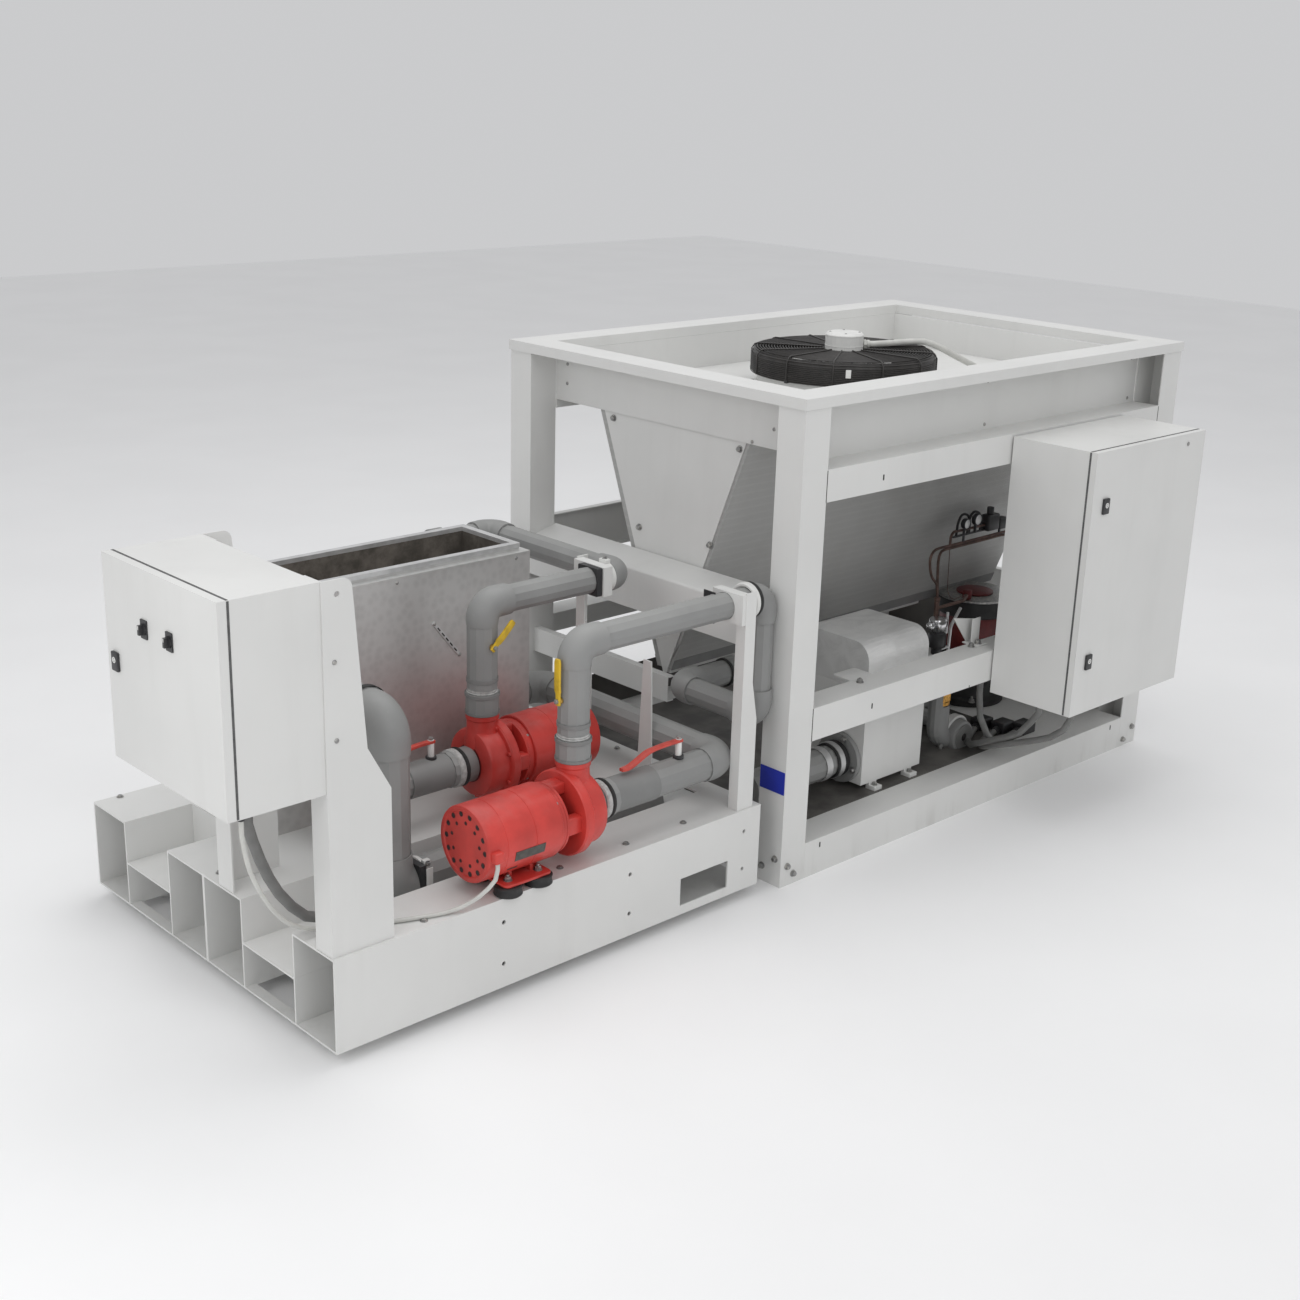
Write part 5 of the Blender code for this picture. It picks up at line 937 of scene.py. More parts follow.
def facing_way(shapes, end, y, facing):
    """Shapes as one, turned half way around the upright line through (end, y) if facing is -1."""
    points, faces = joined(shapes)
    if facing < 0:
        points[:, :2] = 2 * np.array((end, y)) - points[:, :2]
    return points, faces


def barrel_patch(end, y, angles, lift, stations):
    """A thin patch bent around a motor: an arc at MOTOR_R + lift, and back 1 mm inside the barrel."""
    loop = [(y - r * math.cos(t), PUMP_Z + r * math.sin(t))
            for r, run in ((MOTOR_R + lift, angles), (MOTOR_R - 0.001, angles[::-1])) for t in run]
    return ring_rows(np.stack([np.column_stack([np.full(len(loop), end + x), loop]) for x in stations]))


class CHILLER_OT_motors(bpy.types.Operator):
    """Both red motors: barrel, vented cowl, cable entry, nameplate and foot bolts."""

    bl_idname = "chiller.motors"
    bl_label = "Motors"

    def execute(self, context):
        for side, (end, y, facing) in MOTORS.items():
            def part(name, shapes, finish, **options):
                piece(side + name, facing_way(shapes, end, y, facing), finish, **options)

            centre = (end, y, PUMP_Z)
            r = MOTOR_R
            barrel = lathe(
                [(0, 0.004), (r - 0.016, 0.004), (r - 0.013, 0.0005), (r - 0.005, 0.0),
                 (r - 0.0015, 0.0015), (r, 0.005), (r, 0.056), (r - 0.0012, 0.0575), (r - 0.0012, 0.059),
                 (r, 0.0605), (r, 0.232), (r - 0.002, 0.234), (r - 0.008, 0.2345), (r - 0.008, 0.2497),
                 (0, 0.2497)], centre, "X", 72)
            entry = block((end + 0.006, y - r - 0.018, 0.3965), (end + 0.034, y - r * 0.8, 0.424), 0.004,
                          0.006)
            seam = hoop((end + 0.148, y, PUMP_Z), r + SEAT, 0.0008, "X", 72, 6)
            part("_motor_barrel", [barrel, entry, seam], "red", replaces=[side + "_motor"])
            stud = bolts([(end + 0.2348, y, PUMP_Z + r - 0.012)], "X", 0.01, washer=False)
            part("_motor_studs", [turned_about(stud, centre, "X", np.radians((45, 135, 225, 315)))], "zinc")
            lips, discs = zip(vent_ring(end + 0.004, y, r * 0.845 - 0.007, 14, 0.0066),
                              vent_ring(end + 0.004, y, r * 0.56, 9, 0.0044, 0.2))
            # Dark discs: painted shade inside the vents.
            part("_motor_vents", discs, "hole_shade_and_seam")
            part("_motor_vent_lips", lips, "shade_dark_red")
            slope = math.radians(-14)
            part("_motor_plate",
                 [barrel_patch(
                     end, y, np.linspace(slope - 0.135, slope + 0.135, 7), 0.0012,
                     (0.082, 0.083, 0.174, 0.175))], "label")
            part("_motor_stripe",
                 [barrel_patch(end, y, np.linspace(slope - 0.44, slope - 0.37, 4), 0.0006, (0.07, 0.1))],
                 "label")
            foot_x = end + 0.135
            feet = [(foot_x + dx * 0.0475, y + dy * 0.06) for dx in (-1, 1) for dy in (-1, 1)]
            part("_pump_mounts",
                 [lathe(
                     [(0, 0), (0.0335, 0), (0.0365, 0.003), (0.0345, 0.01), (0.0345, 0.017),
                      (0.0365, 0.024), (0.0335, 0.0268), (0, 0.0268)], (px, py, BEAM_TOP + 0.0004), "Z", 32)
                  for px, py in feet], "rubber", replaces=[side + "_pump_feet"])
            saddle = [
                block((foot_x - 0.073, y - 0.0865, 0.3056), (foot_x + 0.073, y + 0.0865, 0.3132), 0.0025,
                      0.014)]
            saddle += [
                block((foot_x + dx - 0.0055, y - 0.052, 0.312), (foot_x + dx + 0.0055, y + 0.052, 0.334),
                      0.0025) for dx in (-0.034, 0.034)]
            part("_pump_foot", saddle, "red")
            part("_pump_foot_bolts",
                 [bolts([(px, py * 0.98 + y * 0.02, 0.3132) for px, py in feet], "Z", 0.015, thread=0.006)],
                 "zinc")
        return {"FINISHED"}


class CHILLER_OT_pumps(bpy.types.Operator):
    """Both pump casings: lantern lugs, flange, volute and outlet neck, with their bolts."""

    bl_idname = "chiller.pumps"
    bl_label = "Pumps"

    def execute(self, context):
        for side, (end, y, facing) in MOTORS.items():
            def part(name, shapes, finish, **options):
                piece(side + name, facing_way(shapes, end, y, facing), finish, **options)

            start = end + CASING_START
            centre = (start, y, PUMP_Z)
            shaft = lathe([(0, 0), (0.05, 0), (0.05, 0.01), (0.036, 0.016), (0.036, 0.046), (0, 0.046)],
                          centre, "X", 32)
            ends = [
                lathe([(0, 0), (0.09, 0), (0.0915, 0.0015), (0.0915, 0.0065), (0.088, 0.008), (0, 0.008)],
                      centre, "X", 64)]
            lug = block((start + 0.004, y - 0.023, PUMP_Z + 0.06),
                        (start + 0.049, y + 0.023, PUMP_Z + 0.0915), 0.005, 0.006, "X")
            ends.append(turned_about(lug, centre, "X", np.radians((0, 90, 180, 270))))
            flange = lathe(
                [(0, 0.046), (0.109, 0.046), (0.113, 0.05), (0.113, 0.071), (0.109, 0.075), (0.098, 0.0765),
                 (0.097, 0.08), (0.0975, 0.1), (0.0965, 0.122), (0.092, 0.131), (0.083, 0.1355),
                 (0.056, 0.137), (0, 0.137)], centre, "X", 72)
            neck = lathe(
                [(0, 0), (0.05, 0), (0.05, 0.066), (0.045, 0.086), (0.0425, 0.098), (0.0425, 0.12),
                 (0.0455, 0.124), (0.0455, 0.1355), (0, 0.1355)], (start + 0.093, y, PUMP_Z), "Z", 48)
            nose = lathe([(0, 0.1365), (0.052, 0.1365), (0.052, 0.1385), (0, 0.1385)], centre, "X", 32)
            drain = bolts([(start + 0.11, y, PUMP_Z - 0.094)], "-Z", 0.016, washer=False)
            rib = block((start + 0.078, y - 0.006, PUMP_Z + 0.085),
                        (start + 0.0915, y + 0.006, PUMP_Z + 0.1215), 0.003)
            part("_pump_body", ends + [flange, neck, rib, drain], "red", replaces=[side + "_pump_casing"])
            part("_pump_shaft", [shaft, nose], "shade_dark_red")
            ring = bolts([(start + 0.075, y, PUMP_Z + 0.1035)], "X", 0.01, washer=False)
            part("_pump_bolts", [turned_about(ring, centre, "X", np.radians(np.arange(22.5, 382.5, 45)))],
                 "red")
        return {"FINISHED"}


PIPE_R = 0.0375
SUCTION_R = 0.045
SOCKET_R = 0.0455
HEAD = 0.853  # height of the header pipes' centre line
LOW_RUN = 0.512  # height of the pipe that runs into the chiller
NEAR_RISER = (0.7683, NEAR_Y)
FAR_RISER = (0.7957, FAR_Y)
DROP = (0.355, 0.290)  # the pipe down from the tank
NEAR_UNION, FAR_UNION = 0.8126, 0.7514  # where the suction unions face their pumps
VALVES = {"near_suction_lever": (1.140, NEAR_Y, 0.200), "far_suction_lever": (0.6247, FAR_Y, 0.140)}
RISER_SIDE = 0.0418  # from a riser's centre line to its valve's boss


class CHILLER_OT_pipes(bpy.types.Operator):
    """Elbows, sealing rings, unions, clamps and plates along the pressure pipes."""

    bl_idname = "chiller.pipes"
    bl_label = "Pipe fittings"

    def execute(self, context):
        grow = sizes().ring_edge
        elbows = [([(*NEAR_RISER, 0.797), (*NEAR_RISER, HEAD), (0.85, NEAR_Y, HEAD)], 0.044, PIPE_R,
                   0.0435),
                  ([(*FAR_RISER, 0.797), (*FAR_RISER, HEAD), (0.877, FAR_Y, HEAD)], 0.044, PIPE_R, 0.0435),
                  ([(1.236, FAR_Y, HEAD), (1.277, FAR_Y, HEAD), (1.277, 0.556, HEAD)], 0.04, PIPE_R,
                   0.0435),
                  ([(1.277, 0.975, HEAD), (1.277, 1.05, HEAD), (1.205, 1.05, HEAD)], 0.044, PIPE_R, 0.0435),
                  ([(1.399, NEAR_Y, HEAD), (1.436, NEAR_Y, HEAD), (1.436, NEAR_Y, 0.785)], 0.036, PIPE_R,
                   0.043), ([(1.436, NEAR_Y, 0.59), (1.436, NEAR_Y, LOW_RUN), (1.436, 0.15, LOW_RUN)],
                            0.044, PIPE_R, 0.043),
                  ([(1.436, 0.318, LOW_RUN), (1.436, 0.38, LOW_RUN), (1.512, 0.38, LOW_RUN)], 0.044, PIPE_R,
                   0.043), ([(1.228, NEAR_Y, PUMP_Z), (1.308, NEAR_Y, PUMP_Z), (1.308, 0.156, PUMP_Z)],
                            0.055, SUCTION_R, 0.049),
                  ([(1.308, 0.772, PUMP_Z), (1.308, 0.846, PUMP_Z), (1.23, 0.846, PUMP_Z)], 0.055,
                   SUCTION_R, 0.049),
                  ([(0.478, FAR_Y, PUMP_Z), (0.3997, FAR_Y, PUMP_Z), (0.3997, 0.558, PUMP_Z)], 0.055,
                   SUCTION_R, 0.049),
                  ([(0.355, 0.372, 0.69), (*DROP, 0.69), (*DROP, 0.6)], 0.06, 0.055, 0.059),
                  ([(*DROP, 0.335), (*DROP, 0.24), (0.44, 0.29, 0.24)], 0.062, 0.055, 0.059)]
        piece("pipe_elbows",
              [sleeve(bends(points, bend, 14), inner, outer, 48) for points, bend, inner, outer in elbows],
              "pipe", smooth=45)
        risers, clear = [], []
        for x, y in (NEAR_RISER, FAR_RISER):
            risers += [collar((x, y, 0.599), SOCKET_R, SOCKET_R + 0.002, 0.011, steps=48),
                       collar((x, y, 0.5502), SOCKET_R, SOCKET_R + 0.0015, 0.008, steps=48),
                       collar((x, y, 0.64), 0.0415, 0.0432, 0.012, steps=48)]
            clear += [collar((x, y, 0.61), PIPE_R, 0.0425, 0.005, edge=0.0018, steps=48),
                      collar((x, y, 0.6152), PIPE_R, 0.0405, 0.006, edge=0.002, steps=48)]
        piece("riser_sockets", risers, "socket")
        piece("riser_seals", clear, "clear")

        near, far = NEAR_UNION, FAR_UNION
        pale = [collar((near + 0.0325, NEAR_Y, PUMP_Z), SUCTION_R, 0.053, 0.019, "X", 0.004, 56),
                collar((far - 0.065, FAR_Y, PUMP_Z), SUCTION_R, 0.053, 0.02, "X", 0.004, 56)]
        piece("union_seals", pale, "clear")
        dark = [collar((near + 0.052, NEAR_Y, PUMP_Z), SUCTION_R, 0.054, 0.011, "X", 0.003, 56),
                collar((far - 0.0445, FAR_Y, PUMP_Z), SUCTION_R, 0.054, 0.011, "X", 0.003, 56),
                collar((1.3865, NEAR_Y, HEAD), PIPE_R, 0.049, 0.012, "X", 0.004, 48),
                collar((0.355, 0.369, 0.69), 0.0605, 0.0605 + grow * 0.4, 0.0178, "Y", 0.002, 56),
                collar((1.615, 0.38, LOW_RUN), PIPE_R, 0.0435, 0.008, "X", 0.002, 48)]
        piece("pipe_rubber_rings", dark, "rubber")
        nuts = [collar((near + 0.001, NEAR_Y, PUMP_Z), SUCTION_R, 0.0485, 0.03, "X", 0.003, 56),
                collar((far - 0.0325, FAR_Y, PUMP_Z), SUCTION_R, 0.0485, 0.031, "X", 0.003, 56),
                collar((near + 0.08, NEAR_Y, PUMP_Z), SUCTION_R, 0.0472, 0.145, "X", 0.002, 56),
                collar((far - 0.215, FAR_Y, PUMP_Z), SUCTION_R, 0.0472, 0.135, "X", 0.002, 56),
                collar((1.624, 0.38, LOW_RUN), PIPE_R, 0.044, 0.042, "X", 0.002, 48),
                collar((1.72, 0.38, LOW_RUN), PIPE_R, 0.0425, 0.03, "X", 0.002, 48),
                collar((1.045, 1.05, HEAD), PIPE_R, 0.044, 0.045, "X", 0.002, 48),
                collar((0.96, 1.012, HEAD), PIPE_R, 0.044, 0.024, "Y", 0.002, 48),
                collar((1.106, 0.846, PUMP_Z), SUCTION_R, 0.052, 0.022, "X", 0.002, 48),
                collar((0.3997, 0.636, PUMP_Z), SUCTION_R, 0.052, 0.023, "Y", 0.002, 48)]
        piece("pipe_couplings", nuts, "socket")
        white = [collar((1.3655, NEAR_Y, HEAD), PIPE_R, 0.05, 0.02, "X", 0.004, 48)]
        piece("header_white_ring", white, "white")

        behind = node_box("header_post")[0][0]
        turns = np.radians(np.linspace(-90, 90, 17))
        half = [(0.075, 0.896), (0.1175, 0.896), (0.1175, 0.81), (0.075, 0.81)]
        half += [(0.075 + (PIPE_R + 0.0004) * math.cos(a), HEAD + (PIPE_R + 0.0004) * math.sin(a))
                 for a in turns]
        plates = [folded(half, behind - 0.0022, behind - SEAT, "X"),
                  rim((1.164, 0.439, 0.813), (1.1825, 0.521, 0.893), PIPE_R + SEAT, "X", 0.004, True),
                  rim((0.406, 0.231, 0.181), (0.424, 0.349, 0.302), 0.0552, "X", 0.004, True)]
        piece("clamp_plates", plates, "plastic")
        straps = [collar((1.2165, FAR_Y, HEAD), PIPE_R, 0.042, 0.019, "X", 0.001, 48),
                  block((1.2165, 0.466, 0.893), (1.2355, 0.494, 0.905), 0.0015),
                  collar((0.426, 0.29, 0.24), 0.0552, 0.0578, 0.02, "X", 0.001, 56),
                  block((0.426, 0.242, 0.291), (0.446, 0.256, 0.308), 0.0015),
                  block((0.426, 0.231, 0.19), (0.446, 0.234, 0.29), 0.001)]
        piece("pipe_straps", straps, "white")
        heads = [bolts([(1.226, FAR_Y, 0.905)], "Z", 0.01), bolts([(0.436, 0.242, 0.299)], "-Y", 0.01)]
        piece("strap_bolts", heads, "zinc")
        stems = [drum((x, y, 0.456), 0.015, 0.01, "Z", 0.001, 24) for x, y, _ in VALVES.values()]
        piece("valve_glands", stems, "plastic")
        return {"FINISHED"}


def strip(path, across, half_width, half_thick, edge=0.0015):
    """A flat bar along a path: each section is across * u + normal * v on a rounded outline.

    half_width and half_thick may vary along the path.
    """
    path = np.asarray(path, float)
    across = np.asarray(across, float)
    tangent = np.gradient(path, axis=0)
    tangent /= np.linalg.norm(tangent, axis=1, keepdims=True)
    normal = np.cross(tangent, across)
    half_width = np.broadcast_to(half_width, (len(path),))
    half_thick = np.broadcast_to(half_thick, (len(path),))
    line = np.stack([rounded_outline(w, t, min(edge, w, t), 3) for w, t in zip(half_width, half_thick)])
    return ring_rows(path[:, None] + across * line[:, :, :1] + normal[:, None] * line[:, :, 1:])


def eased_bar(points, count=28):
    """A bar's centre line: the given points joined by smooth steps, closely spaced."""
    points = np.asarray(points, float)
    run = np.concatenate([[0], np.cumsum(np.linalg.norm(np.diff(points, axis=0), axis=1))])
    t = np.linspace(0, run[-1], count)
    line = np.stack([np.interp(t, run, points[:, k]) for k in range(3)], -1)
    for _ in range(3):
        line[1:-1] = (line[:-2] + 2 * line[1:-1] + line[2:]) / 4
    return line


def riser_handle(name, line, across, half_width, stem, axis):
    """The yellow handle of a riser's valve along a line, with its stem and nut along the axis."""
    width = np.full(len(line), half_width)
    width[:8] = 0.007
    width[-2:] *= (0.9, 0.7)
    body = name + "_lever"
    piece(name + "_handle", strip(line, across, width, 0.0034), "lever_yellow", body, replaces=[body],
          smooth=50)
    piece(name + "_stem", drum(stem, 0.0085, 0.0085, axis, 0.0008, 20), "brass", body)
    nut = np.array(stem) + AXES[axis][:, 2] * 0.0132
    piece(name + "_nut", bolts([nut], axis, 0.011, washer=False), "zinc", body)


class CHILLER_OT_levers(bpy.types.Operator):
    """Dipped valve handles on their stems, with nuts."""

    bl_idname = "chiller.levers"
    bl_label = "Valve handles"

    def execute(self, context):
        base = 0.4589
        for name, (x, y, length) in VALVES.items():
            line = eased_bar(
                [(x + 0.009, y, base + 0.048), (x - length * 0.3, y, base + 0.048),
                 (x - length * 0.56, y, base + 0.0445), (x - length * 0.76, y, base + 0.027),
                 (x - length * 0.91, y, base + 0.015), (x - length * 1.03, y, base + 0.0165)])
            share = np.linspace(0, 1, len(line))
            width = 0.0082 + 0.0016 * np.clip((share - 0.45) * 8, 0, 1)
            width[-2:] *= (0.9, 0.7)
            piece(name + "_handle", strip(line, (0, 1, 0), width, 0.0042), "lever_red", name,
                  replaces=[name], smooth=50)
            stem = [drum((x, y, base), 0.0088, 0.0436, "Z", 0.0008, 20),
                    collar((x, y, base + 0.0522), 0.003, 0.0085, 0.0012, edge=0.0003, steps=20)]
            piece(name + "_stem", stem, "white", name)
            piece(name + "_nut", bolts([(x, y, base + 0.0534)], "Z", 0.012, washer=False), "zinc", name)
        side = RISER_SIDE
        x, y = NEAR_RISER
        line = eased_bar(
            [(x - side - lift, y, z)
             for lift, z in ((0.01, 0.704), (0.01, 0.735), (0.0125, 0.75), (0.0125, 0.825))])
        riser_handle("near_riser", line, (0, 1, 0), 0.01, (x - side + SEAT, y, 0.715), "-X")
        x, y = FAR_RISER
        turn = math.cos(math.pi / 4)
        line = eased_bar(
            [(x + d * turn, y - side - lift, 0.745 + d * turn)
             for d, lift in ((-0.011, 0.01), (0.022, 0.01), (0.034, 0.0125), (0.088, 0.0125))])
        riser_handle("far_riser", line, (turn, 0, -turn), 0.0095, (x, y - side + SEAT, 0.745), "-Y")
        return {"FINISHED"}


class CHILLER_OT_tank(bpy.types.Operator):
    """The tank's folded lip, its slotted strap, its screws and its seams."""

    bl_idname = "chiller.tank"
    bl_label = "Tank"

    def execute(self, context):
        low, high = node_box("tank_body")
        top = high[2]
        inset = 0.022
        lip = rim((low[0] + inset - 0.003, low[1] + inset - 0.003, top - 0.01),
                  (high[0] - inset + 0.003, high[1] - inset + 0.003, top + 0.0022), 0.0215, "Z", 0.004)
        piece("tank_lip", lip, "bright_sheet")
        shoulder = rim((low[0] - 0.0012, low[1] - 0.0012, top - 0.024),
                       (high[0] + 0.0012, high[1] + 0.0012, top - 0.0185), 0.03, "Z", 0.003)
        piece("tank_shoulder", shoulder, "tank")
        a = np.array((0.7711, low[1] - 0.0016, 0.7577))
        b = np.array((0.8549, low[1] - 0.0016, 0.6544))
        along = (b - a) / np.linalg.norm(b - a)
        across = np.cross(along, (0, 1, 0))
        bar = strip(a + (b - a) * np.linspace(-0.04, 1.04, 12)[:, None], across, 0.0055, 0.0014, 0.001)
        piece("tank_strap", bar, "bright_sheet")
        slots = []
        for share in (0.17, 0.34, 0.5, 0.66, 0.83):
            middle = a + (b - a) * share - (0, 0.0016, 0)
            slots.append(
                strip(middle + along * np.linspace(-0.0065, 0.0065, 4)[:, None], across, 0.002, 0.0004,
                      0.0004))
        # Dark slots: painted shade inside them.
        piece("tank_strap_slots", slots, "hole_shade_and_seam")
        row = 0.8945
        piece("tank_screws", [
            screws(
                [a - (0, 0.0014, 0), b - (0, 0.0014, 0)] + [
                    (x, low[1] - SEAT, row) for x in (0.6524, 0.256, 1.056)], "-Y", 0.01),
            screws([(x, high[1] + SEAT, row) for x in (0.256, 0.652, 1.056)], "Y", 0.01),
            *on_both(screws, [(y, row) for y in (0.71, 0.91)], "X", (low[0], high[0]), 0.01)], "zinc")
        return {"FINISHED"}


def on_both(make, places, axis, faces, size):
    """Bolts or screws on two opposite faces square to the axis, at places (x or y, z) on each."""
    made = []
    for at, way in zip((faces[0] - SEAT, faces[1] + SEAT), ("-" + axis, axis)):
        made.append(make([(at, u, z) if axis == "X" else (u, at, z) for u, z in places], way, size))
    return made


RAIL_TOP = 0.5212  # top of the lower side rails


class CHILLER_OT_fasteners(bpy.types.Operator):
    """Bolts, screws and punched slots of the skid and the frame, and the blue plate."""

    bl_idname = "chiller.fasteners"
    bl_label = "Frame bolts"

    def execute(self, context):
        size = sizes().bolt_width
        top = BEAM_TOP + SEAT
        length, width, _ = node_box("skid_beam_left")[1]
        flange = [(0.27, 0.029), (0.703, 0.044), (0.929, 0.044), (1.138, 0.045), (0.035, 0.561)]
        flange += [(0.07, width - 0.014), (0.27, width - 0.029), (0.703, width - 0.044),
                   (1.138, width - 0.044), (length - 0.03, 0.561)]
        piece("skid_top_bolts", bolts([(x, y, top) for x, y in flange], "Z", size * 0.72, head=0.004),
              "zinc")
        feet = [(1.372, 0.057, top), (1.262, 0.585, top), (1.308, 0.372, top + 0.005),
                (1.302, 0.33, top + 0.005)]
        piece("post_foot_bolts", bolts(feet, "Z", size * 0.8, thread=0.006), "zinc")
        plates = [block((1.345, 0.026, top), (1.388, 0.074, top + 0.0045), 0.001),
                  block((1.236, 0.566, top), (1.288, 0.606, top + 0.0045), 0.001)]
        piece("post_feet", plates, "paint")

        sides = [(0.8502, 1.2005), (0.3222, 1.1973), (0.7251, 0.8887), (0.4246, 0.8973)]
        piece("hopper_bolts", on_both(bolts, sides, "X", (1.585, 3.195), size * 0.8), "zinc")

        x0, x1, y0, y1 = 1.475, 3.305, -0.014, 1.206
        posts = [(at, z) for y, z in ((0.0082, 0.0835), (0.0566, 0.0471)) for at in (y, y0 + y1 - y)]
        rails = ((1.5283, 0.0316), (3.2284, 0.024), (3.2778, 0.0607), (1.5023, 0.0607))
        piece("post_bolts",
              on_both(bolts, posts, "X", (x0, x1), size * 0.8)
                       + on_both(bolts, rails, "Y", (y0, y1), size * 0.8), "zinc")
        places = [(x, y, RAIL_TOP) for x in (1.8496, 2.3808, 2.96) for y in (0.0505, 1.1415)]
        piece("rail_bolts", bolts(places, "Z", size * 0.85, thread=0.004), "zinc")
        slots = [block((2.297, y0 - 0.0004, 0.42), (2.3008, y0 + 0.0004, 0.43), 0.0002, 0.0018, "Y")]
        lower = ((1.8331, 0.4698), (3.141, 0.088), (1.64, 0.088))
        upper = ((1.8116, 1.148), (3.08, 1.148))
        for at, axis in ((y0 - 0.0004, "Y"), (y1 - 0.0004, "Y")):
            for x, z in lower + (upper if at < 0.5 else ()):
                slots.append(
                    block((x - 0.0028, at, z - 0.0085), (x + 0.0028, at + 0.0008, z + 0.0085), 0.0002,
                          0.0026, axis))
        # Dark slots: painted shade inside them.
        piece("rail_slots", slots, "hole_shade_and_seam")
        seams = []
        for x in (1.5754, 3.2046):
            for at in (y0 - 0.0004, y1 - 0.0004):
                for z, tall in ((0.423, 0.098), (1.11, 0.088))[:2 if at < 0.5 else 1]:
                    seams.append(block((x - 0.0014, at, z), (x + 0.0014, at + 0.0008, z + tall), 0.0002))
        piece("rail_seams", seams, "hole_shade_and_seam")
        both = [(0.135, 1.2757), (0.135, 1.335), (1.057, 1.2757), (1.057, 1.335)]
        panel = [screws([(1.5761, y, z) for y, z in both + [(0.1889, 1.2757), (0.2686, 1.2275)]], "-X",
                        0.011), screws([(3.2039, y, z) for y, z in both], "X", 0.011)]
        panel += on_both(screws, [(x, z) for x in (1.6, 2.39, 3.165) for z in (1.215, 1.345)], "Y",
                         (0.0824, 1.1096), 0.011)
        piece("panel_screws", panel, "zinc")
        piece("blue_plate",
              block((x0 - 0.0016, -0.0125, 0.2845), (x0 - SEAT, 0.0805, 0.3525), 0.0004, 0.002, "X"),
              "blue")
        return {"FINISHED"}


HUB_Z = DECK + 0.003


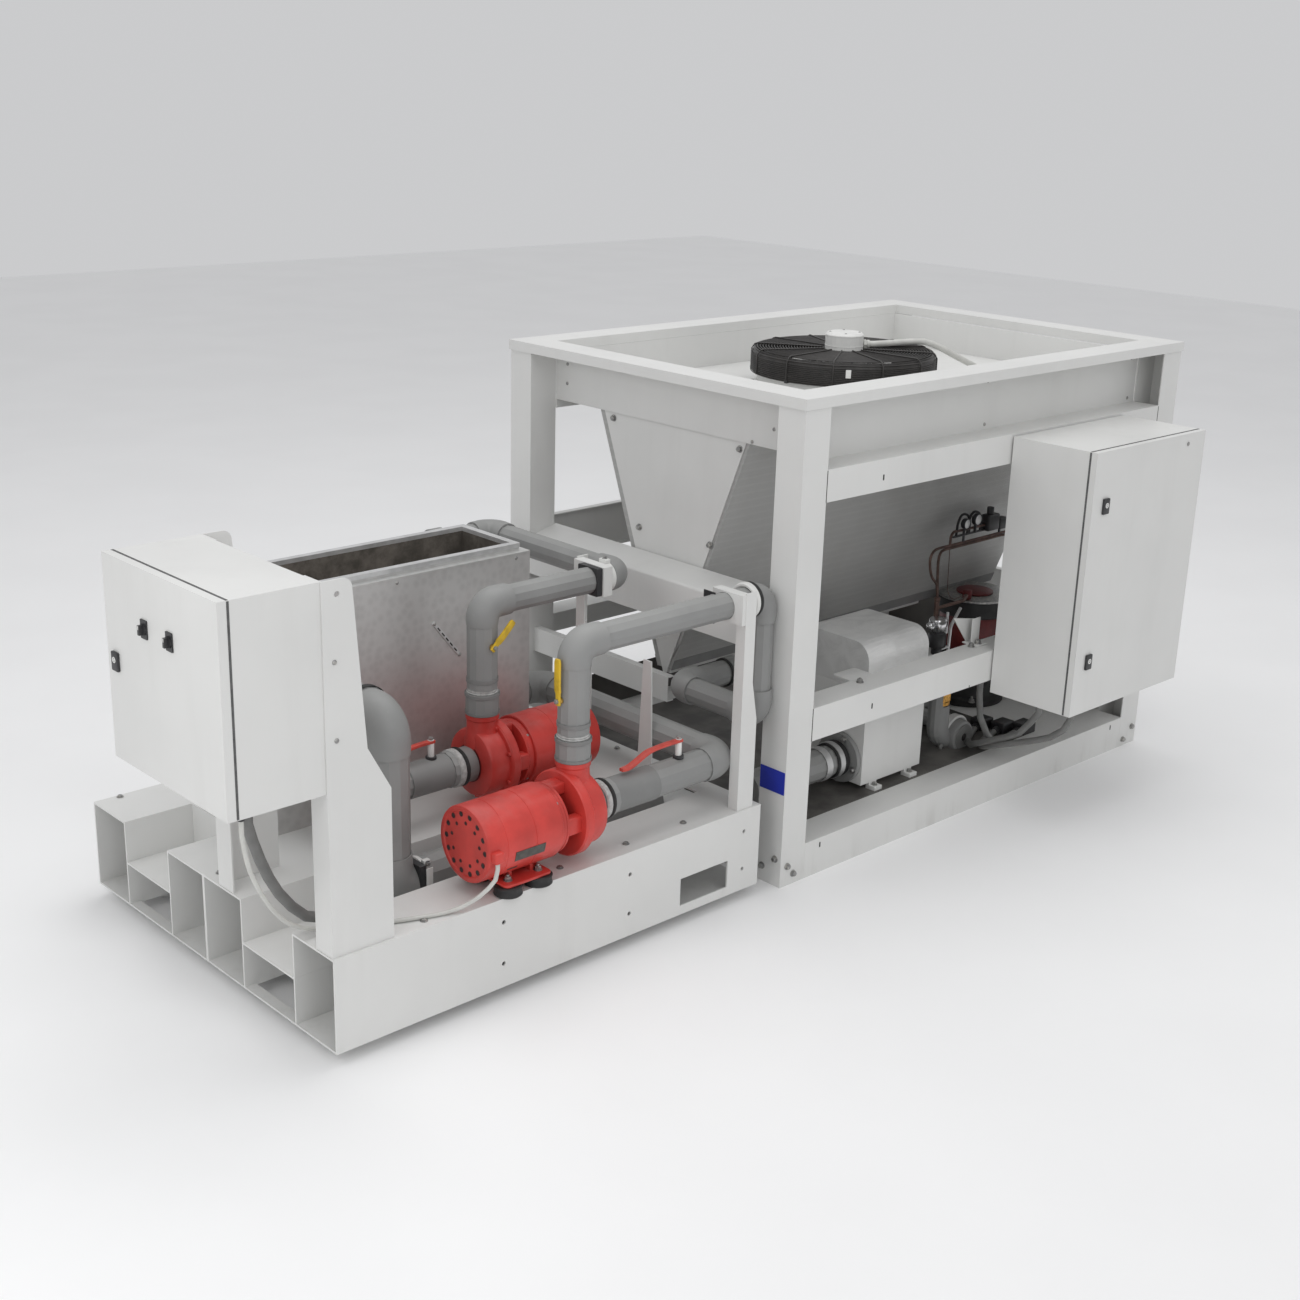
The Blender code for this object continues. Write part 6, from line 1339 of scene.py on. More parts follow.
class CHILLER_OT_fan(bpy.types.Operator):
    """The wire guard with its dense rings, the cap's gland, its ties and its feet."""

    bl_idname = "chiller.fan"
    bl_label = "Fan"

    def execute(self, context):
        wire = sizes().guard_wire
        x, y = FAN
        top = DECK + 0.118
        low = DECK + 0.045
        outer = 0.2905
        shoulder = 0.018
        hub = 0.066
        rings = [hoop((x, y, top), radius, wire, "Z", 96, 5)
                 for radius in np.linspace(hub, outer - shoulder, sizes().guard_rings)]
        for turn in np.radians((30, 60)):
            rings.append(
                hoop((x, y, top - shoulder * (1 - math.cos(turn))),
                     outer - shoulder + shoulder * math.sin(turn), wire, "Z", 96, 5))
        rings += [hoop((x, y, z), outer, wire, "Z", 96, 5) for z in np.linspace(low, top - shoulder, 11)]
        piece("fan_guard_rings", rings, "wire", replaces=["fan_guard"], smooth=80)
        skin = lathe_wall(
            [(outer - 0.003, low), (outer - 0.0025, top - shoulder), (outer - 0.007, top - 0.008),
             (outer - 0.013, top - 0.003)], 0.0012, (x, y, 0), 96)
        piece("fan_guard_band", skin, "wire", smooth=60)
        spoke = tube(
            np.array(
                [(x + hub, y, top + wire * 2), (x + outer - shoulder, y, top + wire * 2),
                 (x + outer - shoulder * 0.4, y, top - shoulder * 0.05),
                 (x + outer + wire * 1.2, y, top - shoulder * 0.8), (x + outer + wire * 1.4, y, low),
                 (x + outer - 0.02, y, DECK + 0.0415)]), 0.0022, 6)
        piece("fan_guard_spokes", turned_about(spoke, (x, y, 0), "Z", np.radians(np.arange(5, 365, 30))),
              "wire", smooth=60)
        arms = tube(
            np.array([(x + 0.058, y, top - 0.03), (x + 0.11, y, top - 0.052), (x + 0.27, y, top - 0.058)]),
            0.0034, 8)
        piece("fan_motor_arms", turned_about(arms, (x, y, 0), "Z", np.radians(np.arange(20, 380, 45))),
              "wire", smooth=60)
        tie = tube(
            np.array([(x + 0.056, y, top - 0.01), (x + 0.072, y, top - 0.022), (x + 0.092, y, top - 0.04)]),
            0.0022, 6)
        piece("fan_ties", turned_about(tie, (x, y, 0), "Z", np.radians((-100, -84, -62, -50, -34))),
              "white")
        feet = block((x + outer - 0.012, y - 0.006, DECK + 0.04),
                     (x + outer + 0.0045, y + 0.006, DECK + 0.049), 0.002)
        piece("fan_guard_feet", turned_about(feet, (x, y, 0), "Z", np.radians(np.arange(5, 365, 60))),
              "plastic")
        clip = block((x + outer + 0.0018, y - 0.008, top - 0.045),
                     (x + outer + 0.005, y + 0.008, top - 0.02), 0.0015)
        piece("fan_clip", turned_about(clip, (x, y, 0), "Z", [math.radians(-136)]), "white")
        cap_top = CAP[1][2]
        trim = [hoop((x, y, cap_top - 0.0085), 0.0602, 0.0009, "Z", 64, 6),
                hoop((x, y, cap_top - 0.04), 0.0602, 0.0009, "Z", 64, 6)]
        piece("fan_cap_seams", trim, "white")
        piece("fan_cap_screws", screws(on_circle((x, y, cap_top), 0.046, (45, 135, 225, 315)), "Z", 0.008),
              "zinc")
        gland = joined(
            [drum((x + 0.0595, y, cap_top - 0.02), 0.0115, 0.013, "X", 0.002, 6),
             drum((x + 0.072, y, cap_top - 0.02), 0.009, 0.01, "X", 0.003, 20)])
        piece("fan_gland", turned_about(gland, (x, y, 0), "Z", [math.radians(8)]), "plastic")
        sleeve_shape = joined(
            [collar((x + 0.06, y, DECK + 0.134), 0.0103, 0.015, 0.011, "X", 0.002, 6),
             collar((x + 0.071, y, DECK + 0.134), 0.0103, 0.013, 0.009, "X", 0.003, 20)])
        piece("fan_conduit_gland",
              turned_about(sleeve_shape, (x, y, 0), "Z", [math.radians(FAN_CABLE_TURN)]), "sleeve")
        deck_ring = [hoop((x, y, DECK + 0.0402), 0.2665, 0.0022, "Z", 96, 8),
                     collar((x, y, DECK + SEAT), 0.2702, 0.296, 0.003, "Z", 0.001, 96)]
        piece("fan_deck_ring", deck_ring, "paint")
        spots = on_circle((x, y, DECK + 0.0032), 0.283, np.arange(15, 375, 30))
        piece("fan_ring_bolts", bolts(spots, "Z", 0.011), "zinc")
        turns = np.linspace(0, 2 * math.pi, sizes().fan_blades, endpoint=False)
        piece("fan_blades", turned_about(blade(np.linspace(0, 1, 14)), (x, y, 0), "Z", turns), "blade",
              "fan", replaces=["fan_rotor"], smooth=50)
        hub_shape = lathe(
            [(0, -0.024), (0.058, -0.024), (0.068, -0.018), (0.07, -0.008), (0.07, 0.016), (0.067, 0.022),
             (0.058, 0.0245), (0, 0.0245)], (x, y, HUB_Z), "Z", 48)
        piece("fan_hub", hub_shape, "blade", "fan")
        return {"FINISHED"}


def lathe_wall(profile, thickness, centre, steps):
    """A thin wall of revolution: the profile outside, and again inside by the thickness."""
    profile = np.asarray(profile, float)
    inner = profile[::-1] - (thickness, 0)
    loop = np.concatenate([profile, inner])
    u = np.linspace(0, 2 * math.pi, steps, endpoint=False)
    points = np.stack([loop[:, :1] * np.cos(u), loop[:, :1] * np.sin(u),
                       np.broadcast_to(loop[:, 1:], (len(loop), steps))], -1)
    return ring_rows(points + np.asarray(centre, float), round_v=True)


def blade(u):
    """One fan blade: chord and twist change with u, which runs from 0 at the hub to 1 at the tip.

    A section is chord * s along its raked chord line with a camber of 4 s (1 - s), 2 mm thick.
    """
    s = np.linspace(0, 1, 10)
    radius = 0.064 + 0.176 * u
    chord = 0.085 + 0.050 * u - 0.018 * u ** 3
    rake = np.radians(24 - 11 * u)
    lean = 0.18 * u ** 1.5
    camber = 0.010 * (1 - 0.4 * u)
    across = (s[None] - 0.5) * chord[:, None]
    lift = across * np.sin(rake)[:, None] + camber[:, None] * 4 * (s * (1 - s))[None]
    lift = np.clip(lift, -0.028, 0.024)
    angle = across * np.cos(rake)[:, None] / radius[:, None] + lean[:, None]
    thin = 0.0011 * (0.25 + (4 * s * (1 - s)) ** 0.5)[None] * np.ones_like(lift)
    upper = np.stack([radius[:, None] * np.cos(angle), radius[:, None] * np.sin(angle), lift + thin], -1)
    lower = np.stack([radius[:, None] * np.cos(angle), radius[:, None] * np.sin(angle), lift - thin], -1)
    loop = np.concatenate([upper, lower[:, ::-1]], axis=1)
    return ring_rows(loop + np.array((FAN[0], FAN[1], HUB_Z)))


def sheet(path, thickness):
    """The outline of a folded sheet: a path, and back again one thickness to its left."""
    path = np.asarray(path, float)
    along = np.diff(path, axis=0)
    along /= np.linalg.norm(along, axis=1, keepdims=True)
    normal = np.column_stack([-along[:, 1], along[:, 0]])
    before = np.vstack([normal[:1], normal])
    mitre = before + np.vstack([normal, normal[-1:]])
    mitre *= thickness / (mitre * before).sum(axis=1, keepdims=True)
    return np.concatenate([path, (path + mitre)[::-1]])


def folded(outline, start, end, axis):
    """An outline (u, v) carried straight along an axis, for sections that aren't convex."""
    outline = np.asarray(outline, float)
    rows = np.stack([np.column_stack([outline, np.full(len(outline), at)]) for at in (start, end)])
    return ring_rows(rows @ AXES[axis].T)


V_LOW, V_HIGH = node_box("coil_hopper")
V_CENTRE_X = (V_LOW[0] + V_HIGH[0]) / 2
V_MIDDLE = (V_LOW[1] + V_HIGH[1]) / 2
V_TOP_HALF = (V_HIGH[1] - V_LOW[1]) / 2
V_SLOPE = 0.382
V_TIP = 0.460
V_TRAY = 0.500  # height of the flat foot between the coils
V_FOOT = 0.560  # height from which the foot's sides slope down to it
COIL_PROUD = {-1: 0.012, 1: 0.022}  # how far the right and the left coil stand out of the V
COIL_DEEP = 0.036
FOLD = 0.0035  # thickness of the folded rails
WALL = 0.004  # thickness of the upper panels
SHELF_DEEP = 0.0963  # from the long panels' outer face to the wall of the fan's well
END_GAP = 0.0034  # from the V's ends to its coils


def v_half(z):
    """Half the width of the V at the height z."""
    return V_TOP_HALF - V_SLOPE * (V_HIGH[2] - z)


class CHILLER_OT_coil(bpy.types.Operator):
    """The V of the two slanted coils with its end plates, foot and drain, and the rails around it."""

    bl_idname = "chiller.coil"
    bl_label = "V coil"

    def execute(self, context):
        self.hopper()
        self.rails()
        self.panels()
        return {"FINISHED"}

    def hopper(self):
        """End plates, foot, drain, and both coils with their lips."""
        x0, x1 = V_LOW[0], V_HIGH[0]
        top = V_HIGH[2]
        outline = [(V_MIDDLE - v_half(top), top), (V_MIDDLE - v_half(V_TIP), V_TIP),
                   (V_MIDDLE + v_half(V_TIP), V_TIP), (V_MIDDLE + v_half(top), top)]
        ends = [plate(outline, (x, 0, 0), 0.003, "X", 0.0006) for x in (x0, x1 - 0.003)]
        foot = [(V_MIDDLE - v_half(V_FOOT) - COIL_PROUD[-1], V_FOOT), (V_MIDDLE - 0.0225, V_TRAY),
                (V_MIDDLE + 0.0225, V_TRAY), (V_MIDDLE + v_half(V_FOOT) + COIL_PROUD[-1], V_FOOT)]
        ends.append(folded(sheet(foot, 0.003), x0 + END_GAP, x1 - END_GAP, "X"))
        piece("v_hopper", ends, "paint", replaces=["coil_hopper"])
        drain = [(V_MIDDLE - 0.022, V_TRAY - 0.0004), (V_MIDDLE - 0.009, V_TIP - 0.004),
                 (V_MIDDLE + 0.009, V_TIP - 0.004), (V_MIDDLE + 0.022, V_TRAY - 0.0004)]
        piece("v_drain", plate(drain, (x0 + 0.014, 0, 0), 1.2, "X", 0.002), "paint")
        for side, name in ((-1, "coil_right"), (1, "coil_left")):
            proud = COIL_PROUD[side]
            outer = [V_MIDDLE + side * (v_half(z) + proud) for z in (V_TIP + 0.014, top)]
            inner = [at - side * COIL_DEEP for at in outer]
            section = [(outer[0], V_TIP + 0.014), (outer[1], top), (inner[1], top),
                       (inner[0], V_TIP + 0.014)]
            piece("fins_" + name, folded(section, x0 + END_GAP, x1 - END_GAP, "X"), "fins", replaces=[name])
            lips = []
            for z in (V_TIP + 0.012, top - 0.036):
                face = [V_MIDDLE + side * (v_half(h) + proud + 0.002) for h in (z, z + 0.034)]
                lips.append(
                    folded(
                        [(face[0], z), (face[1], z + 0.034), (face[1] - side * 0.0018, z + 0.034),
                         (face[0] - side * 0.0018, z)], x0 + 0.003, x1 - 0.003, "X"))
            piece("lips_" + name, lips, "coil_frame")

    def rails(self):
        """The folded rails at the V's height and below it, and the low sheets, dark as painted shade of the
        interior.
        """
        low, high = node_box("front_rail")
        corner = np.linspace(0, math.pi / 2, 6)
        bend = [(high[2] - 0.006 + 0.009 * math.sin(a), low[0] + 0.009 * (1 - math.cos(a))) for a in corner]
        face = [(low[2], low[0])] + bend + [(0.8225, V_LOW[0] - 0.0035), (0.807, V_LOW[0] - 0.002)]
        piece("folded_front_rail", folded(sheet(face, FOLD), low[1], high[1], "Y"), "paint",
              replaces=["front_rail"])
        base = node_box("base_frame")
        frame_high = base[1][1]
        panels = node_box("upper_panels")
        web = [(frame_high - 0.024, 0.684), (frame_high, 0.684), (frame_high, 0.828),
               (frame_high - 0.024, 0.828)]
        piece("far_upper_rail", folded(sheet(web, FOLD), panels[0][0], panels[1][0], "X"), "paint")
        tall = (0.415, 0.493)
        front = [(tall[0], base[0][0] + 0.046), (tall[0], base[0][0] + 0.02), (tall[1], base[0][0] + 0.02),
                 (tall[1], base[0][0] + 0.046)]
        rear = [(z + 0.006, 2 * V_CENTRE_X - x) for z, x in reversed(front)]
        rails = [folded(sheet(front, FOLD), 0.49, frame_high - 0.09, "Y"),
                 folded(sheet(rear, FOLD), base[0][1] + 0.09, frame_high - 0.09, "Y")]
        piece("low_cross_rails", rails, "paint")
        # Sheets closing the far side and the rear low down; their near black is painted shade.
        sheets = [block((base[0][0] + 0.092, frame_high - 0.006, base[1][2] + 0.0005),
                        (base[1][0] - 0.092, frame_high - 0.0045, 0.235), 0.0004),
                  block((base[1][0] - 0.006, base[0][1] + 0.092, base[1][2] + 0.0005),
                        (base[1][0] - 0.0045, frame_high - 0.092, 0.4225), 0.0004)]
        piece("low_back_sheets", sheets, "low_shade_sheet")

    def panels(self):
        """The upper panels: both long ones have a shelf, and the near one also a face down from it."""
        (x_low, y_low, z_low), (x_high, y_high, z_high) = node_box("upper_panels")
        wall, far_wall = y_low + SHELF_DEEP, y_high - SHELF_DEEP
        shelf, far_shelf = 1.2, 1.197
        near = [(y_low, z_low), (y_low, shelf), (wall, shelf), (wall, z_high)]
        far = [(far_wall, z_high), (far_wall, far_shelf), (y_high, far_shelf)]
        walls = [folded(sheet(near, -WALL), x_low, x_high, "X"),
                 folded(sheet(far, -WALL), x_low, x_high, "X")]
        for x in (x_low + 0.001, x_high - 0.001 - WALL):
            walls.append(
                block((x, wall + 0.001, 1.22), (x + WALL, far_wall - 0.001, z_high - 0.001), 0.0008))
        piece("folded_upper_panels", walls, "paint", replaces=["upper_panels"])


COMPRESSOR = (2.96, 0.47)
GAUGE_Y = 0.392  # the tubes and gauges stand in one plane
INLET_Y = 0.215  # and so do the evaporator's inlet and the suction bend


class CHILLER_OT_inside(bpy.types.Operator):
    """Fittings around the evaporator and the compressor."""

    bl_idname = "chiller.inside"
    bl_label = "Refrigerant fittings"

    def execute(self, context):
        for step in (self.compressor, self.tubes, self.filter, self.gauges, self.bend, self.inlet,
                     self.floor, self.wrapping):
            step()
        return {"FINISHED"}

    def compressor(self):
        """The shell in red darkened as painted shade, on its black collar and a black foot that runs up the
        shell as painted shade.
        """
        x, y = COMPRESSOR
        shell = drum((x, y, 0.3), 0.1145, 0.1302, "Z", 0.001, 72)
        axis = (x, y, 0)
        # The foot runs up the shell to 0.3 m in black rubber: below the red, the shell's black is painted
        # shade.
        foot = lathe(
            [(0, 0.1108), (0.128, 0.1108), (0.13, 0.114), (0.13, 0.134), (0.126, 0.138), (0.116, 0.142),
             (0.1145, 0.15), (0.1145, 0.299), (0, 0.3)], axis, "Z", 72)
        cap = lathe(
            [(0, 0.496), (0.062, 0.496), (0.064, 0.498), (0.064, 0.501), (0.058, 0.5035), (0, 0.505)], axis,
            "Z", 64)
        piece("compressor_shell", [shell, cap], "shade_dark_red", replaces=["compressor"])
        band = lathe(
            [(0, 0.43), (0.124, 0.43), (0.128, 0.433), (0.128, 0.486), (0.126, 0.4885), (0, 0.4885)], axis,
            "Z", 72)
        piece("compressor_collar", [band, foot], "rubber")
        top = lathe(
            [(0, 0.488), (0.1295, 0.488), (0.13, 0.489), (0.13, 0.495), (0.128, 0.4965), (0, 0.4965)], axis,
            "Z", 72)
        piece("compressor_plate", top, "zinc")
        feet = [(x + sx * 0.098, y + sy * 0.098, 0.1345) for sx in (-1, 1) for sy in (-1, 1)]
        piece("compressor_bolts", bolts(feet, "Z", 0.016, thread=0.01), "zinc")
        sight = joined(
            [drum((x - 0.098, y - 0.04, 0.496), 0.016, 0.034, "Z", 0.005, 24),
             drum((x + 0.06, y - 0.08, 0.496), 0.008, 0.028, "Z", 0.002, 20)])
        piece("compressor_ports", sight, "shade_dark_red")

    def tubes(self):
        """The brown tubes up from the liquid line, along the gauges and down to the compressor."""
        line_y = GAUGE_Y
        high = [[(2.644, 0.545), (2.635, 0.596), (2.604, 0.63), (2.59, 0.667), (2.589, 0.696),
                 (2.603, 0.716), (2.63, 0.7225), (2.7, 0.7225), (2.88, 0.7225), (3.0, 0.7225),
                 (3.035, 0.712), (3.045, 0.68), (3.045, 0.56), (3.045, 0.4955)],
                [(2.644, 0.545), (2.637, 0.61), (2.633, 0.677), (2.64, 0.704), (2.66, 0.7125),
                 (2.72, 0.713), (2.88, 0.713), (2.985, 0.713), (3.02, 0.703), (3.03, 0.675), (3.03, 0.56),
                 (3.03, 0.4955)],
                [(2.689, 0.7225), (2.69, 0.75), (2.704, 0.7665), (2.74, 0.7665), (2.82, 0.766),
                 (2.93, 0.7655)]]
        runs = [tube(eased([(px, line_y, pz) for px, pz in run], 0.012), 0.0046, 12) for run in high]
        runs.append(
            tube(eased(
                [(2.69, line_y, 0.713), (2.692, line_y, 0.64), (2.7, line_y, 0.56), (2.76, 0.405, 0.52),
                 (2.862, 0.428, 0.518)], 0.015), 0.0014, 8))
        post = [drum((2.644, line_y, 0.37), 0.0085, 0.175, "Z", 0.001, 20),
                collar((2.644, line_y, 0.538), 0.004, 0.0105, 0.014, "Z", 0.002, 20),
                tube(bends([(2.644, line_y, 0.513), (2.79, line_y, 0.513), (2.862, 0.43, 0.513)], 0.03),
                     0.006, 14)]
        piece("brown_tubes", runs + post, "brown_tube", replaces=["copper_pipe"], smooth=60)

    def filter(self):
        """The filter's cup and body with its lines."""
        cx, cy = 2.608, 0.352
        cup = lathe(
            [(0, 0.444), (0.016, 0.444), (0.022, 0.452), (0.03, 0.47), (0.031, 0.476), (0.031, 0.49),
             (0.028, 0.495), (0.014, 0.498), (0, 0.4985)], (cx, cy, 0), "Z", 48)
        ball = lathe(
            [(0, -0.015), (0.008, -0.013), (0.0135, -0.007), (0.015, 0), (0.0135, 0.007), (0.008, 0.013),
             (0, 0.015)], (cx - 0.046, cy - 0.004, 0.478), "Z", 32)
        neck = tube(np.array([(cx - 0.046, cy - 0.004, 0.478), (cx, cy, 0.478)]), 0.006, 12)
        piece("filter_cup", [cup, ball, neck], "bright")
        piece("filter_body", [drum((cx, cy, 0.395), 0.03, 0.05, "Z", 0.006, 40),
                              drum((cx, cy, 0.37), 0.018, 0.026, "Z", 0.004, 32)], "plastic")
        arm = tube(bends([(2.249, cy, 0.345), (cx, cy, 0.345), (cx, cy, 0.371)], 0.02), 0.012, 20)
        piece("filter_line", arm, "pipe")
        struts = [tube(np.array([(cx + 0.033, cy - 0.01, 0.512), (cx + 0.033, cy - 0.01, 0.44)]), 0.005,
                       12),
                  tube(
                      eased(
                          [(2.718, cy - 0.004, 0.512), (2.69, cy - 0.004, 0.478), (2.672, cy - 0.004, 0.45),
                           (2.668, cy - 0.004, 0.372)], 0.01), 0.0055, 12),
                  tube(np.array([(cx, cy - 0.002, 0.385), (2.668, cy - 0.004, 0.385)]), 0.0055, 12),
                  tube(np.array([(cx + 0.02, cy - 0.006, 0.442), (cx + 0.034, cy - 0.01, 0.442)]), 0.005,
                       12)]
        piece("filter_lines", struts, "bright_sheet", smooth=60)

    def gauges(self):
        """Two gauges and a valve block on a bar."""
        gauge_y = GAUGE_Y
        bar = block((2.7, gauge_y - 0.004, 0.746), (3.0, gauge_y + 0.004, 0.752), 0.001)
        legs = [block((px - 0.004, gauge_y - 0.003, 0.724), (px + 0.004, gauge_y + 0.003, 0.747), 0.001)
                for px in (2.76, 2.96)]
        piece("gauge_bar", [bar] + legs, "plastic")
        dials, faces, arches = [], [], []
        for px, pz, radius in ((2.752, 0.79, 0.018), (2.812, 0.796, 0.02)):
            dials.append(
                joined(
                    [
                        drum((px, gauge_y - 0.002, pz), radius, 0.015, "-Y", 0.003, 40),
                        collar(
                            (px, gauge_y - 0.0165, pz), radius - 0.003, radius + 0.0005, 0.003, "-Y", 0.001,
                            40), drum((px, gauge_y - 0.006, 0.751), 0.005, pz - 0.766, "Z", 0.001, 16)]))
            faces.append(drum((px, gauge_y - 0.0166, pz), radius - 0.003, 0.001, "-Y", 0.0002, 40))
            arches.append(
                tube(
                    eased(
                        [(px - 0.034, gauge_y, 0.75), (px - 0.03, gauge_y, 0.79),
                         (px - 0.005, gauge_y + 0.004, 0.818), (px + 0.03, gauge_y + 0.004, 0.81),
                         (px + 0.036, gauge_y, 0.78), (px + 0.036, gauge_y, 0.75)], 0.012), 0.0042, 12))
        piece("gauges", dials, "plastic")
        piece("gauge_faces", faces, "bright_sheet")
        piece("gauge_tubes", arches, "rubber", smooth=60)
        valve = joined(
            [block((2.872, gauge_y - 0.018, 0.744), (2.935, gauge_y + 0.018, 0.8), 0.006),
             drum((2.9, gauge_y, 0.798), 0.012, 0.026, "Z", 0.002, 24),
             block((2.942, gauge_y - 0.014, 0.74), (2.985, gauge_y + 0.014, 0.78), 0.004)])
        piece("gauge_valve", valve, "plastic")

    def bend(self):
        """The fittings of the suction bend behind the near rail."""
        bend_y, first, low_z = INLET_Y, 2.466, 0.1389
        hub = first + 0.078
        brass = joined(
            [collar((first, bend_y, 0.278), 0.0282, 0.0335, 0.03, "Z", 0.003, 6),
             collar((first, bend_y, 0.266), 0.0282, 0.032, 0.013, "Z", 0.002, 32)])
        piece("bend_brass", brass, "orange_brass")
        elbow = joined(
            [sleeve(
                bends([(first, bend_y, 0.264), (first, bend_y, low_z), (first + 0.08, bend_y, low_z)], 0.05,
                      14), 0.028, 0.035, 48),
             sleeve(
                 bends(
                     [(first + 0.09, bend_y, low_z), (first + 0.155, bend_y, low_z),
                      (first + 0.155, bend_y + 0.08, low_z)], 0.05, 14), 0.028, 0.0335, 48),
             drum((hub, bend_y + 0.01, low_z + 0.006), 0.054, 0.06, "-Y", 0.01, 48)])
        piece("bend_sockets", elbow, "pipe")
        cover = joined(
            [collar((hub, bend_y - 0.0495, low_z + 0.006), 0.013, 0.044, 0.004, "-Y", 0.0015, 48),
             drum((first - 0.02, bend_y - 0.03, low_z - 0.008), 0.009, 0.008, "-Y", 0.003, 24)])
        piece("bend_cover", cover, "cable")
        # Dark disc: painted shade in the cover's hole.
        piece("bend_plug", drum((hub, bend_y - 0.0496, low_z + 0.006), 0.0126, 0.001, "-Y", 0.0002, 24),
              "hole_shade_and_seam")
        shoulder = collar((hub + 0.006, bend_y - 0.02, low_z + 0.01), 0.05, 0.06, 0.03, "Y", 0.003, 48)
        piece("bend_shoulder", shoulder, "paint")

    def inlet(self):
        """Bands, rubber rings and the bolted flange of the inlet pipe."""
        inlet_y, inlet_z, end = INLET_Y, 0.205, 1.9847
        piece("inlet_band", [collar((end - 0.062, inlet_y, inlet_z), 0.056, 0.0575, 0.02, "X", 0.0006, 64),
                             collar((end - 0.12, inlet_y, inlet_z), 0.05, 0.054, 0.026, "X", 0.002, 64)],
              "bright_sheet")
        piece("inlet_rubber",
              [collar((end - 0.072, inlet_y, inlet_z), 0.05, 0.0555, 0.0095, "X", 0.002, 64),
               collar((end - 0.0415, inlet_y, inlet_z), 0.05, 0.057, 0.02, "X", 0.002, 64)], "rubber")
        spots = on_circle((end - 0.0165, inlet_y, inlet_z), 0.0685, (20, 110, 200, 290), "X")
        piece("inlet_bolts", bolts(spots, "-X", 0.014), "zinc")
        piece("inlet_flange",
              lathe(
                  [(0.0, -0.0165), (0.07, -0.0165), (0.0785, -0.015), (0.0808, -0.011), (0.0808, -0.0015),
                   (0.0785, 0.0), (0, 0.0)], (end, inlet_y, inlet_z), "X", 72), "pipe")

    def floor(self):
        """The rail's tab and bracket, the stand's feet and a dark tray on the base: painted shade on the
        floor.
        """
        tab = block((1.842, 0.076, 0.508), (1.94, 0.15, 0.521), 0.002, 0.01)
        piece("rail_tab", tab, "paint")
        post = [plate([(0.613, 2.333), (0.589, 2.452), (0.5215, 2.452), (0.5215, 2.4086)], (0, 0.0905, 0),
                      0.003, "Y", 0.0006), block((2.395, 0.062, 0.5212), (2.434, 0.066, 0.605), 0.001),
                block((2.39, 0.034, 0.5212), (2.44, 0.0935, 0.525), 0.001)]
        piece("rail_bracket", post, "paint")
        piece("rail_bracket_bolts", bolts([(2.414, 0.05, 0.525)], "Z", 0.015, thread=0.004), "zinc")
        stand_bolts = bolts([(px, py, 0.1235) for px in (2.0425, 2.2125) for py in (0.122, 0.438)], "Z",
                            0.012)
        piece("stand_feet", [
            block((px - 0.0175, py - 0.018, 0.1102), (px + 0.0175, py + 0.018, 0.1236), 0.001)
            for px in (2.0425, 2.2125) for py in (0.124, 0.436)], "paint")
        piece("stand_bolts", stand_bolts, "zinc")
        base = node_box("base_frame")
        # A thin dark tray over the base: painted shade of the chiller's floor.
        tray = block((base[0][0] + 0.11, base[0][1] + 0.11, 0.1101), (2.8, base[1][1] - 0.11, 0.1112),
                     0.0003, 0.01)
        piece("floor_shade_tray", tray, "floor_shade_grey")
    def wrapping(self):
        """Three tapes around the evaporator's foil."""
        low, high = node_box("evaporator")
        a = np.linspace(0, math.pi / 2, 10)
        r = 0.0604
        arc = [(high[1] - 0.06 + r * math.cos(t), high[2] - 0.06 + r * math.sin(t)) for t in a]
        arc += [(low[1] + 0.06 - r * math.sin(t), high[2] - 0.06 + r * math.cos(t)) for t in a]
        outer = np.array([(high[1] + 0.0004, low[2] + 0.001)] + arc + [(low[1] - 0.0004, low[2] + 0.001)])
        inner = (outer - outer.mean(axis=0)) * 0.99 + outer.mean(axis=0)
        loop = np.concatenate([outer, inner[::-1]])
        tapes = []
        for start, stop in ((low[0] - 0.0005, low[0] + 0.022), (high[0] - 0.022, high[0] + 0.0005),
                            ((low[0] + high[0]) / 2 - 0.012, (low[0] + high[0]) / 2 + 0.012)):
            tapes.append(folded(loop, start, stop, "X"))
        piece("evaporator_tapes", tapes, "foil", smooth=50)


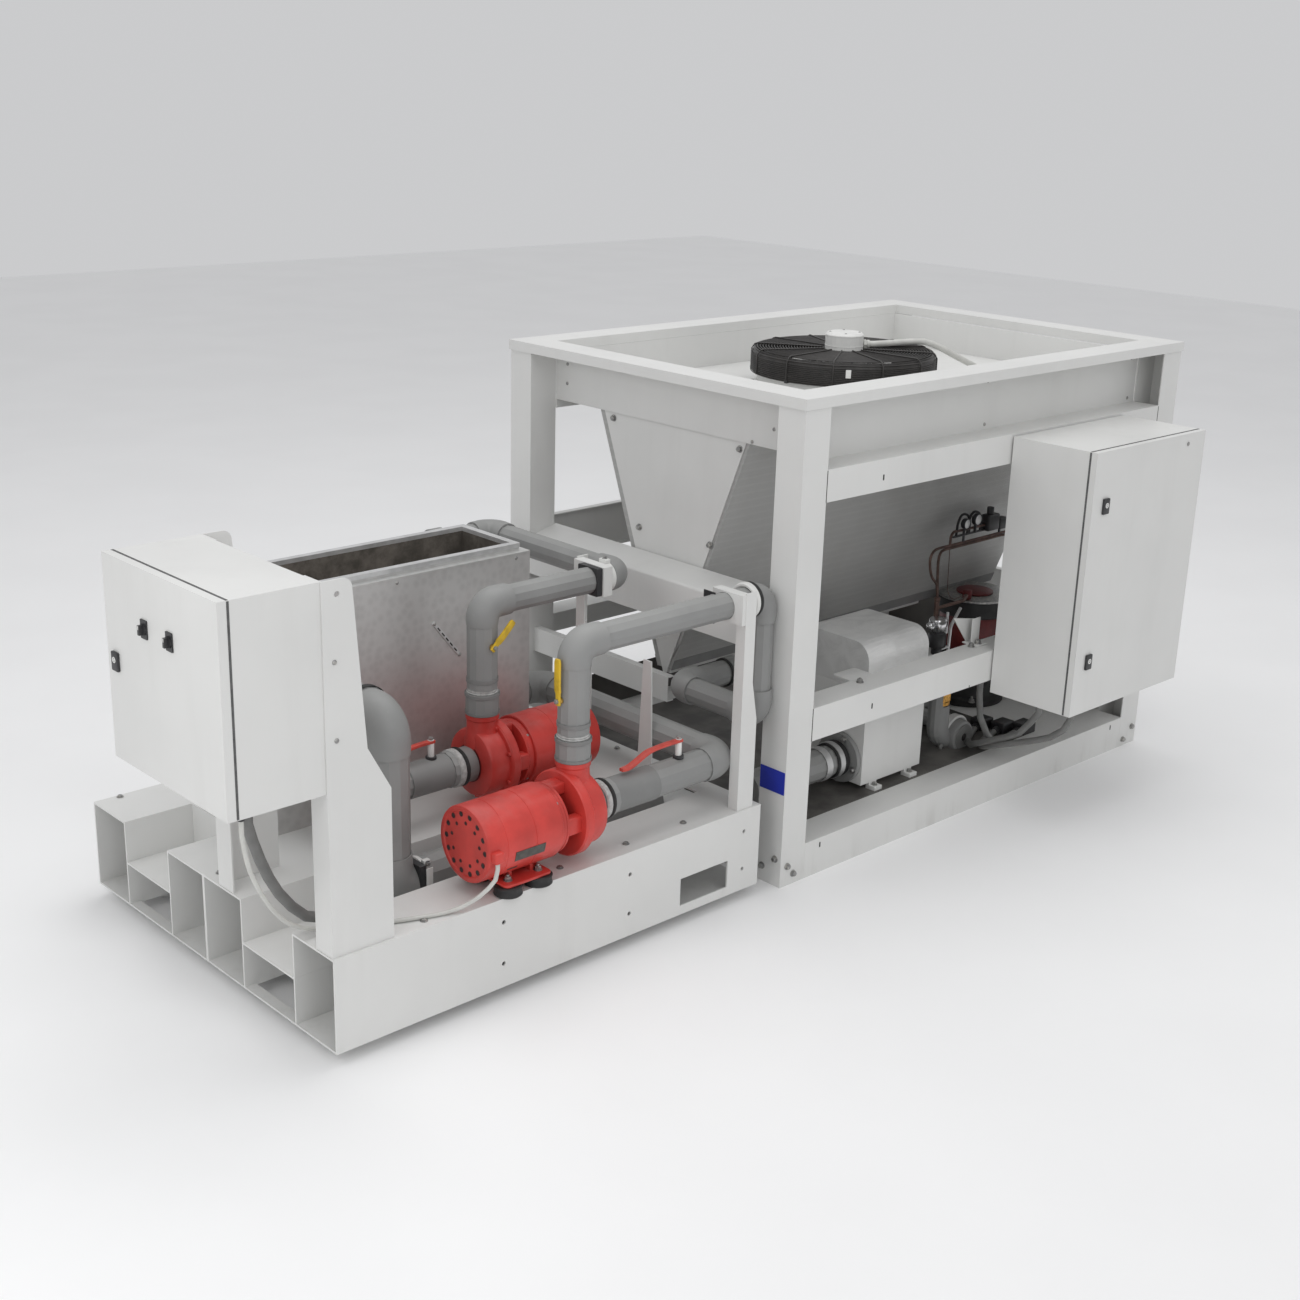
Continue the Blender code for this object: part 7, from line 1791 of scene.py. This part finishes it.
class CHILLER_OT_cabinet(bpy.types.Operator):
    """Seal, latches, door edge and cables of the electrical cabinet."""

    bl_idname = "chiller.cabinet"
    bl_label = "Cabinet"

    def execute(self, context):
        low, high = node_box("cabinet_body")
        front = low[1]
        piece("cabinet_door_seal",
              rim((low[0] - 0.0006, front - 0.0006, low[2] - 0.0006),
                  (high[0] + 0.0006, front + 0.0056, high[2] + 0.0006), 0.008, "Y", 0.004), "seal")
        door = node_box("cabinet_door")[0][1] + 0.006
        x = low[0] + 0.066
        latches, keys = [], []
        for z in (high[2] - 0.164, low[2] + 0.164):
            latches.append(
                block((x - 0.015, door - 0.0074, z - 0.0235), (x + 0.015, door - 0.0004, z + 0.0235),
                      0.0016, 0.003, "Y"))
            keys += [collar((x, door - 0.007, z + 0.003), 0.0044, 0.008, 0.0022, "-Y", steps=24),
                     latch_key((x, door - 0.007, z + 0.003), 0.0038, 0.002, "-Y")]
        piece("cabinet_latches", latches, "plastic", "cabinet_door")
        piece("cabinet_keys", keys, "white", "cabinet_door")
        piece("cabinet_plug", drum((2.895, door - SEAT, 1.161), 0.0065, 0.002, "-Y", 0.001, 24), "zinc",
              "cabinet_door")
        sill = [rim((low[0] - SEAT, door - SEAT, low[2] - SEAT),
                    (high[0] + SEAT, door + 0.001, high[2] + SEAT), 0.004, "Y", 0.004)]
        piece("cabinet_door_edge", sill, "paint", "cabinet_door")
        routes = [(
            (2.47, -0.16), low[2],
            [(2.48, -0.125, 0.295), (2.497, -0.078, 0.243), (2.5, -0.007, 0.203), (2.5, 0.055, 0.172),
             (2.515, 0.115, 0.142), (2.565, 0.165, 0.126), (2.64, 0.205, 0.1232), (2.71, 0.235, 0.1232)]),
                  (
                      (2.5, -0.255), low[2],
                      [(2.5, -0.235, 0.3), (2.5, -0.19, 0.262), (2.5, -0.1, 0.22), (2.5, -0.009, 0.182),
                       (2.515, 0.06, 0.152), (2.57, 0.115, 0.13), (2.65, 0.15, 0.1232),
                       (2.74, 0.17, 0.1232)]),
                  (
                      (2.478, 0.072), 0.517,
                      [(2.49, 0.08, 0.33), (2.496, 0.074, 0.255), (2.52, 0.06, 0.195), (2.57, 0.07, 0.155),
                       (2.64, 0.095, 0.129), (2.72, 0.11, 0.1232), (2.79, 0.12, 0.1232)])]
        glands, boots = [], []
        for index, ((px, py), floor_z, run) in enumerate(routes):
            start = [(px, py, floor_z), (px, py, floor_z - 0.045)]
            cord("cabinet_cable_%d" % (index + 1), start + run, 0.0105, "cable", None)
            glands.append(collar((px, py, floor_z - 0.007), 0.0106, 0.0185, 0.0072, "Z", 0.001, 6))
            glands.append(collar((px, py, floor_z - 0.02), 0.0106, 0.0155, 0.013, "Z", 0.003, 24))
            end = np.array(run[-1])
            ahead = end - np.array(run[-2])
            ahead /= np.linalg.norm(ahead)
            boots.append(tube(np.array([end - ahead * 0.03, end + ahead * 0.012]), 0.013, 20))
            boots.append(
                block((end[0] - 0.004, end[1] - 0.026, 0.1104), (end[0] + 0.06, end[1] + 0.026, 0.148),
                      0.004))
        piece("cabinet_gland_nuts", glands, "plastic")
        piece("cable_boots", boots, "plastic")
        return {"FINISHED"}


# Stage

def lamp(name, place, target, size, power, colour=(1, 1, 1)):
    """A soft square lamp that faces a point."""
    light = bpy.data.lights.new(name, "AREA")
    light.size = size
    light.energy = power
    light.color = colour
    made = bpy.data.objects.new(name, light)
    made.location = place
    aim = Vector(target) - Vector(place)
    made.rotation_euler = aim.to_track_quat("-Z", "Y").to_euler()
    bpy.context.scene.collection.objects.link(made)


FLOOR_REACH = 14.0
SKY = (0.96, 0.965, 0.98, 1.0)
SKY_STRENGTH = 0.62


class CHILLER_OT_stage(bpy.types.Operator):
    """The camera at the photograph's angle, soft lamps and a pale floor."""

    bl_idname = "chiller.stage"
    bl_label = "Stage"

    def execute(self, context):
        scene = context.scene
        camera = bpy.data.cameras.new("camera")
        camera.lens = LENS
        camera.sensor_width = 36.0
        camera.clip_end = 100.0
        holder = bpy.data.objects.new("camera", camera)
        turn = Matrix((CAMERA_RIGHT, CAMERA_UP, -Vector(CAMERA_AHEAD))).transposed()
        holder.matrix_world = Matrix.Translation(CAMERA_PLACE) @ turn.to_4x4()
        scene.collection.objects.link(holder)
        scene.camera = holder

        u = np.linspace(-FLOOR_REACH, FLOOR_REACH, 3)
        grid = np.stack([np.tile(u, (3, 1)), np.tile(u[:, None], (1, 3)), np.zeros((3, 3))], -1)
        points, faces = ring_rows(grid, round_u=False, caps=False)
        mesh = bpy.data.meshes.new("floor")
        mesh.from_pydata(points.tolist(), [], [face[::-1] for face in faces])
        mesh.materials.append(look("floor"))
        floor = bpy.data.objects.new("floor", mesh)
        scene.collection.objects.link(floor)

        lamp("key", (-2.0, -5.6, 5.4), (0, 0, 0.6), 4.2, 72)
        lamp("left", (-3.4, -0.7, 2.0), (-1.5, 0, 0.7), 1.8, 16)
        lamp("over", (0.6, 0.4, 6.0), (0, 0, 0.4), 5.0, 112)
        world = bpy.data.worlds.new("soft_sky")
        world.use_nodes = True
        world.node_tree.nodes["Background"].inputs["Color"].default_value = SKY
        world.node_tree.nodes["Background"].inputs["Strength"].default_value = SKY_STRENGTH
        scene.world = world
        scene.view_settings.view_transform = "Standard"
        return {"FINISHED"}


OPERATORS = [CHILLER_OT_stage, CHILLER_OT_cords, CHILLER_OT_finishes, CHILLER_OT_control_box,
             CHILLER_OT_motors, CHILLER_OT_pumps, CHILLER_OT_pipes, CHILLER_OT_levers, CHILLER_OT_tank,
             CHILLER_OT_fasteners, CHILLER_OT_fan, CHILLER_OT_coil, CHILLER_OT_inside, CHILLER_OT_cabinet]


class CHILLER_PT_panel(bpy.types.Panel):
    """Colours, sizes and the groups of pieces."""

    bl_idname = "CHILLER_PT_panel"
    bl_label = "Water chiller"
    bl_space_type = "VIEW_3D"
    bl_region_type = "UI"
    bl_category = "Chiller"

    def draw(self, context):
        for group in (context.scene.chiller_colours, context.scene.chiller_sizes):
            for name in group.bl_rna.properties.keys():
                if name not in ("rna_type", "name"):
                    self.layout.prop(group, name)
        for operator in OPERATORS:
            self.layout.operator(operator.bl_idname)


GROUPS = [ChillerColours, ChillerSizes]


def register():
    for kind in GROUPS + OPERATORS + [CHILLER_PT_panel]:
        bpy.utils.register_class(kind)
    bpy.types.Scene.chiller_colours = bpy.props.PointerProperty(type=ChillerColours)
    bpy.types.Scene.chiller_sizes = bpy.props.PointerProperty(type=ChillerSizes)


def unregister():
    del bpy.types.Scene.chiller_sizes
    del bpy.types.Scene.chiller_colours
    for kind in reversed(GROUPS + OPERATORS + [CHILLER_PT_panel]):
        bpy.utils.unregister_class(kind)


def main():
    register()
    for operator in OPERATORS:
        family, name = operator.bl_idname.split(".")
        getattr(getattr(bpy.ops, family), name)()


if __name__ == "__main__":
    main()
